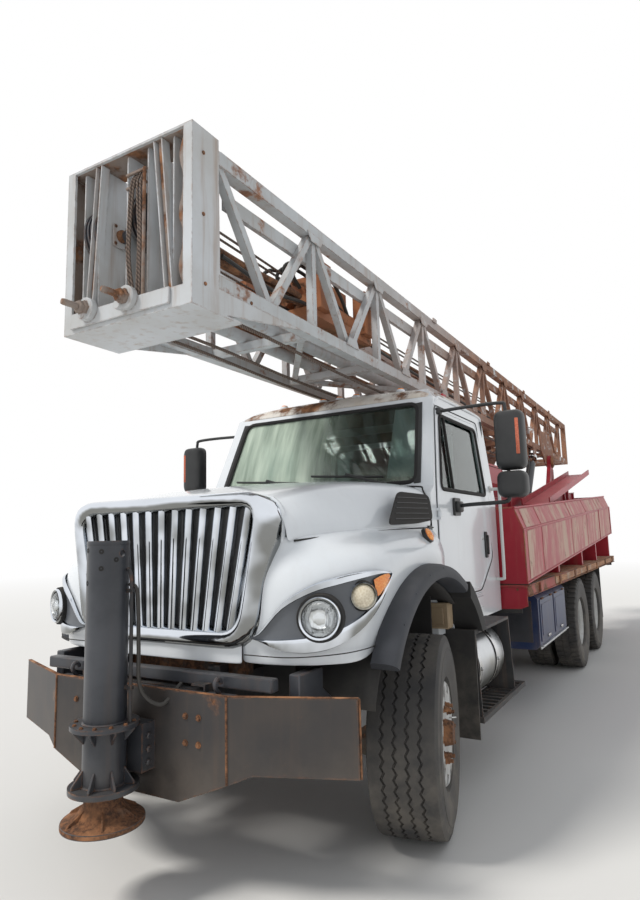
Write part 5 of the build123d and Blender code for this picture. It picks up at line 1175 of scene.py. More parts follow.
# %% [markdown]
# The bars are blades with a rounded nose. They fan out a little because the opening is
# wider at the top than at the bottom, so each bar's two ends are placed by the same share
# of the width.

# %% Bars
BARS = 13
for number in range(BARS):
    share = (number + 0.5) / BARS * 2 - 1
    foot, head = at(share * 0.505, -0.952, 1.186), at(share * 0.642, -0.952, 1.806)
    fit = frame_between(foot, head, up=(0, -1, 0))
    length = (head - foot).length
    nose = [(-0.021, -0.018), (-0.0225, 0.004), (-0.016, 0.014), (0, 0.018), (0.016, 0.014), (0.0225, 0.004),
            (0.021, -0.018)]
    surround.skin([[fit @ Vector((x, y, z)) for x, y in nose] for z in (0, length)], ring=True, caps=True)
surround.done("hood", "chrome", sharp=60, replaces="grille")

# A white bead behind the surround closes the gap to the hood's front edge.
bead = Workpiece("surround_bead").use(cab_white)
outline = grille_outline(0.731, 0.612, 1.104, 1.856, 0.185)
tube(bead, [at(x, -0.826, z) for x, z in outline + outline[:1]], 0.020, 8, 1)
bead.done("hood", "cab_paint")

# %% Screen behind the bars
screen = Workpiece("grille_screen").use(groove_rubber)
plate(screen, grille_outline(0.645, 0.508, 1.190, 1.802, 0.11), at(0, -0.900, 0), SIDEWAYS, UPWARD, 0.006)
screen.use(screen_wire)
for row in range(58):
    z = 1.205 + row * 0.0103
    half = 0.503 + (z - 1.19) / 0.61 * 0.135
    bar(screen, at(-half, -0.913, z), at(half, -0.913, z), 0.0035, 0.012, 0.0008)
for column in range(9):
    x = (column - 4) * 0.125
    bar(screen, at(x * 0.8, -0.922, 1.2), at(x, -0.922, 1.795), 0.012, 0.014, 0.001)
screen.done("hood", "black_plastic", replaces="grille_mesh")

# %% [markdown]
# ## Headlights
# Each headlight sits in an almond of chrome that lies on the fender like a leaf. The leaf
# follows the fender's plan curve at a few millimetres' distance, so the same curve that
# made the fender also carries the bezel and aims the lamps.

# %% Fender surface
def on_fender(share, z, out=0.0):
    """A point on the fender's front, by share of its plan curve, pushed out by a distance."""
    path = [Vector(p) for p in FENDER_PLAN]
    place_on = share * (len(path) - 1)
    i = min(int(place_on), len(path) - 2)
    t = place_on - i
    before, after = path[max(i - 1, 0)], path[min(i + 2, len(path) - 1)]
    spot = path[i].lerp(path[i + 1], t)
    spot = spot + (path[i].lerp(path[i + 1], 0.5) - (before + after) * 0.5) * (t * (1 - t) * 0.5)
    along = ((path[i + 1] - before) * (1 - t) + (after - path[i]) * t).normalized()
    outward = Vector((-along.y, along.x)) * -1
    return at(spot.x + outward.x * out, spot.y + outward.y * out, z), Vector((outward.x, outward.y, 0))


LEAF_LOW = [(0.08, 1.150), (0.16, 1.108), (0.26, 1.100), (0.36, 1.130), (0.46, 1.205), (0.54, 1.310),
            (0.595, 1.430)]
LEAF_HIGH = [(0.08, 1.190), (0.16, 1.330), (0.26, 1.415), (0.36, 1.450), (0.46, 1.468), (0.54, 1.470),
             (0.595, 1.452)]
print("fender normal at the lamp", [round(v, 2) for v in on_fender(0.3, 1.27)[1]])

# %% Bezels and lamps
def lamp(work, centre, out, radius, glass, deep=0.020):
    """A round lamp: chrome ring, bowl and a domed lens."""
    work.use(groove_rubber)
    turned(work, [(radius * 1.34, -0.05), (radius * 1.27, 0.002), (radius * 1.20, 0.006),
                  (radius * 1.15, 0.002)],
           centre, out, 40)
    work.use(chrome)
    turned(work, [(radius * 1.16, -0.04), (radius * 1.17, 0.012), (radius * 1.10, 0.022),
                  (radius * 1.0, 0.016), (radius * 0.99, -0.01)], centre, out, 40)
    work.use(lamp_bowl)
    turned(work, [(radius * 1.0, 0.0), (radius * 0.93, -deep * 0.10), (radius * 0.90, -deep * 0.30),
                  (radius * 0.80, -deep * 0.36), (radius * 0.62, -deep * 0.62), (radius * 0.36, -deep * 0.80),
                  (radius * 0.30, -deep * 0.80), (radius * 0.30, -deep * 0.50), (radius * 0.22, -deep * 0.38),
                  (0, -deep * 0.34)], centre, out, 40)
    work.use(glass)
    turned(work, [(radius * 1.0, 0.004), (radius * 0.9, 0.018), (radius * 0.6, 0.030), (0, 0.036), (0, 0.030),
                  (radius * 0.6, 0.024), (radius * 0.9, 0.012), (radius * 0.98, 0.0)], centre, out, 40)


lamps = Workpiece("headlamps")
for side in (1, -1):
    flip = Matrix.Diagonal((side, 1, 1, 1))
    for finish, insets in (
            (chrome, ((0.0, 0.002), (0.02, 0.017), (0.17, 0.024), (0.235, 0.020), (0.25, 0.006))),
            (lamp_mask, ((0.25, 0.006), (0.30, 0.0035), (0.50, 0.0030), (0.70, 0.0035), (0.88, 0.006))),
            (chrome, ((0.88, 0.006), (0.895, 0.018), (0.98, 0.018), (1.0, 0.002)))):
        lamps.use(finish)
        rows = []
        for inset, out in insets:
            row = []
            for (share, low), (_, high) in zip(LEAF_LOW, LEAF_HIGH):
                row.append(flip @ on_fender(share, low + (high - low) * inset, out)[0])
            row.insert(0, flip @ on_fender(LEAF_LOW[0][0] - 0.05, 1.165 + 0.01 * inset, 0.002)[0])
            row.append(flip @ on_fender(0.615, 1.452 + 0.004 * inset, 0.002)[0])
            rows.append(smooth_path(row, 4))
        lamps.skin(rows)
    for share, z, radius, glass in ((0.285, 1.262, 0.088, lens), (0.452, 1.352, 0.058, cream_lens)):
        centre, out = on_fender(share, z, 0.036 if radius > 0.07 else 0.016)
        aim = (out + Vector((0, -0.7, 0))).normalized()
        lamp(lamps, flip @ centre, (aim.x * side, aim.y, aim.z), radius, glass)
    lamps.use(amber)
    wedge = []
    for share, low, high in ((0.505, 1.335, 1.425), (0.535, 1.350, 1.440), (0.565, 1.385, 1.448),
                             (0.585, 1.425, 1.450)):
        wedge.append([flip @ on_fender(share, low, 0.014)[0],
                      flip @ on_fender(share, (low + high) / 2, 0.024)[0],
                      flip @ on_fender(share, high, 0.014)[0]])
    lamps.skin(wedge)
lamps.done("hood", "chrome", sharp=50, replaces="headlights")

# %% [markdown]
# ### Small things on the hood
# A black louvred vent sits high on each side near the cab, with an amber marker below
# it. They are set into a surface that leans, so each is drawn on its own little plane.

# %% Vents and markers
trim = Workpiece("hood_trim")
for side in (1, -1):
    trim.use(groove_rubber)
    origin = at(side * 1.004, 0.10, 1.800)
    run, rise = Vector((side * 0.06, 1, 0)).normalized(), Vector((-side * 0.30, 0, 1)).normalized()
    outline = rounded([(-0.33, -0.105), (0.05, -0.095), (0.31, -0.070), (0.37, 0.105), (-0.08, 0.108)], 0.055)
    plate(trim, outline, origin if side > 0 else origin - SIDEWAYS * 0.010, run, rise, 0.010)
    trim.use(black_plastic)
    for number in range(5):
        z = -0.066 + number * 0.034
        a = origin + run * (-0.235 + number * 0.028) + rise * z + Vector((side * 0.012, 0, 0))
        b = origin + run * (0.250 + number * 0.014) + rise * (z + 0.008) + Vector((side * 0.012, 0, 0))
        bar(trim, a, b, 0.006, 0.006, 0.001, up=rise)
    trim.use(amber)
    spot = at(side * 1.075, 0.245, 1.640)
    turned(trim, [(0.043, 0), (0.042, 0.010), (0.030, 0.020), (0, 0.024)], spot, (side, 0, 0.5), 24)
    trim.use(black_plastic)
    turned(trim, [(0.050, -0.02), (0.050, 0.004), (0.042, 0.006)], spot, (side, 0, 0.5), 24)
    block(trim, at(side * 0.992, 0.44, 1.655), at(side * 1.008, 0.50, 1.700), 0.004)
    trim.use(groove_rubber)
    tube(trim, [at(side * x, y, z) for x, y, z in ((0.56, -0.962, 1.085), (0.80, -0.925, 1.082),
                                                   (0.99, -0.80, 1.090), (1.075, -0.66, 1.100),
                                                   (1.118, -0.50, 1.118))], 0.003, 6)
trim.done("hood", "black_plastic")

# %% [markdown]
# The flares are thick grey plastic. From the front the eye sees their broad inner lip as
# much as the outer face, so the section is a bent band: out from the fender, over a
# rounded shoulder and down.

# %% Flares
def flare_band(name, start, end, body, steps=22):
    """The arch band between two angles, on both sides, as one piece."""
    work = Workpiece(name).use(flare_plastic)
    section = [(0.868, 1.085), (0.880, 1.110), (0.878, 1.160), (0.868, 1.196), (0.848, 1.214), (0.820, 1.218),
               (0.800, 1.214), (0.790, 1.196), (0.790, 1.060), (0.800, 1.060)]
    for side in (1, -1):
        rows = []
        for i in range(steps + 1):
            angle = radians(start + (end - start) * i / steps)
            rows.append([at(side * x, ARCH_STATION - r * cos(angle), ARCH_HEIGHT + r * sin(angle))
                         for r, x in section])
        work.skin(rows, ring=True, caps=True)
        for i in range(1, 6):
            angle = radians(start + (end - start) * i / 6)
            spot = at(side * 1.206, ARCH_STATION - 0.848 * cos(angle), ARCH_HEIGHT + 0.848 * sin(angle))
            bolt(work, spot, (side, 0, 0), 0.009)
    return work.done(body, "flare_plastic")


front_band = flare_band("hood_flares", 30.2, 121.2, "hood")
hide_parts("fender_flares")

# %% [markdown]
# Behind every arch lip there is a dark liner, a sheet bent round the wheel. Without it
# daylight shows between the bumper and the tyre. A small box hangs behind the wheel, where
# the cab's white corner comes down; its tan colour is painted shade on that white.

# %% Arch liners
LINER_RADIUS = 0.775
liners = Workpiece("arch_liners").use(flap_rubber)
for side in (1, -1):
    angles = [radians(a) for a in range(50, 168, 6)]
    arcs = [[at(side * x, ARCH_STATION + radius * cos(a), ARCH_HEIGHT + radius * sin(a)) for a in angles]
            for x, radius in ((0.56, LINER_RADIUS - 0.004), (0.58, LINER_RADIUS),
                              (0.80, LINER_RADIUS + 0.004), (1.02, LINER_RADIUS), (1.100, LINER_RADIUS))]
    liners.skin(arcs)
thicken(liners.done("hood", "flap_rubber"), 0.004, 0)

shields = Workpiece("splash_shields").use(flap_rubber)
for side in (1, -1):
    block(shields, at(side * 0.548, -0.600, 1.020), at(side * 0.556, 0.520, 1.420), 0.002)
    block(shields, at(side * 0.440, -0.640, 0.780), at(side * 0.640, -0.628, 1.060), 0.003)
    block(shields, at(side * 0.560, 0.524, 0.960), at(side * 0.960, 0.536, 1.500), 0.003)
    # the cab's white corner, coloured tan as painted shade
    shields.use(shaded_corner_tan)
    block(shields, at(side * 0.640, 0.538, 1.030), at(side * 1.075, 0.625, 1.195), 0.010)
    block(shields, at(side * 0.700, 0.532, 1.060), at(side * 1.040, 0.540, 1.165), 0.006)
    shields.use(flap_rubber)
shields.done("truck", "flap_rubber")

# %% [markdown]
# ## Tyres
# A tyre is a turned section with its tread cut in. The grooves here are real, because on
# a wheel this close the grooves' shadows are most of what is seen. The ring is walked in
# steps of half a zigzag: at every step the edges of each groove shift a little to one
# side and then to the other. The truck stands with its front wheels steered a little to
# the left, so their frames turn about the kingpin.

# %% Tyre
TYRE_RADIUS, BEAD_RADIUS = 0.5345, 0.286
KINGPIN_OUT, PARKED_STEER = 0.900, 13.0


def wheel_fit(side, station, middle, steer=0.0):
    """A frame at a wheel's middle whose X is its outward axis, turned about the kingpin."""
    kingpin = Matrix.Translation(at(side * KINGPIN_OUT, station, WHEEL_HEIGHT))
    heading = Matrix.Rotation(radians(steer) + (0 if side > 0 else pi), 4, "Z")
    return kingpin @ heading @ Matrix.Translation((middle - KINGPIN_OUT, 0, 0))


def tread_columns(half, ribs, groove, depth):
    """Tread points across the tyre: (x, drop, rib number, sways with the zigzag)."""
    columns = []
    gap = 2 * half / ribs
    for rib in range(ribs):
        left = -half + rib * gap + (groove / 2 if rib else 0)
        right = -half + (rib + 1) * gap - (groove / 2 if rib < ribs - 1 else 0)
        columns.append((left, 0, rib, rib > 0))
        columns.append(((left + right) / 2, 0, rib, False))
        columns.append((right, 0, rib, rib < ribs - 1))
        if rib < ribs - 1:
            columns.append((right + groove * 0.2, depth, rib, True))
            columns.append((right + groove * 0.8, depth, rib, True))
    return columns


def tyre(work, fit, width, ribs, pitches, sway, groove, depth, slot_depth):
    """One tyre: walls with raised rings, and a tread with grooves and cross slots."""
    half = width / 2
    edge = half * 0.83
    wall = [(half * 0.72, BEAD_RADIUS), (half * 0.90, BEAD_RADIUS + 0.012), (half * 0.93, BEAD_RADIUS + 0.05),
            (half * 0.985, BEAD_RADIUS + 0.085), (half * 1.0, BEAD_RADIUS + 0.125),
            (half * 0.988, BEAD_RADIUS + 0.160), (half * 0.998, BEAD_RADIUS + 0.163),
            (half * 0.996, BEAD_RADIUS + 0.172), (half * 0.976, BEAD_RADIUS + 0.176),
            (half * 0.945, BEAD_RADIUS + 0.206), (half * 0.915, TYRE_RADIUS - 0.022),
            (half * 0.885, TYRE_RADIUS - 0.009)]
    tread = tread_columns(edge, ribs, groove, depth)
    steps = [(0.0, 0), (0.08, 1), (0.42, 1), (0.5, 0)] if slot_depth else [(0.0, 0), (0.5, 0)]
    rows = []
    for pitch in range(pitches):
        for phase, slot in steps:
            angle = 2 * pi * (pitch + phase) / pitches
            lean = sway if phase < 0.25 else -sway
            row = []
            for x, radius in wall:
                cut = slot_depth * slot if radius > TYRE_RADIUS - 0.03 else 0
                row.append((-x, radius - cut, angle))
            for x, drop, rib, swings in tread:
                slotted = slot_depth * slot if rib in (0, ribs - 1) else slot_depth * slot * 0.55
                crown = TYRE_RADIUS - 0.006 * (x / edge) ** 2
                row.append((x + (lean if swings else 0), crown - max(drop, slotted), angle))
            for x, radius in reversed(wall):
                cut = slot_depth * slot if radius > TYRE_RADIUS - 0.03 else 0
                row.append((x, radius - cut, angle))
            rows.append(row)
    n, walls = len(rows[0]), len(wall)
    points = [fit @ Vector((x, radius * sin(angle), radius * cos(angle))) for row in rows
              for x, radius, angle in row]
    mesh_rows = len(rows)
    spots = work.add(points, [])
    for finish, spans in ((wall_rubber, ((0, walls - 3), (n - walls + 2, n - 1))),
                          (tread_rubber, ((walls - 3, n - walls + 2),))):
        work.use(finish)
        for r in range(mesh_rows):
            after = (r + 1) % mesh_rows
            for start, end in spans:
                for i in range(start, end):
                    ring = (r * n + i, r * n + i + 1, after * n + i + 1, after * n + i)
                    made = work.mesh.faces.new([spots[k] for k in ring])
                    made.material_index = work.current


for side_name, side in SIDES:
    work = Workpiece(f"front_tyre_{side_name}")
    tyre(work, wheel_fit(side, 0, 1.035, PARKED_STEER), width=0.385, ribs=5, pitches=56, sway=0.0080,
         groove=0.015, depth=0.014, slot_depth=0)
    work.done(f"wheel_front_{side_name}", "tyre_rubber", sharp=32, replaces=f"tyre_front_{side_name}")
    for number, station in enumerate(REAR_AXLES, 1):
        work = Workpiece(f"rear_tyres_{number}_{side_name}")
        for middle in (1.085, 0.755):
            tyre(work, wheel_fit(side, station, middle), width=0.278, ribs=3, pitches=46, sway=0.005,
                 groove=0.014, depth=0.014, slot_depth=0.015)
        work.done(f"wheels_rear_{number}_{side_name}", "tyre_rubber", sharp=32,
                  replaces=f"tyres_rear_{number}_{side_name}")

# %% [markdown]
# ### Wheel fittings
# The rims come from the CAD model, and a domed disc with hand holes is added at the front.
# What makes them read as truck wheels is the ring of nuts, the rolled lip of the rim, and
# a hub that has bled rust over its oil cap.

# %% Front disc
def front_disc(work, fit, sectors=60, holes=10):
    """A front wheel's disc, domed outward, with its hand holes left open."""
    rings = ((0.272, 1.150), (0.271, 1.196), (0.262, 1.205), (0.212, 1.207), (0.186, 1.194), (0.060, 1.192))
    spots = [[fit @ Vector((x - back, r * sin(2 * pi * i / sectors), r * cos(2 * pi * i / sectors)))
              for r, x in rings for i in range(sectors)] for back in (0, 0.010)]
    layer = len(spots[0])
    open_cells = {(2, i) for i in range(sectors) if i % (sectors // holes) in (2, 3, 4)}
    faces = []
    for row in range(len(rings) - 1):
        for i in range(sectors):
            if (row, i) in open_cells:
                continue
            j = (i + 1) % sectors
            corners = [row * sectors + i, row * sectors + j, (row + 1) * sectors + j, (row + 1) * sectors + i]
            faces.append(corners)
            faces.append([k + layer for k in corners][::-1])
            for side, beside in ((0, (row - 1, i)), (1, (row, j)), (2, (row + 1, i)),
                                 (3, (row, (i - 1) % sectors))):
                if beside in open_cells:
                    a, b = corners[side], corners[(side + 1) % 4]
                    faces.append([a, a + layer, b + layer, b])
    work.add(spots[0] + spots[1], faces)


# %% Nuts, lips and hubs
for side_name, side in SIDES:
    for body, station, face, hub_end, lip in ((f"wheel_front_{side_name}", 0, 1.192, 1.240, 1.1505),
                                              (f"wheels_rear_1_{side_name}", REAR_AXLES[0], 0.980, 1.155,
                                               1.169),
                                              (f"wheels_rear_2_{side_name}", REAR_AXLES[1], 0.980, 1.155,
                                               1.169)):
        work = Workpiece(body.replace("wheel", "fittings", 1))
        fit = wheel_fit(side, station, 0, PARKED_STEER if station == 0 else 0)
        out = fit.to_3x3() @ Vector((1, 0, 0))
        work.use(wheel_white)
        turned(work, [(0.272, -0.02), (0.276, 0.000), (0.281, 0.008), (0.288, 0.010), (0.292, 0.004),
                      (0.290, -0.006), (0.284, -0.010)], fit @ Vector((lip, 0, 0)), out, 72)
        if station == 0:
            front_disc(work, fit)
        else:
            turned(work, [(0.1680, -0.001), (0.1665, 0.0035), (0.120, 0.0045), (0.118, -0.001)],
                   fit @ Vector((face, 0, 0)), out, 48)
        work.use(rusty_steel)
        for angle in around(10, 0.5):
            spot = fit @ Vector((face + 0.003, 0.1428 * sin(angle), 0.1428 * cos(angle)))
            turned(work, [(0.0205, 0), (0.0205, 0.004), (0.0165, 0.007), (0.0165, 0.021), (0.0135, 0.025),
                          (0.0105, 0.0255)], spot, out, 6)
            turned(work, [(0.0105, 0.02), (0.0105, 0.040), (0.009, 0.042), (0, 0.042)], spot, out, 10)
        work.use(rusty_steel if station == 0 else wheel_white)
        front = hub_end - (0.17 if station == 0 else 0.26)
        length = hub_end - front
        turned(work, [(0.0985, length * 0.25), (0.0985, length * 0.545), (0.094, length * 0.575),
                      (0.0735, length * 0.69), (0.0715, length * 0.74), (0.0625, length * 0.97),
                      (0.060, length + 0.001), (0.042, length + 0.003), (0.036, length + 0.001),
                      (0, length + 0.001)],
               fit @ Vector((front, 0, 0)), out, 40)
        work.use(rusty_steel)
        for angle in around(8):
            spot = fit @ Vector((front + length * 0.575, 0.0845 * sin(angle), 0.0845 * cos(angle)))
            bolt(work, spot, out, 0.0075)
        valve = [fit @ Vector((face + 0.004 + k, 0.19 + r, 0.03))
                 for k, r in ((0, 0), (0.02, 0.002), (0.04, 0.012))]
        work.use(rod_steel)
        tube(work, valve, 0.004, 6, 3)
        work.done(body, "wheel_paint")

# %% [markdown]
# ## Bumper
# The bumper is a home-made plate of thick steel, folded at two weld seams. Its face keeps
# the CAD shape; the weld beads, the bright rusty top edge where paint never holds, and
# the hooks and cross tube behind it are added here.

# %% Bumper welds, edge and hooks
bumper_work = Workpiece("bumper_details")
corner_points = [(-1.150, -0.920), (-0.590, -1.140), (0.590, -1.140), (1.150, -0.920)]
bumper_work.use(rust_edge)
for (ax, ay), (bx, by) in zip(corner_points, corner_points[1:]):
    bar(bumper_work, at(ax, ay + 0.010, 0.931), at(bx, by + 0.010, 0.931), 0.021, 0.004, 0.0015)
for side in (1, -1):
    tube(bumper_work, [at(side * 0.590, -1.1405, z) for z in (0.550, 0.65, 0.78, 0.929)], 0.006, 6, 3)
    bar(bumper_work, at(side * 1.1495, -0.911, 0.592), at(side * 1.1495, -0.911, 0.929), 0.004, 0.020, 0.0015,
        up=(1, 0, 0))
    for x, z in ((0.345, 0.82), (0.425, 0.82), (0.345, 0.70), (0.425, 0.70)):
        bumper_work.use(rusty_steel)
        bolt(bumper_work, at(side * x, -1.140, z), (0, -1, 0), 0.014)
    bumper_work.use(rust_edge)
bumper_work.use(jack_grey)
bar(bumper_work, at(-0.78, -1.02, 0.972), at(0.78, -1.02, 0.972), 0.060, 0.060, 0.006)
block(bumper_work, at(-0.60, -1.115, 0.905), at(0.60, -1.06, 0.925), 0.004)
for side in (1, -1):
    block(bumper_work, at(side * 0.80, -0.94, 0.70), at(side * 0.86, -0.72, 1.01), 0.006)
    bar(bumper_work, at(side * 0.83, -0.86, 0.98), at(side * 0.83, -0.60, 0.80), 0.05, 0.05, 0.006)
    hook = [at(side * 0.50, -1.080, 0.925), at(side * 0.50, -1.105, 0.950), at(side * 0.50, -1.110, 0.975),
            at(side * 0.50, -1.092, 0.992), at(side * 0.50, -1.072, 0.982), at(side * 0.50, -1.068, 0.966)]
    tube(bumper_work, hook, 0.011, 8, 5)
bumper_work.done("truck", "chassis_paint")

# %% [markdown]
# ## Front jack
# The jack is a heavy tube held in a bracket, with bolted flanges and gusset ribs. Where
# the flanges meet the tube there are weld beads, which a turned ring shows well enough. A
# thin rod and the oil hose run up its left side.

# %% Jack tube details
jack = Workpiece("front_jack_details").use(jack_grey)
JACK_STATION = -1.317
turned(jack, [(0.086, -0.012), (0.086, 0.0005), (0.0995, 0.0005), (0.1015, -0.003), (0.1015, -0.020),
              (0.100, -0.022)],
       at(0, JACK_STATION, 1.650), (0, 0, 1), 48)
for z, r in ((0.800, 0.106), (0.780, 0.104), (0.524, 0.106)):
    turned(jack, [(0.099, -0.004), (r, -0.003), (r + 0.001, 0.002), (0.100, 0.008)], at(0, JACK_STATION, z),
           (0, 0, 1), 40)
for angle in around(8, 0.5):
    out = Vector((cos(angle), sin(angle), 0))
    if out.y > 0.5:
        continue
    root = at(0, JACK_STATION, 0) + out * 0.099
    plate(jack, [(0, 0.524), (0.052, 0.524), (0.052, 0.538), (0.004, 0.600), (0, 0.600)],
          root - out.cross(UPWARD) * 0.005, out, (0, 0, 1), 0.010)
    plate(jack, [(0, 0.780), (0, 0.716), (0.004, 0.716), (0.050, 0.768), (0.050, 0.780)],
          root - out.cross(UPWARD) * 0.005, out, (0, 0, 1), 0.010)
jack.use(rusty_steel)
for angle in around(12):
    spot = at(0.138 * cos(angle), JACK_STATION + 0.138 * sin(angle), 0.800)
    if sin(angle) < 0.6:
        bolt(jack, spot, (0, 0, 1), 0.010)
        bolt(jack, spot - Vector((0, 0, 0.300)), (0, 0, -1), 0.011)
jack.use(groove_rubber)
for angle, z in ((-60, 1.600), (-60, 1.520), (-112, 1.605), (-112, 1.45), (-20, 1.560)):
    out = Vector((cos(radians(angle)), sin(radians(angle)), 0))
    turned(jack, [(0.0125, 0.0), (0.0125, 0.0022), (0.009, 0.0025), (0, 0.0008)],
           at(0, JACK_STATION, z) + out * 0.0985, out, 16)
jack.use(frame_black)
rod_x, rod_y = 0.128, JACK_STATION + 0.035
tube(jack, [at(rod_x, rod_y, 0.80), at(rod_x, rod_y, 1.15), at(rod_x - 0.004, rod_y, 1.46),
            at(rod_x - 0.03, rod_y, 1.515)],
     0.009, 8, 5)
for z in (0.95, 1.40):
    block(jack, at(0.090, rod_y - 0.010, z), at(rod_x + 0.014, rod_y + 0.010, z + 0.018), 0.002)
jack.use(hose_rubber)
tube(jack, [at(0.095, JACK_STATION + 0.05, 1.44), at(0.136, JACK_STATION + 0.062, 1.40),
            at(0.146, JACK_STATION + 0.066, 1.15), at(0.148, JACK_STATION + 0.070, 0.98),
            at(0.170, JACK_STATION + 0.100, 0.900), at(0.215, JACK_STATION + 0.150, 0.865),
            at(0.240, -1.120, 0.900), at(0.245, -1.06, 0.945)], 0.010, 8, 6)
jack.use(jack_grey)
for x in (-0.150, 0.150):
    for z in (0.60, 0.66, 0.72):
        turned(jack, [(0.016, 0), (0.016, 0.008), (0.011, 0.012), (0, 0.012)], at(x, -1.185, z),
               (1 if x > 0 else -1, 0, 0), 6)
jack.done("truck", "jack_steel")

# %% Jack foot
foot = Workpiece("front_jack_foot").use(rusty_steel)
turned(foot, [(0, -0.0005), (0.186, -0.0005), (0.191, 0.004), (0.191, 0.018), (0.187, 0.0235),
              (0.128, 0.0415), (0.090, 0.088), (0.0872, 0.150), (0.085, 0.152)], at(0, JACK_STATION, 0.350),
       (0, 0, 1), 48)
for i in range(6):
    angle = 2 * pi * i / 6 + 0.3
    out = Vector((cos(angle), sin(angle), 0))
    plate(foot, [(0, 0.370), (0.085, 0.380), (0.075, 0.392), (0.006, 0.430), (0, 0.430)],
          at(0, JACK_STATION, 0) + out * 0.092 - out.cross(UPWARD) * 0.005, out, (0, 0, 1), 0.010)
foot.done("front_jack_leg", "jack_steel")

# %% [markdown]
# ## Cab
# The windshield is the cab's face. The real glass bows forward a little, and that bow is
# what makes its reflections run in curves, so the pane here is a curved sheet set in the
# flat opening of the CAD cab, with a rubber seal round it.

# %% Windshield and rear window
SHIELD_MIDDLE = 2.317
SKIN_FOOT, SKIN_HEAD = Vector((0.630, 1.980)), Vector((0.920, 2.670))
GLASS_OUT = Vector((0, -(SKIN_HEAD.y - SKIN_FOOT.y), SKIN_HEAD.x - SKIN_FOOT.x)).normalized()


def on_windshield(x, z, out=0.0):
    """A point of the windshield's plane, pushed outward."""
    station = SKIN_FOOT.x + (z - SKIN_FOOT.y) * (SKIN_HEAD.x - SKIN_FOOT.x) / (SKIN_HEAD.y - SKIN_FOOT.y)
    return at(x, station, z) + GLASS_OUT * out


shield_outline = rounded([(-0.848, 2.012), (0.848, 2.012), (0.788, 2.622), (-0.788, 2.622)], 0.075, 5)
shield = Workpiece("windshield_glass").use(windshield_glass)
middle = Vector((0, SHIELD_MIDDLE))
rings = []
for share in (1.0, 0.88, 0.72, 0.5, 0.25):
    rings.append([middle + (Vector(p) - middle) * share for p in shield_outline])
for out in (-0.010, -0.016):
    points = []
    for ring in rings:
        for p in ring:
            flat_sides = 1 - min(1, (p.x / 0.86) ** 2)
            flat_ends = 1 - min(1, ((p.y - SHIELD_MIDDLE) / 0.34) ** 2) * 0.9
            bow = 0.030 * flat_sides * flat_ends
            points.append(on_windshield(p.x, p.y, out + bow))
    points.append(on_windshield(0, SHIELD_MIDDLE, out + 0.030))
    n = len(shield_outline)
    faces = grid_faces(len(rings), n, ring=True)
    last = (len(rings) - 1) * n
    faces += [[last + i, last + (i + 1) % n, len(points) - 1] for i in range(n)]
    spots = shield.add(points, faces)
    if out == -0.010:
        outer_rim = spots[:n]
    else:
        for i in range(n):
            shield.mesh.faces.new([outer_rim[i], outer_rim[(i + 1) % n], spots[(i + 1) % n], spots[i]])
shield.use(rear_pane)
plate(shield, rounded(box(-0.598, 2.082, 0.598, 2.498), 0.068),
      at(0, 2.133, 0), SIDEWAYS, UPWARD, 0.006)
shield.done("truck", "window_glass", sharp=60, replaces="cab_glass")

# %% [markdown]
# Rubber seals, the black pillar strip, the wipers and the cowl below them are all black
# on the real cab, and together they frame the glass.

# %% Seals, wipers and cowl
def loop(work, points, radius, sides=6, face=GLASS_OUT):
    """A flattened tube that closes on itself, for seals; face is the way it looks."""
    spots = []
    for before, p, after in zip(points[-1:] + points[:-1], points, points[1:] + points[:1]):
        run = (after - before).normalized()
        side = run.cross(face).normalized()
        rise = side.cross(run)
        for angle in around(sides):
            spots.append(p + side * (radius * cos(angle)) + rise * (radius * 0.7 * sin(angle)))
    faces = grid_faces(len(points) + 1, sides, ring=True)
    work.add(spots, [[k % len(spots) for k in face] for face in faces])


seals = Workpiece("cab_seals").use(groove_rubber)
loop(seals, [on_windshield(x * 1.004, SHIELD_MIDDLE + (z - SHIELD_MIDDLE) * 1.008, 0.002)
             for x, z in shield_outline], 0.017, 8)
seals.use(black_plastic)
for side in (1, -1):
    strip = [on_windshield(side * 0.862, 2.00, 0.004), on_windshield(side * 0.832, 2.33, 0.006),
             on_windshield(side * 0.802, 2.625, 0.004)]
    for a, b in zip(strip, strip[1:]):
        bar(seals, a, b, 0.052, 0.010, 0.003, up=GLASS_OUT)
block(seals, at(-0.86, 0.548, 1.948), at(0.86, 0.615, 1.968), 0.006)
for number in range(26):
    x = -0.80 + number * 0.064
    block(seals, at(x, 0.556, 1.966), at(x + 0.034, 0.606, 1.974), 0.002)
for pivot, reach in ((0.62, -0.62), (-0.10, -0.62)):
    hub_at = on_windshield(pivot, 1.992, 0.035)
    turned(seals, [(0.022, -0.03), (0.022, 0.012), (0.014, 0.020), (0, 0.020)], hub_at, GLASS_OUT, 14)
    tip = on_windshield(pivot + reach * 0.52, 2.085, 0.045)
    bar(seals, hub_at + GLASS_OUT * 0.008, tip, 0.020, 0.010, 0.002, up=GLASS_OUT)
    start = on_windshield(pivot + reach * 0.02, 2.052, 0.026)
    end = on_windshield(pivot + reach * 1.02, 2.098, 0.026)
    bar(seals, start, end, 0.012, 0.020, 0.002, up=GLASS_OUT)
loop(seals, [at(x, 2.1515, z) for x, z in rounded(box(-0.60, 2.08, 0.60, 2.50), 0.07)],
     0.014, face=BACKWARD)
seals.done("truck", "black_plastic")

# %% [markdown]
# ## Doors and mirrors
# The door skins lean inward above the belt line, so the helper below puts a drawn point
# on whichever plane it belongs to. With it the window seal, the vent bar and the door's
# pressed lines are drawn in the plain side view.

# %% Door plane
CAB_SIDE, BELT, EAVES, LEAN_IN = 0.990, 1.930, 2.670, 0.085


def on_side(side, station, z, out=0.0):
    """A point on the cab's side skin, upright to the belt and leaning in above it."""
    if z <= BELT:
        return at(side * (CAB_SIDE + out), station, z)
    lean = (z - BELT) / (EAVES - BELT)
    return at(side * (CAB_SIDE - LEAN_IN * lean + out), station, z)


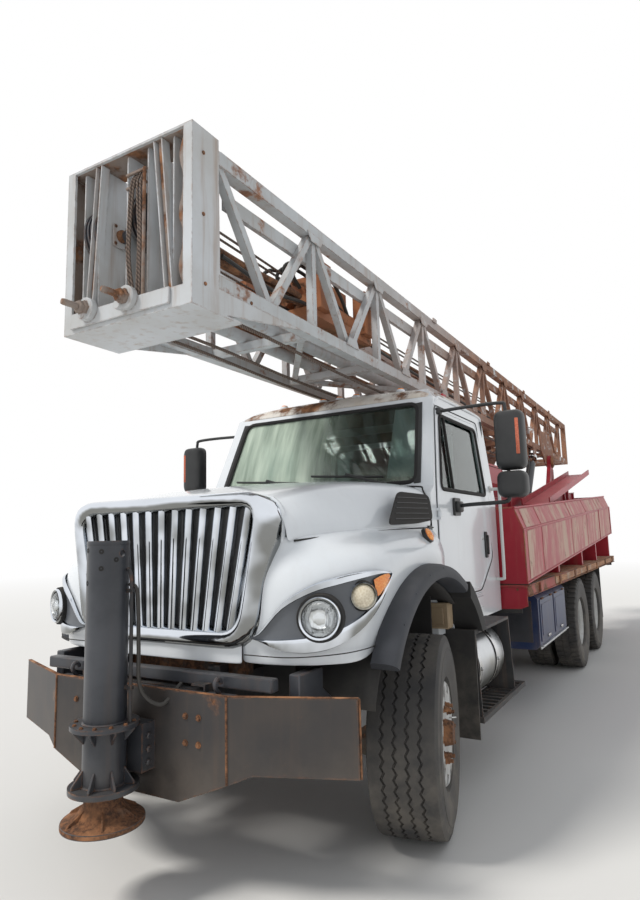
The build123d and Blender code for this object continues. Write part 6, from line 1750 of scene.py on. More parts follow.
window_edge = rounded([(0.770, 1.960), (0.975, 2.530), (1.870, 2.530), (1.870, 1.960)], 0.055, 5)
door_edge = [(0.663, 1.336), (0.653, 1.930), (0.905, 2.597), (1.957, 2.607), (1.957, 1.432), (1.599, 1.193),
             (0.923, 1.193)]
for side_name, side in SIDES:
    outward = Vector((side, 0, 0.1))
    work = Workpiece(f"door_trim_{side_name}").use(groove_rubber)
    loop(work, [on_side(side, y, z, 0.002) for y, z in window_edge], 0.015, 8, outward)
    bar(work, on_side(side, 1.045, 1.955, -0.004), on_side(side, 1.075, 2.532, -0.004), 0.022, 0.020, 0.003,
        up=(side, 0, 0))
    work.use(cab_white)
    inner_edge = [(1.31 + (y - 1.31) * 0.965, 1.90 + (z - 1.90) * 0.965)
                  for y, z in rounded(door_edge, 0.06, 3)]
    loop(work, [on_side(side, y, z, 0.0015) for y, z in inner_edge], 0.005, 6, outward)
    work.use(groove_rubber)
    loop(work, [on_side(side, y, z, 0.002) for y, z in rounded(door_edge, 0.05, 3)], 0.0045, 6, outward)
    work.use(black_plastic)
    block(work, at(side * 0.991, 1.742, 1.440), at(side * 1.006, 1.800, 1.655), 0.012)
    bar(work, at(side * 1.016, 1.771, 1.470), at(side * 1.016, 1.771, 1.625), 0.020, 0.012, 0.004,
        up=(side, 0, 0))
    for z in (1.478, 1.617):
        block(work, at(side * 1.000, 1.762, z - 0.010), at(side * 1.020, 1.780, z + 0.010), 0.003)
    work.use(rod_steel)
    turned(work, [(0.012, 0), (0.012, 0.005), (0.009, 0.007), (0, 0.007)], at(side * 0.991, 1.700, 1.600),
           (side, 0, 0), 16)
    work.use(black_plastic)
    side_plate(work, side, rounded(box(0.985, 1.775, 1.120, 1.905), 0.02), 0.991, 0.018)
    work.done(f"door_{side_name}", "trim_vinyl")

# %% [markdown]
# Each mirror is two rounded housings, a tall flat mirror above a small wide-angle one,
# on a bent tube arm. The housing is a soft box: an outline with round corners, drawn in
# at the back like a bowl.

# %% Mirrors
def housing(work, centre, wide, tall, deep):
    """A mirror housing that bulges forward, with its glass facing rearward."""
    work.use(black_plastic)
    outline = rounded(box(-wide / 2, -tall / 2, wide / 2, tall / 2), 0.060, 6)
    rows = []
    for share, depth in ((1.0, 0.50), (1.015, 0.30), (1.0, 0.0), (0.93, -0.30), (0.80, -0.46), (0.55, -0.52),
                         (0.2, -0.54)):
        rows.append([centre + Vector((x * share, depth * deep, z * (share * 0.5 + 0.5))) for x, z in outline])
    n = len(outline)
    points = [p for row in rows for p in row]
    faces = grid_faces(len(rows), n, ring=True) + [list(range((len(rows) - 1) * n, len(rows) * n))]
    inner = [centre + Vector((x * 0.93, 0.5 * deep, z * 0.97)) for x, z in outline]
    deeper = [centre + Vector((x * 0.92, 0.40 * deep, z * 0.96)) for x, z in outline]
    base = len(points)
    points += inner + deeper
    faces += [[i, (i + 1) % n, base + (i + 1) % n, base + i] for i in range(n)]
    faces += [[base + k for k in face] for face in grid_faces(2, n, ring=True)]
    work.add(points, faces)
    work.use(mirror_glass)
    work.add(deeper, [list(range(n))])


for side_name, side in SIDES:
    work = Workpiece(f"mirror_set_{side_name}")
    x, y = side * 1.445, 0.930
    housing(work, at(x, y, 2.285), 0.205, 0.420, 0.105)
    housing(work, at(x, y, 1.975), 0.205, 0.185, 0.110)
    work.use(old_amber)
    plate(work, rounded(box(-0.012, -0.125, 0.012, 0.125), 0.006),
          at(x + side * 0.066, y - 0.053, 2.300), SIDEWAYS, UPWARD, 0.004)
    work.use(black_plastic)
    tube(work, [at(side * 1.010, 1.050, 1.845), at(side * 1.13, 1.000, 1.850), at(side * 1.32, 0.945, 1.852),
                at(side * 1.400, 0.932, 1.858), at(side * 1.420, 0.930, 1.885),
                at(side * 1.422, 0.930, 1.920)],
         0.0145, 10, 6)
    tube(work, [at(side * 1.422, 0.945, 2.460), at(side * 1.420, 0.948, 2.530),
                at(side * 1.395, 0.950, 2.556), at(side * 1.20, 0.952, 2.560),
                at(side * 0.930, 0.955, 2.552)], 0.0125, 10, 6)
    tube(work, [at(side * 1.422, 0.945, 1.900), at(side * 1.422, 0.946, 2.200),
                at(side * 1.422, 0.945, 2.480)], 0.012, 8, 2)
    block(work, at(side * 1.000, 1.000, 1.800), at(side * 1.040, 1.100, 1.880), 0.010)
    block(work, at(side * 0.905, 0.925, 2.530), at(side * 0.950, 0.985, 2.580), 0.008)
    work.done(f"door_{side_name}", "black_plastic", sharp=50, replaces=f"mirror_{side_name}")

# %% [markdown]
# White grab rails stand on the cab's rear corners, the roof has a drip rail and its
# lamps, and the sill below each door has a pressed step.

# %% Rails, roof and sill
cab_trim = Workpiece("cab_trim")
for side in (1, -1):
    cab_trim.use(wheel_white)
    tube(cab_trim, [at(side * 0.985, 2.030, 1.250), at(side * 1.050, 2.032, 1.252),
                    at(side * 1.062, 2.034, 1.285), at(side * 1.062, 2.040, 1.60),
                    at(side * 1.060, 2.045, 1.985), at(side * 1.048, 2.046, 2.020),
                    at(side * 0.975, 2.046, 2.022)], 0.0135, 10, 5)
    for z in (1.250, 2.022):
        turned(cab_trim, [(0.030, 0), (0.030, 0.006), (0.016, 0.008)], at(side * 0.982, 2.038, z),
               (side, 0, 0), 16)
    cab_trim.use(cab_white)
    tube(cab_trim, [at(side * 0.907, y, z) for y, z in ((0.900, 2.600), (1.00, 2.662), (1.12, 2.680),
                                                        (2.00, 2.682), (2.12, 2.640))], 0.011, 8, 6)
    block(cab_trim, at(side * 0.985, 0.945, 1.060), at(side * 0.998, 1.620, 1.150), 0.010)
    bar(cab_trim, at(side * 0.994, 0.930, 1.172), at(side * 0.994, 1.600, 1.172), 0.010, 0.012, 0.004)
for x in (-0.56, -0.16, 0, 0.16, 0.56):
    cab_trim.use(cab_white)
    housing_at = at(x, 1.130, 2.799 - 0.006 * (abs(x) > 0.5))
    turned(cab_trim, [(0.038, -0.012), (0.036, 0.004), (0.030, 0.010), (0, 0.012)], housing_at,
           (0, 0.05, 1), 20)
    cab_trim.use(amber)
    turned(cab_trim, [(0.028, 0.008), (0.026, 0.018), (0.014, 0.0225), (0, 0.0235)], housing_at,
           (0, 0.05, 1), 20)
cab_trim.done("truck", "cab_paint")

# %% [markdown]
# ## Roof
# The roof is the part of the cab that has aged most: its front edge has rusted through
# the white and left tan patches. A separate crowned skin lies over the flat CAD roof, so
# that it can bulge a little, roll over at its front and carry its own finish.

# %% Roof skin
roof_mesh = bmesh.new()
ROOF_ROWS = [(0.918, 2.673), (0.935, 2.706), (0.975, 2.744), (1.035, 2.776), (1.110, 2.796), (1.300, 2.812),
             (1.600, 2.816), (1.900, 2.806), (2.040, 2.794), (2.105, 2.760), (2.146, 2.700)]
ROOF_HALF = [(0.0, 0.0), (0.30, -0.002), (0.55, -0.008), (0.70, -0.016), (0.790, -0.028), (0.860, -0.070),
             (0.898, -0.112)]
roof_spots = []
for number, (station, top) in enumerate(ROOF_ROWS):
    ease = max(0.0, 1 - abs(number - 5) / 5.2)
    row = []
    for x, drop in [(-x, d) for x, d in ROOF_HALF[:0:-1]] + ROOF_HALF:
        low = 2.673 if number < 5 else 2.690
        height = max(top + drop * (1.0 if top > 2.77 else 0.35), min(top, low))
        row.append(roof_mesh.verts.new(at(x * (0.972 + 0.034 * ease), station, height)))
    roof_spots.append(row)
for low, high in zip(roof_spots, roof_spots[1:]):
    for i in range(len(low) - 1):
        roof_mesh.faces.new([low[i], low[i + 1], high[i + 1], high[i]])
roof_data = mesh_of(roof_mesh, "roof_skin")
roof = new_piece("roof_skin", roof_data, [roof_white])
thicken(roof, 0.005, -1)
smoothen(roof, 2)
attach(roof, "truck")
print("roof", len(roof_data.polygons), "control faces")

# %% [markdown]
# ## Inside the cab
# Little of the inside shows through dusty glass, but an empty white box would glow. So
# the walls get a near-black lining, whose darkness is painted shade for the dim cab, the
# dash gets its hood and instruments, and the steering wheel a rim of its own.

# %% Dash, wheel and lining
SEAT_OUT = 0.470
inside = Workpiece("cab_furniture").use(painted_shade_lining)
dash_side = [(0.645, 1.500), (0.645, 1.885), (0.700, 1.905), (0.820, 1.895), (0.905, 1.865), (0.950, 1.800),
             (0.955, 1.720), (0.925, 1.640), (0.900, 1.500)]
plate(inside, dash_side, at(-0.880, 0, 0), BACKWARD, UPWARD, 1.760, 0.010)
plate(inside, rounded([(0.700, 1.880), (0.905, 1.880), (0.960, 1.955), (0.930, 1.985), (0.760, 1.975)],
                      0.03, 3),
      at(0.230, 0, 0), BACKWARD, UPWARD, 0.480, 0.008)
inside.use(black_plastic)
plate(inside, rounded(box(-0.190, -0.052, 0.190, 0.052), 0.03, 3),
      at(SEAT_OUT, 0.9485, 1.895), (1, 0, 0), (0, 0.35, 1), 0.006)
for x in (-0.115, 0.0, 0.115):
    turned(inside, [(0.046, 0), (0.046, 0.008), (0.040, 0.010), (0.038, 0.004), (0, 0.004)],
           at(SEAT_OUT + x, 0.958, 1.900), (0, 1, -0.35), 24)
for x in (-0.62, -0.46, -0.05, 0.12):
    plate(inside, rounded(box(-0.070, -0.035, 0.070, 0.035), 0.012, 2),
          at(x, 0.9585, 1.790), SIDEWAYS, UPWARD, 0.006)
    for row in range(4):
        bar(inside, at(x - 0.060, 0.968, 1.768 + row * 0.015), at(x + 0.060, 0.968, 1.768 + row * 0.015),
            0.004, 0.006, 0.001)
inside.use(painted_shade_lining)
block(inside, at(-0.200, 0.645, 1.022), at(0.200, 0.895, 1.515), 0.02)
WHEEL_MIDDLE, WHEEL_AXIS = at(SEAT_OUT, 1.130, 1.830), Vector((0, 250, 180)).normalized()
wheel_frame = frame_between(WHEEL_MIDDLE, WHEEL_MIDDLE + WHEEL_AXIS)
inside.use(black_plastic)
rim = [wheel_frame @ Vector((0.215 * cos(angle), 0.215 * sin(angle), 0)) for angle in around(40)]
loop(inside, rim, 0.0155, 10, WHEEL_AXIS)
for angle in around(3, 0.25):
    tip = wheel_frame @ Vector((0.205 * cos(angle), 0.205 * sin(angle), 0.0))
    bar(inside, WHEEL_MIDDLE, tip, 0.034, 0.014, 0.004, up=WHEEL_AXIS)
turned(inside, [(0, 0.030), (0.055, 0.026), (0.066, 0.010), (0.066, -0.010), (0.040, -0.020), (0.030, -0.060),
                (0.028, -0.300)],
       WHEEL_MIDDLE, WHEEL_AXIS, 28)
for x in (SEAT_OUT, -SEAT_OUT):
    inside.use(black_plastic)
    block(inside, at(x - 0.225, 1.360, 1.021), at(x + 0.225, 1.840, 1.070), 0.012)
    block(inside, at(x - 0.190, 1.400, 1.070), at(x + 0.190, 1.800, 1.290), 0.020)
    for number in range(5):
        bar(inside, at(x - 0.205, 1.385, 1.095 + number * 0.038),
            at(x + 0.205, 1.385, 1.095 + number * 0.038), 0.018, 0.014, 0.005)
    block(inside, at(x - 0.235, 1.340, 1.290), at(x + 0.235, 1.845, 1.348), 0.016)
    inside.use(rod_steel)
    tube(inside, [at(x + 0.245, 1.45, 1.32), at(x + 0.262, 1.42, 1.34), at(x + 0.262, 1.36, 1.35)], 0.006,
         6, 3)
inside.use(painted_shade_lining)
for x0, x1 in ((-0.925, -0.645), (0.645, 0.925)):
    block(inside, at(x0, 2.088, 1.022), at(x1, 2.104, 2.640), 0.004)
block(inside, at(-0.645, 2.088, 1.022), at(0.645, 2.104, 2.030), 0.004)
block(inside, at(-0.645, 2.088, 2.550), at(0.645, 2.104, 2.640), 0.004)
block(inside, at(-0.780, 1.100, 2.706), at(0.780, 2.040, 2.730), 0.010)
block(inside, at(-0.900, 0.660, 1.0205), at(0.900, 2.080, 1.030), 0.003)
for side in (1, -1):
    bar(inside, at(side * 0.795, 0.985, 2.655), at(side * 0.872, 0.690, 1.985), 0.050, 0.034, 0.010,
        up=(side, 0, 0))
    block(inside, at(side * 0.930, 2.000, 1.060), at(side * 0.944, 2.090, 1.920), 0.004)
inside.use(black_plastic)
for x in (0.28, -0.28):
    block(inside, at(x - 0.17, 1.010, 2.612), at(x + 0.17, 1.020, 2.700), 0.006)
inside.use(rod_steel)
tube(inside, [at(0.215, 1.02, 1.03), at(0.200, 1.00, 1.30), at(0.205, 1.06, 1.60), at(0.215, 1.10, 1.70)],
     0.012, 8, 5)
inside.use(black_plastic)
turned(inside, [(0, 0), (0.022, 0.004), (0.030, 0.022), (0.024, 0.046), (0, 0.054)], at(0.215, 1.10, 1.695),
       (0, 0.2, 1), 16)
inside.done("truck", "trim_vinyl", replaces="cab_interior")

# %% Door linings
for side_name, side in SIDES:
    # near-black door lining: its darkness is painted shade inside the cab
    work = Workpiece(f"door_lining_{side_name}").use(painted_shade_lining)
    lining = [(0.720, 1.365), (0.960, 1.240), (1.560, 1.240), (1.895, 1.470), (1.895, 1.905), (0.720, 1.905)]
    side_plate(work, side, rounded(lining, 0.05), 0.940, 0.0085)
    block(work, at(side * 0.885, 1.150, 1.640), at(side * 0.941, 1.640, 1.700), 0.018)
    work.use(black_plastic)
    block(work, at(side * 0.925, 1.020, 1.735), at(side * 0.941, 1.130, 1.775), 0.005)
    work.done(f"door_{side_name}", "trim_vinyl")

# %% [markdown]
# ## Seats
# Foam under vinyl swells between its seams, and that is hard to draw but easy to
# simulate. Each cushion starts as a plain block, a little small. Its surface is remade
# in even cells, cloth pressure blows it up for a moment, and no point may move further
# than a cap. The sewn channels are pressed in afterwards, since the new cells would
# swallow them. The simulated shape is then applied, so the scene keeps only a mesh.

# %% Padded form
def padded_form(name, low, high, channels, cap=0.024):
    """A cushion between two corners, with sewn channels at the given x."""
    low, high = Vector(low), Vector(high)
    blank = bmesh.new()
    bmesh.ops.create_cube(blank, size=1)
    size, centre = high - low, (high + low) / 2
    for vert in blank.verts:
        vert.co = Vector((vert.co.x * size.x, vert.co.y * size.y, vert.co.z * size.z)) + centre
    bmesh.ops.bevel(blank, geom=blank.edges[:], offset=min(size) * 0.22, segments=3, affect="EDGES",
                    profile=0.6)
    pad = new_piece(name, mesh_of(blank, name), [])
    cells = pad.modifiers.new("cells", "REMESH")
    cells.mode, cells.voxel_size = "VOXEL", 0.014
    graph = bpy.context.evaluated_depsgraph_get()
    pad.data = bpy.data.meshes.new_from_object(pad.evaluated_get(graph))
    pad.modifiers.remove(cells)
    start = [vert.co.copy() for vert in pad.data.vertices]
    cloth = pad.modifiers.new("swell", "CLOTH")
    cloth.settings.use_pressure = True
    cloth.settings.uniform_pressure_force = 4
    cloth.settings.effector_weights.gravity = 0
    cloth.point_cache.frame_start, cloth.point_cache.frame_end = 1, 20
    for frame_number in range(1, 21):
        bpy.context.scene.frame_set(frame_number)
    swollen = pad.evaluated_get(bpy.context.evaluated_depsgraph_get()).data
    moved = [vert.co.copy() for vert in swollen.vertices]
    pad.modifiers.remove(cloth)
    bpy.context.scene.frame_set(1)
    for vert, before, after in zip(pad.data.vertices, start, moved):
        step = after - before
        if step.length > cap:
            step = step.normalized() * cap
        vert.co = before + step
    for vert in pad.data.vertices:
        press = 0.0
        for channel in channels:
            press = max(press, 1 - min(1, abs(vert.co.x - channel) / 0.020) ** 1.5)
        vert.co = vert.co - vert.normal * 0.009 * press
    smoothen(pad, 1)
    pad.data.materials.clear()
    pad.data.materials.append(seat_vinyl)
    pad.data.shade_smooth()
    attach(pad, "truck")
    print(name, len(pad.data.vertices), "points")


for side_name, side in SIDES:
    x = side * SEAT_OUT
    padded_form(f"seat_cushion_{side_name}", at(x - 0.230, 1.345, 1.372), at(x + 0.230, 1.828, 1.448),
                (x - 0.10, x + 0.10))
    padded_form(f"seat_back_{side_name}", at(x - 0.222, 1.822, 1.478), at(x + 0.222, 1.898, 2.140),
                (x - 0.10, x + 0.10))

# %% [markdown]
# ## The crown
# The crown box at the mast's head is a welded frame that is open to the front. Inside it
# stand five cheek plates that hold the rope sheaves between them, and two pairs of flat
# ribs lean in front of them. Seen from the road this is the nearest part of the mast, so its
# plates, bearings, ropes and anchor bolts are all drawn one by one.

# %% Cheeks and ribs
crown = Workpiece("crown_details").use(crown_grey)
for x in (-0.366, -0.242, -0.022, 0.132, 0.318):
    plate(crown, rounded([(0, 0), (0.175, 0), (0.205, 0.16), (0.205, 0.850), (0, 0.850)], 0.02, 2),
          at(x, -1.222, 2.915), BACKWARD, UPWARD, 0.010)
for top, foot in ((-0.252, -0.312), (-0.210, -0.262), (0.192, 0.280), (0.248, 0.330)):
    lean = Vector((top - foot, 0, 0.850))
    plate(crown, box(0, 0, 0.058, lean.length), at(foot, -1.243, 2.912),
          BACKWARD, lean, 0.009)
crown.use(crown_inside)
for top, foot in ((-0.231, -0.287), (0.220, 0.305)):
    lean = Vector((top - foot, 0, 0.846))
    plate(crown, box(0, 0, 0.028, lean.length), at(foot - 0.010, -1.222, 2.914),
          BACKWARD, lean, 0.026)
SHEAVE_STATION, SHEAVE_HEIGHT = -1.080, 3.400
for x in (-0.230, 0.144, -0.354):
    crown.use(crown_grey)
    plate(crown, rounded(box(-0.055, -0.070, 0.055, 0.070), 0.02, 3),
          at(x, SHEAVE_STATION, SHEAVE_HEIGHT), BACKWARD, UPWARD, 0.012)
    crown.use(rusty_steel)
    turned(crown, [(0.036, 0), (0.036, 0.020), (0.028, 0.026), (0, 0.026)],
           at(x + 0.010, SHEAVE_STATION, SHEAVE_HEIGHT), (1, 0, 0), 20)
    for y, z in ((-0.040, -0.052), (0.040, -0.052), (0.040, 0.052), (-0.040, 0.052)):
        bolt(crown, at(x + 0.012, SHEAVE_STATION + y, SHEAVE_HEIGHT + z), (1, 0, 0), 0.009)
print("crown cheeks and ribs drawn")

# %% [markdown]
# Two rusty anchor bolts come through the sill, each in a round pale collar, and a bundle
# of old wire ropes hangs beside the middle sheaves. The inner faces of the box were never
# repainted, so thin liners give them their own brown finish.

# %% Anchors, ropes and liners
crown.use(crown_grey)
bar(crown, at(-0.405, -1.258, 2.868), at(0.335, -1.258, 2.868), 0.088, 0.014, 0.003, up=(0, 1, 0))
for x in (-0.250, 0.055):
    crown.use(crown_grey)
    turned(crown, [(0, 0), (0.062, 0), (0.064, 0.004), (0.064, 0.034), (0.058, 0.040), (0.034, 0.040),
                   (0.030, 0.030), (0, 0.030)], at(x, -1.263, 2.905), (0, -1, 0), 28)
    crown.use(crown_inside)
    turned(crown, [(0.044, 0), (0.044, 0.022), (0.038, 0.028), (0, 0.028)], at(x, -1.295, 2.905),
           (0, -1, 0), 6)
    turned(crown, [(0.036, 0), (0.036, 0.020), (0.031, 0.025), (0, 0.025)], at(x, -1.322, 2.905),
           (0, -1, 0), 6)
    turned(crown, [(0.019, 0), *[(0.019 - 0.002 * (i % 2), 0.006 * i) for i in range(1, 14)], (0.015, 0.086),
                   (0, 0.086)], at(x, -1.345, 2.905), (-0.28, -1, 0.10), 12)
crown.use(wire_rope)
for a, b, c in ((0.030, 0.020, 0.046), (0.052, 0.036, 0.068), (0.078, 0.098, 0.086), (0.104, 0.112, 0.106)):
    tube(crown, [at(a, -1.205, 3.640), at(a, -1.240, 3.560), at(b, -1.247, 3.300), at(b, -1.247, 3.120),
                 at(c, -1.243, 2.925)], 0.0075, 7, 5)
crown.use(crown_inside)
round_bar(crown, at(0.128, -1.238, 2.920), at(0.128, -1.238, 3.640), 0.010)
for z in (3.640, 3.560):
    bar(crown, at(-0.02, -1.226, z), at(0.135, -1.226, z), 0.016, 0.016, 0.003)
LOBES = [(0.396, 3.735), (0.384, 3.700), (0.368, 3.640), (0.376, 3.580), (0.392, 3.520), (0.388, 3.420),
         (0.366, 3.330), (0.374, 3.270), (0.392, 3.210), (0.386, 3.110), (0.368, 3.030), (0.378, 2.970),
         (0.394, 2.930)]
edge_line = smooth_path([at(x, -1.228, z) for x, z in LOBES], 4)
strip = [[p, p + Vector((0.022, 0.004, 0)), p + Vector((0.022, 0.030, 0)), p + Vector((0.004, 0.026, 0))]
         for p in edge_line]
crown.skin(strip, ring=True, caps=True)
crown.use(crown_inside)
for side in (1, -1):
    side_plate(crown, side, box(-1.234, 2.815, -1.045, 3.762), 0.4575, 0.003, 0.001)
for rear, z in ((0.205, 3.7625), (0.385, 2.8145)):
    plate(crown, box(-0.455, 0.016, 0.455, rear), at(0, -1.250, z), SIDEWAYS, BACKWARD, 0.003, 0.001)
crown.use(rust_edge)
for side in (1, -1):
    for y, z in ((-1.165, 3.640), (-1.150, 2.930), (-0.760, 2.950), (-1.165, 3.300)):
        turned(crown, [(0, 0.0005), (0.011, 0.0005), (0.010, 0.005), (0, 0.006)], at(side * 0.475, y, z),
               (side, 0, 0), 10)
crown.done("mast", "mast_paint")

# %% [markdown]
# ## Inside the mast
# Steel ropes leave the sheaves and run the length of the mast, some above the drilling
# head and some in the open below the lacing. Beside them lie old pipes and hoses. None
# of them hangs free, so each is a drawn tube with a little sag between its supports.

# %% Ropes and pipes
lines = Workpiece("mast_lines").use(wire_rope)
for x, high, low in ((0.032, 3.576, 3.500), (0.088, 3.576, 3.500), (-0.272, 3.576, 3.520)):
    tube(lines, [at(x, -1.060, high), at(x, -0.300, high - 0.02), at(x, 1.800, low), at(x, 5.0, low),
                 at(x, 8.6, low + 0.02)],
         0.0085, 7, 5)
for x in (-0.105, -0.250, 0.285):
    start = -0.90 if x < 0 else -1.0
    tube(lines, [at(x, start, 2.900), at(x, -0.30, 2.898), at(x, 0.60, 2.870), at(x, 1.80, 2.862),
                 at(x, 4.5, 2.868), at(x, 7.0, 2.900), at(x, 8.2, 2.955)], 0.011, 8, 6)
lines.use(rusty_steel)
for x, z, radius, rear in ((0.205, 3.335, 0.030, 0.12), (0.262, 3.318, 0.020, 0.10),
                           (0.160, 3.310, 0.018, 0.12), (0.230, 3.275, 0.016, 7.4),
                           (-0.215, 3.150, 0.030, 7.2), (-0.290, 3.140, 0.018, 7.6)):
    tube(lines, [at(x, -1.020, z), at(x, -0.55, z - 0.012), at(x, 0.0, z + 0.006), at(x, min(rear, 3.0), z),
                 *([at(x, rear, z)] if rear > 3 else [])], radius, 10, 5)
lines.use(hose_rubber)
for x, y, z in ((0.120, -0.90, 3.260), (0.300, -0.80, 3.260), (-0.08, -0.90, 3.240)):
    tube(lines, [at(x, y, z), at(x + 0.03, y + 0.5, z - 0.06), at(x - 0.02, y + 1.1, z + 0.02),
                 at(x + 0.02, y + 2.4, z - 0.07), at(x, 3.4, z - 0.10), at(x, 5.6, z - 0.12)], 0.013, 8, 6)
lines.done("mast", "rusty_steel")

# %% [markdown]
# The lattice itself gets the marks of its making: small gusset plates where braces and
# posts meet the chords, weld beads round the posts, and narrow strips along the top chord
# on which the rust of years has settled.

# %% Gussets, welds and rails
MAST_FACE, FIRST_POST = 0.4755, -0.030
GUSSET_LOW = [(-0.095, 0), (0.095, 0), (0.060, 0.066), (-0.060, 0.066)]
GUSSET_HIGH = [(-0.105, 0), (0.105, 0), (0.060, -0.062), (-0.060, -0.062)]
POST_RING = [(0.028, 0.028), (0.028, -0.028), (-0.028, -0.028), (-0.028, 0.028), (0.028, 0.028)]
lattice = Workpiece("mast_fittings").use(mast_grey)
for side in (1, -1):
    for number in (0, 1, 2, 3, 4, 5, 8):
        middle = FIRST_POST + number + 0.5
        side_plate(lattice, side, [(middle + y, 3.004 + z) for y, z in GUSSET_LOW], MAST_FACE, 0.008)
    for number in range(10):
        station = FIRST_POST + number
        side_plate(lattice, side, [(station + y, 3.656 + z) for y, z in GUSSET_HIGH], MAST_FACE, 0.007)
        lattice.use(rust_edge)
        for z in (3.022, 3.638):
            ring = [at(side * (0.435 + a), station + b, z) for a, b in POST_RING]
            for a, b in zip(ring, ring[1:]):
                round_bar(lattice, a, b, 0.005, 6, 0.001)
        lattice.use(mast_grey)
    bar(lattice, at(side * 0.468, -1.02, 3.7225), at(side * 0.468, 9.59, 3.7225), 0.012, 0.005, 0.001)
    bar(lattice, at(side * 0.400, -1.02, 3.7225), at(side * 0.400, 9.59, 3.7225), 0.010, 0.005, 0.001)
    for number in range(4):
        station = 2.2 + number * 1.9
        block(lattice, at(side * 0.478, station, 3.700), at(side * 0.492, station + 0.09, 3.742), 0.003)
lattice.use(rusty_steel)
for number, (x, width, length) in enumerate(((0.425, 0.020, 0.32), (0.445, 0.030, 0.22), (0.430, 0.024, 0.45),
                                             (0.440, 0.018, 0.28), (0.428, 0.030, 0.30),
                                             (0.438, 0.022, 0.40))):
    station = 0.55 + number * 0.72
    for side in (1, -1):
        bar(lattice, at(side * x, station, 3.7235), at(side * (x + 0.008), station + length, 3.7240), width,
            0.007, 0.002)
lattice.done("mast", "mast_paint")

# %% [markdown]
# The drilling head carries a hydraulic motor, a gear case with bolted covers and a
# swivel. Its bright orange rust is the warmest colour on the whole rig, so these parts
# get a finish of their own.

# %% Drilling head
head = Workpiece("head_details").use(orange_rust)
for x, z, radius in ((0.235, 3.335, 0.072), (-0.235, 3.335, 0.072)):
    turned(head, [(0, 0), (radius * 0.72, 0), (radius * 0.80, 0.010), (radius * 0.80, 0.060),
                  (radius * 1.08, 0.066), (radius * 1.08, 0.092), (radius, 0.098), (radius, 0.70),
                  (radius * 1.10, 0.706), (radius * 1.10, 0.740), (radius * 0.62, 0.746),
                  (radius * 0.62, 0.800), (0, 0.800)], at(x, 0.215, z), (0, 1, 0), 28)
turned(head, [(0, 0), (0.150, 0), (0.156, 0.008), (0.156, 0.030), (0.150, 0.036), (0.118, 0.036)],
       at(0, 0.365, 3.420), (0, 1, 0), 32)
turned(head, [(0.118, 0.0), (0.124, 0.004), (0.124, 0.016), (0.110, 0.022), (0.060, 0.022), (0.056, 0.040),
              (0, 0.040)],
       at(0, 0.232, 3.420), (0, -1, 0), 28)
turned(head, [(0.105, 0), (0.108, 0.006), (0.108, 0.050), (0.100, 0.060), (0.084, 0.060)],
       at(0, 0.900, 3.420), (0, 1, 0), 28)
for x, y in ((-0.16, 0.44), (0.16, 0.44), (0.16, 0.86), (-0.16, 0.86), (0, 0.44), (0, 0.86)):
    bolt(head, at(x, y, 3.600), (0, 0, 1), 0.016)
plate(head, rounded(box(-0.190, 0.415, 0.190, 0.885), 0.03, 3), at(0, 0, 3.5995), (1, 0, 0),
      BACKWARD, 0.010)
for side in (1, -1):
    side_plate(head, side, rounded(box(0.44, 3.29, 0.86, 3.56), 0.05, 3), 0.2105, 0.010)
    for y in (0.47, 0.65, 0.83):
        for z in (3.315, 3.535):
            bolt(head, at(side * 0.2205, y, z), (side, 0, 0), 0.012)
head.use(hose_rubber)
for x, lift in ((0.06, 0.05), (0.12, 0.09), (-0.07, 0.07), (0.20, 0.03)):
    tube(head, [at(x, 0.205, 3.430), at(x, 0.120, 3.480 + lift), at(x + 0.06, 0.200, 3.585 + lift * 0.4),
                at(x + 0.12, 0.420, 3.560), at(x + 0.10, 0.640, 3.480), at(0.285, 0.80, 3.34)], 0.014, 8, 6)
head.use(rusty_steel)
for station in (0.20, 0.62, 0.98):
    for side in (1, -1):
        block(head, at(side * 0.150, station, 3.262), at(side * 0.318, station + 0.035, 3.300), 0.004)
head.done("rotary_head", "rusty_steel")

# %% [markdown]
# ## Deck
# The deck is a steel frame with planks laid on it. Its long edge channels carry the
# rust-coloured boards that catch the light beside the bins, and a red skirt closes the
# front below the deck, behind the cab.

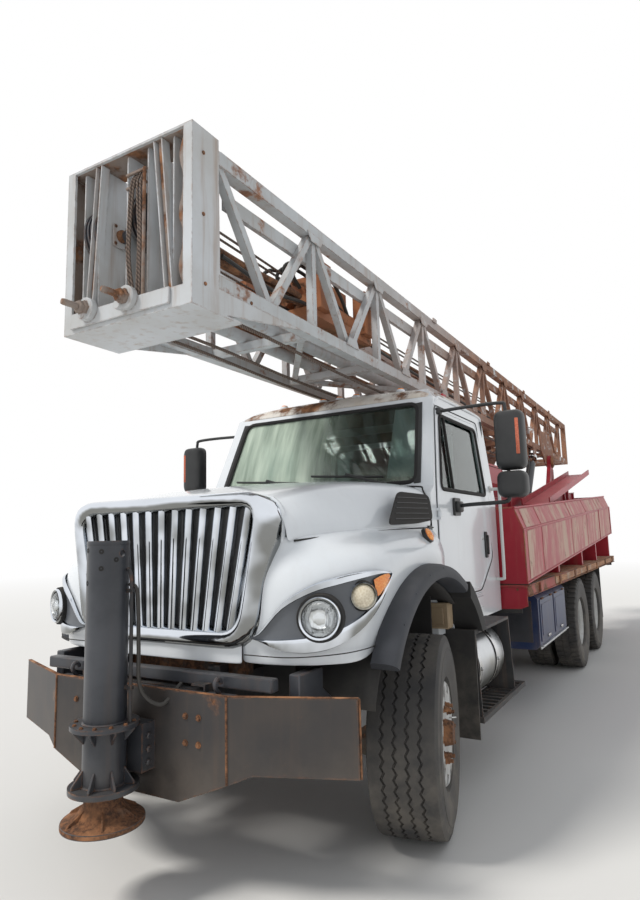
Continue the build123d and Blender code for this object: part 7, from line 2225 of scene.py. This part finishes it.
# %% Planks, edges and skirt
DECK_FRONT, DECK_TOP, BIN_LENGTH = 2.190, 1.1885, 6.715
deck_work = Workpiece("deck_details")
for side in (1, -1):
    deck_work.use(timber)
    for row, (inner, outer) in enumerate(((1.132, 1.2165), (1.040, 1.124), (0.948, 1.032), (0.856, 0.940),
                                          (0.764, 0.848), (0.645, 0.756))):
        for start, end in ((2.200, 4.480), (4.490, 6.900), (6.910, 8.890)):
            if start > 6.9 and inner < 0.9:
                continue
            block(deck_work, at(side * inner, start + 0.004 * (row % 3), DECK_TOP),
                  at(side * outer, end, 1.1930), 0.0015)
    for start, end in ((3.42, 5.10), (5.12, 6.95), (6.97, 8.88)):
        block(deck_work, at(side * 1.2205, start, 1.112), at(side * 1.2285, end, 1.182), 0.004)
    deck_work.use(edge_red)
    for z in (1.0900, 1.1815):
        block(deck_work, at(side * 1.2195, DECK_FRONT, z), at(side * 1.2320, 8.900, z + 0.0085), 0.0015)
    for number in range(7):
        station = 2.62 + number * 0.98
        block(deck_work, at(side * 1.2195, station, 1.098), at(side * 1.2400, station + 0.075, 1.182), 0.003)
    deck_work.use(faded_red)
    outline = [(0.430, 0.965), (1.150, 0.985), (1.212, 1.010), (1.212, 1.172), (0.430, 1.172)]
    plate(deck_work, [(side * x, z) for x, z in outline], at(0, 2.186, 0), SIDEWAYS, UPWARD, 0.008)
    block(deck_work, at(side * 0.430, 2.165, 1.168), at(side * 1.216, 2.196, 1.178), 0.003)
    deck_work.use(groove_rubber)
    block(deck_work, at(side * 0.645, 2.1885, DECK_TOP), at(side * 1.217, 2.2000, 1.1965), 0.001)
    block(deck_work, at(side * 1.2165, DECK_FRONT, 1.1890), at(side * 1.2195, 3.40, 1.1985), 0.001)
    deck_work.use(flap_rubber)
    plate(deck_work, [(side * 0.430, 0.930), (side * 1.160, 0.950), (side * 1.160, 0.992),
                      (side * 0.430, 0.972)],
          at(0, DECK_FRONT, 0), SIDEWAYS, UPWARD, 0.010)
    deck_work.use(rusty_steel)
    for x in (0.50, 0.66, 0.82, 0.98, 1.13):
        bolt(deck_work, at(side * x, 2.178, 1.150), (0, -1, 0), 0.009)
deck_work.done("truck", "deck_plank")

# %% [markdown]
# ## Side bins
# The two long bins rise toward the rear. On their outer faces the red paint has bleached
# to pink and cream, most of all in the middle of each sheet, so the sheets are separate
# plates with their own finish between red ribs and a red frame. A tilted frame for the
# bin's own directions keeps all these plates on its face.

# %% Bin sheets
BIN_RISE = radians(3.3)
ALONG, ACROSS = Vector((0, cos(BIN_RISE), sin(BIN_RISE))), Vector((0, -sin(BIN_RISE), cos(BIN_RISE)))


def on_bin(side, x, length, height):
    """A point of a bin by its side, its distance along the bin and its height in it."""
    return at(side * x, DECK_FRONT, 1.194) + ALONG * length + ACROSS * height


bins = Workpiece("bin_details")
SHEETS = [(0.150, 0.685), (0.790, 2.485), (2.590, 3.785), (3.890, 5.150), (5.180, 6.640)]
for side in (1, -1):
    for number, (start, end) in enumerate(SHEETS):
        bins.use(faded_panel)
        x = 1.2155 if side > 0 else 1.2190
        plate(bins, box(start, 0.030, end, 0.452), on_bin(side, x, 0, 0), ALONG, ACROSS,
              0.0035, 0.001)
        lean = Vector((-side * 0.070, 0, 0)) + ACROSS * 0.190
        shift = lean.cross(ALONG).normalized() * (-0.0045 if side < 0 else -0.0005)
        plate(bins, box(start, 0.012, end, 0.186),
              on_bin(side, 1.2155, 0, 0.472) - shift * side, ALONG, lean, 0.0035, 0.001)
    bins.use(faded_red)
    for length in (5.165, 6.680):
        block(bins, (-0.012 if side < 0 else 0, 0, 0), (0 if side < 0 else 0.012, 0.045, 0.470), 0.003,
              Matrix.Translation(on_bin(side, 1.2150, length, 0)) @ Matrix.Rotation(BIN_RISE, 4, "X"))
    for height, x, wide in ((0.664, 1.143, 0.030), (0.470, 1.2175, 0.010), (0.010, 1.2180, 0.012)):
        bar(bins, on_bin(side, x, 0.0, height), on_bin(side, x, BIN_LENGTH, height), wide, 0.018, 0.003)
    bar(bins, on_bin(side, 0.650, 0.06, 0.755), on_bin(side, 0.650, 6.655, 0.755), 0.040, 0.014, 0.003)
    bins.use(edge_red)
    bar(bins, on_bin(side, 0.664, 0.014, 0.665), on_bin(side, 1.140, 0.014, 0.665), 0.030, 0.016, 0.003)
    bar(bins, on_bin(side, 1.140, 0.010, 0.662), on_bin(side, 1.212, 0.010, 0.470), 0.020, 0.014, 0.003,
        up=(0, 1, 0))
    bar(bins, on_bin(side, 1.212, 0.010, 0.470), on_bin(side, 1.212, 0.010, 0.010), 0.020, 0.014, 0.003,
        up=(0, 1, 0))
    for number in range(7):
        length = 0.9 + number * 0.92
        bins.use(faded_red)
        block(bins, (-0.020, 0, -0.2), (0.020, 0.030, 0.0), 0.003,
              Matrix.Translation(on_bin(side, 0.672, length, 0.745)) @ Matrix.Rotation(BIN_RISE, 4, "X"))

# %% [markdown]
# A folded chute for drill rods stands over the left bin and climbs to the rear. It is a
# long channel with turned-up lips. Each bin also holds a heap of pipe and a loose board on
# two cross boards, because an empty bin would not look used.

# %% Rod chute and load
low_end, high_end = at(0.900, 4.30, 1.990), at(0.900, 7.85, 2.600)
fit = frame_between(low_end, high_end, up=(0, 0, 1))
length = (high_end - low_end).length
section = [(-0.165, 0.050), (-0.165, -0.030), (0.165, -0.030), (0.165, 0.050), (0.153, 0.050),
           (0.153, -0.018), (-0.153, -0.018), (-0.153, 0.050)]
bins.use(faded_red)
bins.add([fit @ Vector((x, y, z)) for z in (0, length) for x, y in section],
         [*grid_faces(2, 8, ring=True), [0, 1, 6, 7], [1, 2, 5, 6], [2, 3, 4, 5],
          [8, 9, 14, 15], [9, 10, 13, 14], [10, 11, 12, 13]])
for share in (0.14, 0.46):
    spot = low_end.lerp(high_end, share)
    foot_z = 1.24 + (spot.y - FRONT_AXLE - DECK_FRONT) * 0.0577
    for x in (-0.10, 0.10):
        bar(bins, Vector((spot.x + x, spot.y, foot_z)), spot + Vector((x, 0, -0.02)), 0.040, 0.040, 0.004)
bins.use(rusty_steel)
for side in (1, -1):
    for number, (x, height, start, end, radius) in enumerate((
            (0.76, 0.075, 0.9, 5.6, 0.045), (0.87, 0.075, 1.1, 5.9, 0.045), (0.98, 0.070, 0.8, 5.4, 0.045),
            (1.09, 0.075, 1.3, 5.8, 0.045), (0.815, 0.150, 1.0, 5.2, 0.040), (0.93, 0.150, 1.4, 5.7, 0.040),
            (1.04, 0.148, 1.0, 5.5, 0.040))):
        round_bar(bins, on_bin(side, x, start, height),
                  on_bin(side, x + 0.01 * (number % 3 - 1), end, height + 0.004), radius, 16)
bins.use(timber)
bar(bins, on_bin(1, 1.00, 1.3, 0.520), on_bin(1, 0.80, 4.9, 0.610), 0.190, 0.030, 0.004)
bar(bins, on_bin(-1, 0.96, 0.9, 0.560), on_bin(-1, 0.84, 5.2, 0.600), 0.190, 0.030, 0.004)
for side in (1, -1):
    for length in (1.6, 4.4):
        bar(bins, on_bin(side, 0.66, length, 0.525), on_bin(side, 1.15, length, 0.525), 0.060, 0.030, 0.004)
bins.done("truck", "red_paint")

# %% [markdown]
# ## Below the deck
# Dark blue tool boxes hang below the deck. Their doors have a frame, hinges and a latch,
# and a pale steel angle protects the lower edge. Below the cab's door the fuel tank is
# held by two straps with rubber under them. Only the driver's side has a tank.

# %% Boxes and tank
TANK_OUT, TANK_HEIGHT, STRAPS = 0.900, 0.720, (0.920, 1.340)
under = Workpiece("underdeck_details")
for side in (1, -1):
    under.use(box_blue)
    for start, end in ((2.760, 3.370), (3.430, 4.040)):
        side_plate(under, side, rounded(box(start, 0.625, end, 1.010), 0.02, 3), 1.1805, 0.008)
        side_plate(under, side, rounded(box(start + 0.05, 0.67, end - 0.05, 0.965), 0.03, 3), 1.1880, 0.005)
        under.use(rusty_steel)
        for y in (start + 0.10, end - 0.10):
            round_bar(under, at(side * 1.190, y - 0.04, 1.014), at(side * 1.190, y + 0.04, 1.014), 0.009, 10)
        under.use(rod_steel)
        block(under, at(side * 1.188, (start + end) / 2 - 0.05, 0.640),
              at(side * 1.204, (start + end) / 2 + 0.05, 0.665), 0.004)
        under.use(box_blue)
    under.use(jack_grey)
    block(under, at(side * 0.70, 2.694, 0.625), at(side * 1.12, 2.701, 1.000), 0.002)
    under.use(tank_metal)
    bar(under, at(side * 1.190, 2.740, 0.590), at(side * 1.190, 4.070, 0.590), 0.034, 0.012, 0.003)
    bar(under, at(side * 1.175, 2.740, 0.574), at(side * 1.175, 4.070, 0.574), 0.034, 0.008, 0.002,
        up=(1, 0, 0))
    if side < 0:
        continue
    under.use(groove_rubber)
    for station in STRAPS:
        turned(under, [(0.2515, -0.036), (0.2560, -0.034), (0.2560, 0.034), (0.2515, 0.036)],
               at(side * TANK_OUT, station, TANK_HEIGHT), BACKWARD, 48)
    under.use(rod_steel)
    for station in STRAPS:
        turned(under, [(0.2555, -0.024), (0.2585, -0.022), (0.2585, 0.022), (0.2555, 0.024)],
               at(side * TANK_OUT, station, TANK_HEIGHT), BACKWARD, 48)
        bolt(under, at(side * 1.160, station, TANK_HEIGHT), (side, 0, 0), 0.012)
    under.use(tank_metal)
    for station, way in ((0.800, -1), (1.520, 1)):
        turned(under, [(0.251, -0.006), (0.252, 0.006), (0.244, 0.010), (0.238, 0.004), (0.224, 0.012),
                       (0.120, 0.022), (0, 0.024)], at(side * TANK_OUT, station, TANK_HEIGHT),
               (0, way, 0), 48)
    turned(under, [(0.046, 0), (0.046, 0.030), (0.040, 0.036), (0, 0.036)], at(side * 0.975, 0.860, 0.955),
           (side * 0.5, 0, 1), 20)
under.done("truck", "tank_aluminium")

# %% [markdown]
# ## Power unit
# The deck engine lives in a steel housing. Folded lips stand beside its louvre slots,
# doors hang on strap hinges, and a silencer lies on the roof. These parts are mostly out
# of sight in the photo, so they follow what such machines usually carry.

# %% Power unit details
unit = Workpiece("power_unit_details")
for side in (1, -1):
    unit.use(faded_red)
    for number in range(11):
        y = 2.880 + number * 0.110 + 0.038
        bar(unit, at(side * 0.572, y, 1.495), at(side * 0.572, y, 2.205), 0.005, 0.036, 0.001,
            up=(side, 0.5, 0))
    unit.use(groove_rubber)
    for low, high in ((2.735, 3.430), (3.470, 4.165)):
        seam = rounded(box(low, 1.300, high, 2.400), 0.03)
        loop(unit, [at(side * 0.5615, y, z) for y, z in seam], 0.004, 6, Vector((side, 0, 0)))
    unit.use(rusty_steel)
    for y, lean in ((2.745, 1), (4.155, -1)):
        for z in (1.400, 1.850, 2.310):
            block(unit, at(side * 0.560, y - 0.006 * lean, z - 0.022),
                  at(side * 0.567, y + 0.110 * lean, z + 0.022), 0.002)
            round_bar(unit, at(side * 0.568, y, z - 0.030), at(side * 0.568, y, z + 0.030), 0.009, 8)
            bolt(unit, at(side * 0.567, y + 0.075 * lean, z), (side, 0, 0), 0.008)
    unit.use(rod_steel)
    for y in (3.395, 3.505):
        block(unit, at(side * 0.560, y - 0.022, 1.820), at(side * 0.568, y + 0.022, 1.905), 0.003)
        tube(unit, [at(side * 0.568, y, 1.885), at(side * 0.592, y, 1.880), at(side * 0.594, y, 1.835)],
             0.007, 8, 4)
unit.use(rusty_steel)
turned(unit, [(0, 0), (0.060, 0.004), (0.092, 0.030), (0.096, 0.060), (0.096, 0.640), (0.092, 0.670),
              (0.060, 0.696), (0, 0.700)], at(0.250, 3.050, 2.580), BACKWARD, 24)
tube(unit, [at(0.250, 3.740, 2.580), at(0.250, 3.860, 2.580), at(0.250, 3.960, 2.560),
            at(0.250, 4.010, 2.440)], 0.040, 14, 6)
tube(unit, [at(0.250, 3.060, 2.580), at(0.250, 2.940, 2.580), at(0.280, 2.880, 2.590),
            at(0.400, 2.860, 2.610)], 0.036, 14, 6)
for y in (3.180, 3.620):
    loop(unit, [at(0.250 + 0.100 * sin(t * pi / 8), y, 2.580 + 0.100 * cos(t * pi / 8)) for t in range(16)],
         0.006, 6, BACKWARD)
    block(unit, at(0.190, y - 0.020, 2.448), at(0.310, y + 0.020, 2.490), 0.003)
unit.use(black_plastic)
turned(unit, [(0, 0), (0.090, 0.0), (0.095, 0.01), (0.095, 0.13), (0.115, 0.14), (0.115, 0.165), (0.04, 0.19),
              (0, 0.19)],
       at(-0.280, 3.100, 2.448), UPWARD, 24)
unit.use(groove_rubber)
block(unit, at(-0.440, 2.692, 1.420), at(0.440, 2.702, 2.260), 0.004)
unit.use(rusty_steel)
for z in (1.45 + 0.033 * k for k in range(25)):
    bar(unit, at(-0.435, 2.688, z), at(0.435, 2.688, z), 0.004, 0.010, 0.001)
unit.use(faded_red)
for x in (-0.455, 0.455):
    bar(unit, at(x, 2.688, 1.400), at(x, 2.688, 2.280), 0.035, 0.020, 0.003)
for z in (1.405, 2.275):
    bar(unit, at(-0.472, 2.688, z), at(0.472, 2.688, z), 0.035, 0.020, 0.003)
unit.done("truck", "red_paint")

# %% [markdown]
# ## Winch, tower and lift cylinders
# The rope on the drum is a turned profile with one bump for every turn, since single
# turns of rope all look alike. Bolts, bosses and hose ports go where the plates meet.

# %% Winch
WINCH_STATION, WINCH_HEIGHT = 5.100, 1.560
rope = Workpiece("winch_rope").use(wire_rope)
profile = [(0.1295, -0.2355)]
for turn in range(21):
    middle = -0.2240 + turn * 0.0224
    profile += [(0.1320, middle - 0.0112), (0.1450, middle - 0.0090), (0.1535, middle),
                (0.1450, middle + 0.0090)]
profile += [(0.1320, 0.2352), (0.1295, 0.2355)]
turned(rope, profile, at(0, WINCH_STATION, WINCH_HEIGHT), (1, 0, 0), 48)
rope.use(rusty_steel)
for side in (1, -1):
    for angle in around(8):
        bolt(rope, at(side * 0.266, WINCH_STATION + 0.180 * cos(angle), WINCH_HEIGHT + 0.180 * sin(angle)),
             (side, 0, 0), 0.010)
    turned(rope, [(0.240, 0), (0.2435, 0.004), (0.2435, 0.012), (0.240, 0.016)],
           at(side * 0.2565, WINCH_STATION, WINCH_HEIGHT), (side, 0, 0), 48)
rope.done("winch_drum", "rusty_steel")

winch = Workpiece("winch_details").use(frame_black)
turned(winch, [(0, 0), (0.120, 0), (0.120, 0.030), (0.095, 0.034), (0.095, 0.140), (0.070, 0.150),
               (0.070, 0.210), (0.060, 0.220), (0, 0.220)], at(0.317, WINCH_STATION, WINCH_HEIGHT),
       (1, 0, 0), 28)
turned(winch, [(0, 0), (0.085, 0), (0.085, 0.024), (0.060, 0.034), (0, 0.036)],
       at(-0.317, WINCH_STATION, WINCH_HEIGHT), (-1, 0, 0), 28)
winch.use(hose_rubber)
for dz, y in ((0.045, 5.10), (-0.045, 5.13)):
    tube(winch, [at(0.480, y, WINCH_HEIGHT + dz), at(0.500, y, 1.640 + dz), at(0.480, y + 0.12, 1.700),
                 at(0.380, y + 0.30, 1.500), at(0.330, y + 0.45, 1.300), at(0.320, y + 0.62, 1.250)], 0.013,
         8, 6)
winch.use(rusty_steel)
for side in (1, -1):
    for angle in around(8, 0.5):
        x, reach = (0.347, 0.107) if side > 0 else (0.341, 0.073)
        bolt(winch, at(side * x, WINCH_STATION + reach * cos(angle), WINCH_HEIGHT + reach * sin(angle)),
             (side, 0, 0), 0.009)
    for y in (4.850, 5.350):
        bolt(winch, at(side * 0.290, y, 1.302), UPWARD, 0.014)
winch.done("truck", "chassis_paint")

# %% Tower and mast rest
tower = Workpiece("tower_details")
for side in (1, -1):
    tower.use(rusty_steel)
    for face in (0.500, 0.560):
        out = side if face > 0.53 else -side
        turned(tower, [(0.108, 0), (0.108, 0.010), (0.085, 0.016), (0.085, 0.026), (0.050, 0.030),
                       (0, 0.030)],
               at(side * face, 7.450, 2.790), (out, 0, 0), 32)
    for z in (1.150, 1.300, 1.450, 1.750, 2.050, 2.350):
        bolt(tower, at(side * 0.560, 7.440, z), (side, 0, 0), 0.014)
    for y in (6.430, 6.560, 6.690):
        bolt(tower, at(side * 0.560, y, 1.130), (side, 0, 0), 0.014)
    tower.use(rust_edge)
    for a, b in (((7.378, 1.130), (7.378, 2.660)), ((7.502, 1.130), (7.502, 2.660))):
        tube(tower, [at(side * 0.5605, *a), at(side * 0.5605, *b)], 0.005, 6, 1)
    tower.use(mast_grey)
    for y in (2.300, 2.390):
        block(tower, at(side * 0.385, y - 0.006, 2.600), at(side * 0.485, y + 0.006, 2.680), 0.004)
    tower.use(frame_black)
    block(tower, at(side * 0.370, 2.240, 1.020), at(side * 0.500, 2.450, 1.040), 0.004)
    tower.use(rusty_steel)
    for x, y in ((0.385, 2.255), (0.485, 2.255), (0.385, 2.435), (0.485, 2.435)):
        bolt(tower, at(side * x, y, 1.040), UPWARD, 0.012)
tower.use(groove_rubber)
block(tower, at(-0.420, 2.305, 2.780), at(0.420, 2.385, 2.800), 0.006)
tower.done("truck", "mast_paint")

# %% Lift cylinders
foot_eye, top_end = at(0, 5.300, 1.390), at(0, 6.550, 2.800)
run = (top_end - foot_eye).normalized()
barrel_length = (top_end - foot_eye).length
barrels = Workpiece("lift_barrel_details")
for side in (1, -1):
    foot_at = foot_eye + Vector((side * 0.435, 0, 0))
    barrels.use(rod_steel)
    turned(barrels, [(0.040, -0.004), (0.046, 0.0), (0.070, 0.0), (0.0725, 0.006), (0.0725, 0.050),
                     (0.066, 0.056), (0.0625, 0.056)],
           foot_at + run * (barrel_length - 0.052), run, 28)
    barrels.use(mast_grey)
    turned(barrels, [(0.0625, 0), (0.068, 0.004), (0.068, 0.030), (0.0625, 0.034)], foot_at + run * 0.10,
           run, 28)
    barrels.use(rusty_steel)
    for share in (0.10, 0.92):
        block(barrels, (-0.020, 0.050, -0.022), (0.020, 0.090, 0.022), 0.004,
              frame_between(foot_at + run * (barrel_length * share),
                            foot_at + run * (barrel_length * share + 0.1), (0, 0, 1)))
    barrels.use(hose_rubber)
    over = Vector((0, -run.z, run.y))
    path = [foot_at + run * (barrel_length * share) + over * lift for share, lift in
            ((0.92, 0.085), (0.89, 0.098), (0.60, 0.088), (0.30, 0.088), (0.16, 0.096))]
    tube(barrels, path, 0.011, 8, 5)
barrels.done("lift_barrels", "cylinder_steel")

# %% [markdown]
# ## Rear jacks, axles and lamps
# Both rear jacks repeat the front one in small. Under the frame, each drive axle gets
# its U-bolts and brake chambers, and the propeller shaft runs to both of them, because a
# view from the side looks straight at them.

# %% Rear jacks
REAR_JACK_OUT, REAR_JACK_STATION = 0.980, 7.330
for side_name, side in SIDES:
    work = Workpiece(f"rear_jack_details_{side_name}").use(jack_grey)
    centre = at(side * REAR_JACK_OUT, REAR_JACK_STATION, 0)
    turned(work, [(0.060, 0), (0.088, 0.0), (0.090, 0.004), (0.090, 0.020), (0.084, 0.026), (0.030, 0.030),
                  (0, 0.030)],
           centre + UPWARD * 1.4195, UPWARD, 36)
    for z in (0.600, 0.765, 0.955):
        turned(work, [(0.084, 0), (0.104, 0.001), (0.104, 0.015), (0.084, 0.016)], centre + UPWARD * z,
               UPWARD, 36)
    for lean in (-1, 1):
        plate(work, [(0, 0), (0.260, 0), (0, 0.200)], centre + Vector((-side * 0.084, lean * 0.055, 0.940)),
              (-side, 0, 0), (0, 0, 1), 0.012)
    work.use(rusty_steel)
    for angle in around(8):
        bolt(work, centre + Vector((0.094 * cos(angle), 0.094 * sin(angle), 0.971)), UPWARD, 0.006)
    work.use(hose_rubber)
    tube(work, [centre + Vector((-side * 0.05, 0.092, 1.380)), centre + Vector((-side * 0.10, 0.110, 1.330)),
                centre + Vector((-side * 0.13, 0.110, 1.10)), centre + Vector((-side * 0.24, 0.110, 0.965)),
                centre + Vector((-side * 0.50, 0.090, 0.955))], 0.011, 8, 6)
    work.done("truck", "jack_steel")
    foot_work = Workpiece(f"rear_jack_foot_{side_name}").use(rusty_steel)
    turned(foot_work, [(0.150, -0.001), (0.160, 0.001), (0.163, 0.008), (0.163, 0.020), (0.155, 0.026),
                       (0.095, 0.040), (0.078, 0.070)], at(side * REAR_JACK_OUT, REAR_JACK_STATION, 0.400),
           UPWARD, 40)
    foot_work.done(f"rear_jack_leg_{side_name}", "jack_steel")

# %% Axles and shafts
under = Workpiece("axle_details")
for station in REAR_AXLES:
    for side in (1, -1):
        under.use(rusty_steel)
        for dy in (-0.095, 0.095):
            tube(under, [at(side * 0.350, station + dy, 0.440), at(side * 0.350, station + dy, 0.715),
                         at(side * 0.362, station + dy, 0.735), at(side * 0.438, station + dy, 0.735),
                         at(side * 0.450, station + dy, 0.715), at(side * 0.450, station + dy, 0.440)], 0.011,
                 8, 3)
            for x in (0.350, 0.450):
                bolt(under, at(side * x, station + dy, 0.445), (0, 0, -1), 0.014)
        under.use(axle_iron)
        turned(under, [(0, 0), (0.075, 0.004), (0.085, 0.020), (0.085, 0.065), (0.095, 0.070), (0.095, 0.080),
                       (0.085, 0.086), (0.080, 0.150), (0.050, 0.170), (0, 0.172)],
               at(side * 0.300, station + 0.140, 0.560), (0, 1, 0.15), 24)
        under.use(hose_rubber)
        tube(under, [at(side * 0.300, station + 0.30, 0.62), at(side * 0.300, station + 0.33, 0.72),
                     at(side * 0.340, station + 0.25, 0.80), at(side * 0.400, station + 0.18, 0.84)], 0.009,
             8, 5)
under.use(axle_iron)
for a, b, radius in (((1.200, 0.700), (3.000, 0.640), 0.050), ((3.060, 0.640), (4.700, 0.575), 0.050),
                     ((5.300, 0.580), (6.080, 0.575), 0.042)):
    round_bar(under, at(0, *a), at(0, *b), radius, 20)
    for spot in (a, b):
        turned(under, [(radius, -0.03), (radius * 1.5, -0.02), (radius * 1.5, 0.02), (radius, 0.03)],
               at(0, *spot), BACKWARD, 20)
block(under, at(-0.300, 2.960, 0.690), at(0.300, 3.100, 0.760), 0.006)
for side in (1, -1):
    under.use(rusty_steel)
    for dy in (-0.085, 0.085):
        tube(under, [at(side * 0.345, dy, 0.430), at(side * 0.345, dy, 0.640), at(side * 0.360, dy, 0.660),
                     at(side * 0.420, dy, 0.660), at(side * 0.435, dy, 0.640), at(side * 0.435, dy, 0.430)],
             0.010, 8, 3)
under.done("truck", "chassis_paint")

# %% Rear lamps and flap brackets
tail = Workpiece("rear_details").use(frame_black)
bar(tail, at(-1.120, 7.150, 0.985), at(1.120, 7.150, 0.985), 0.050, 0.050, 0.004)
for side in (1, -1):
    tail.use(frame_black)
    bar(tail, at(side * 0.430, 7.020, 1.105), at(side * 1.210, 7.020, 1.105), 0.040, 0.030, 0.004)
    block(tail, at(side * 0.780, 8.880, 1.030), at(side * 1.180, 8.905, 1.130), 0.005)
    for x, finish in ((0.850, red_lens), (0.980, red_lens), (1.110, amber)):
        tail.use(black_plastic)
        turned(tail, [(0.055, 0), (0.055, 0.010), (0.050, 0.014), (0.047, 0.010)], at(side * x, 8.904, 1.080),
               BACKWARD, 28)
        tail.use(finish)
        turned(tail, [(0.047, 0.002), (0.046, 0.014), (0.034, 0.020), (0, 0.023)], at(side * x, 8.904, 1.080),
               BACKWARD, 28)
    tail.use(rusty_steel)
    for x in (0.640, 0.900, 1.160):
        bolt(tail, at(side * x, 7.040, 1.060), BACKWARD, 0.010)
tail.done("truck", "chassis_paint")
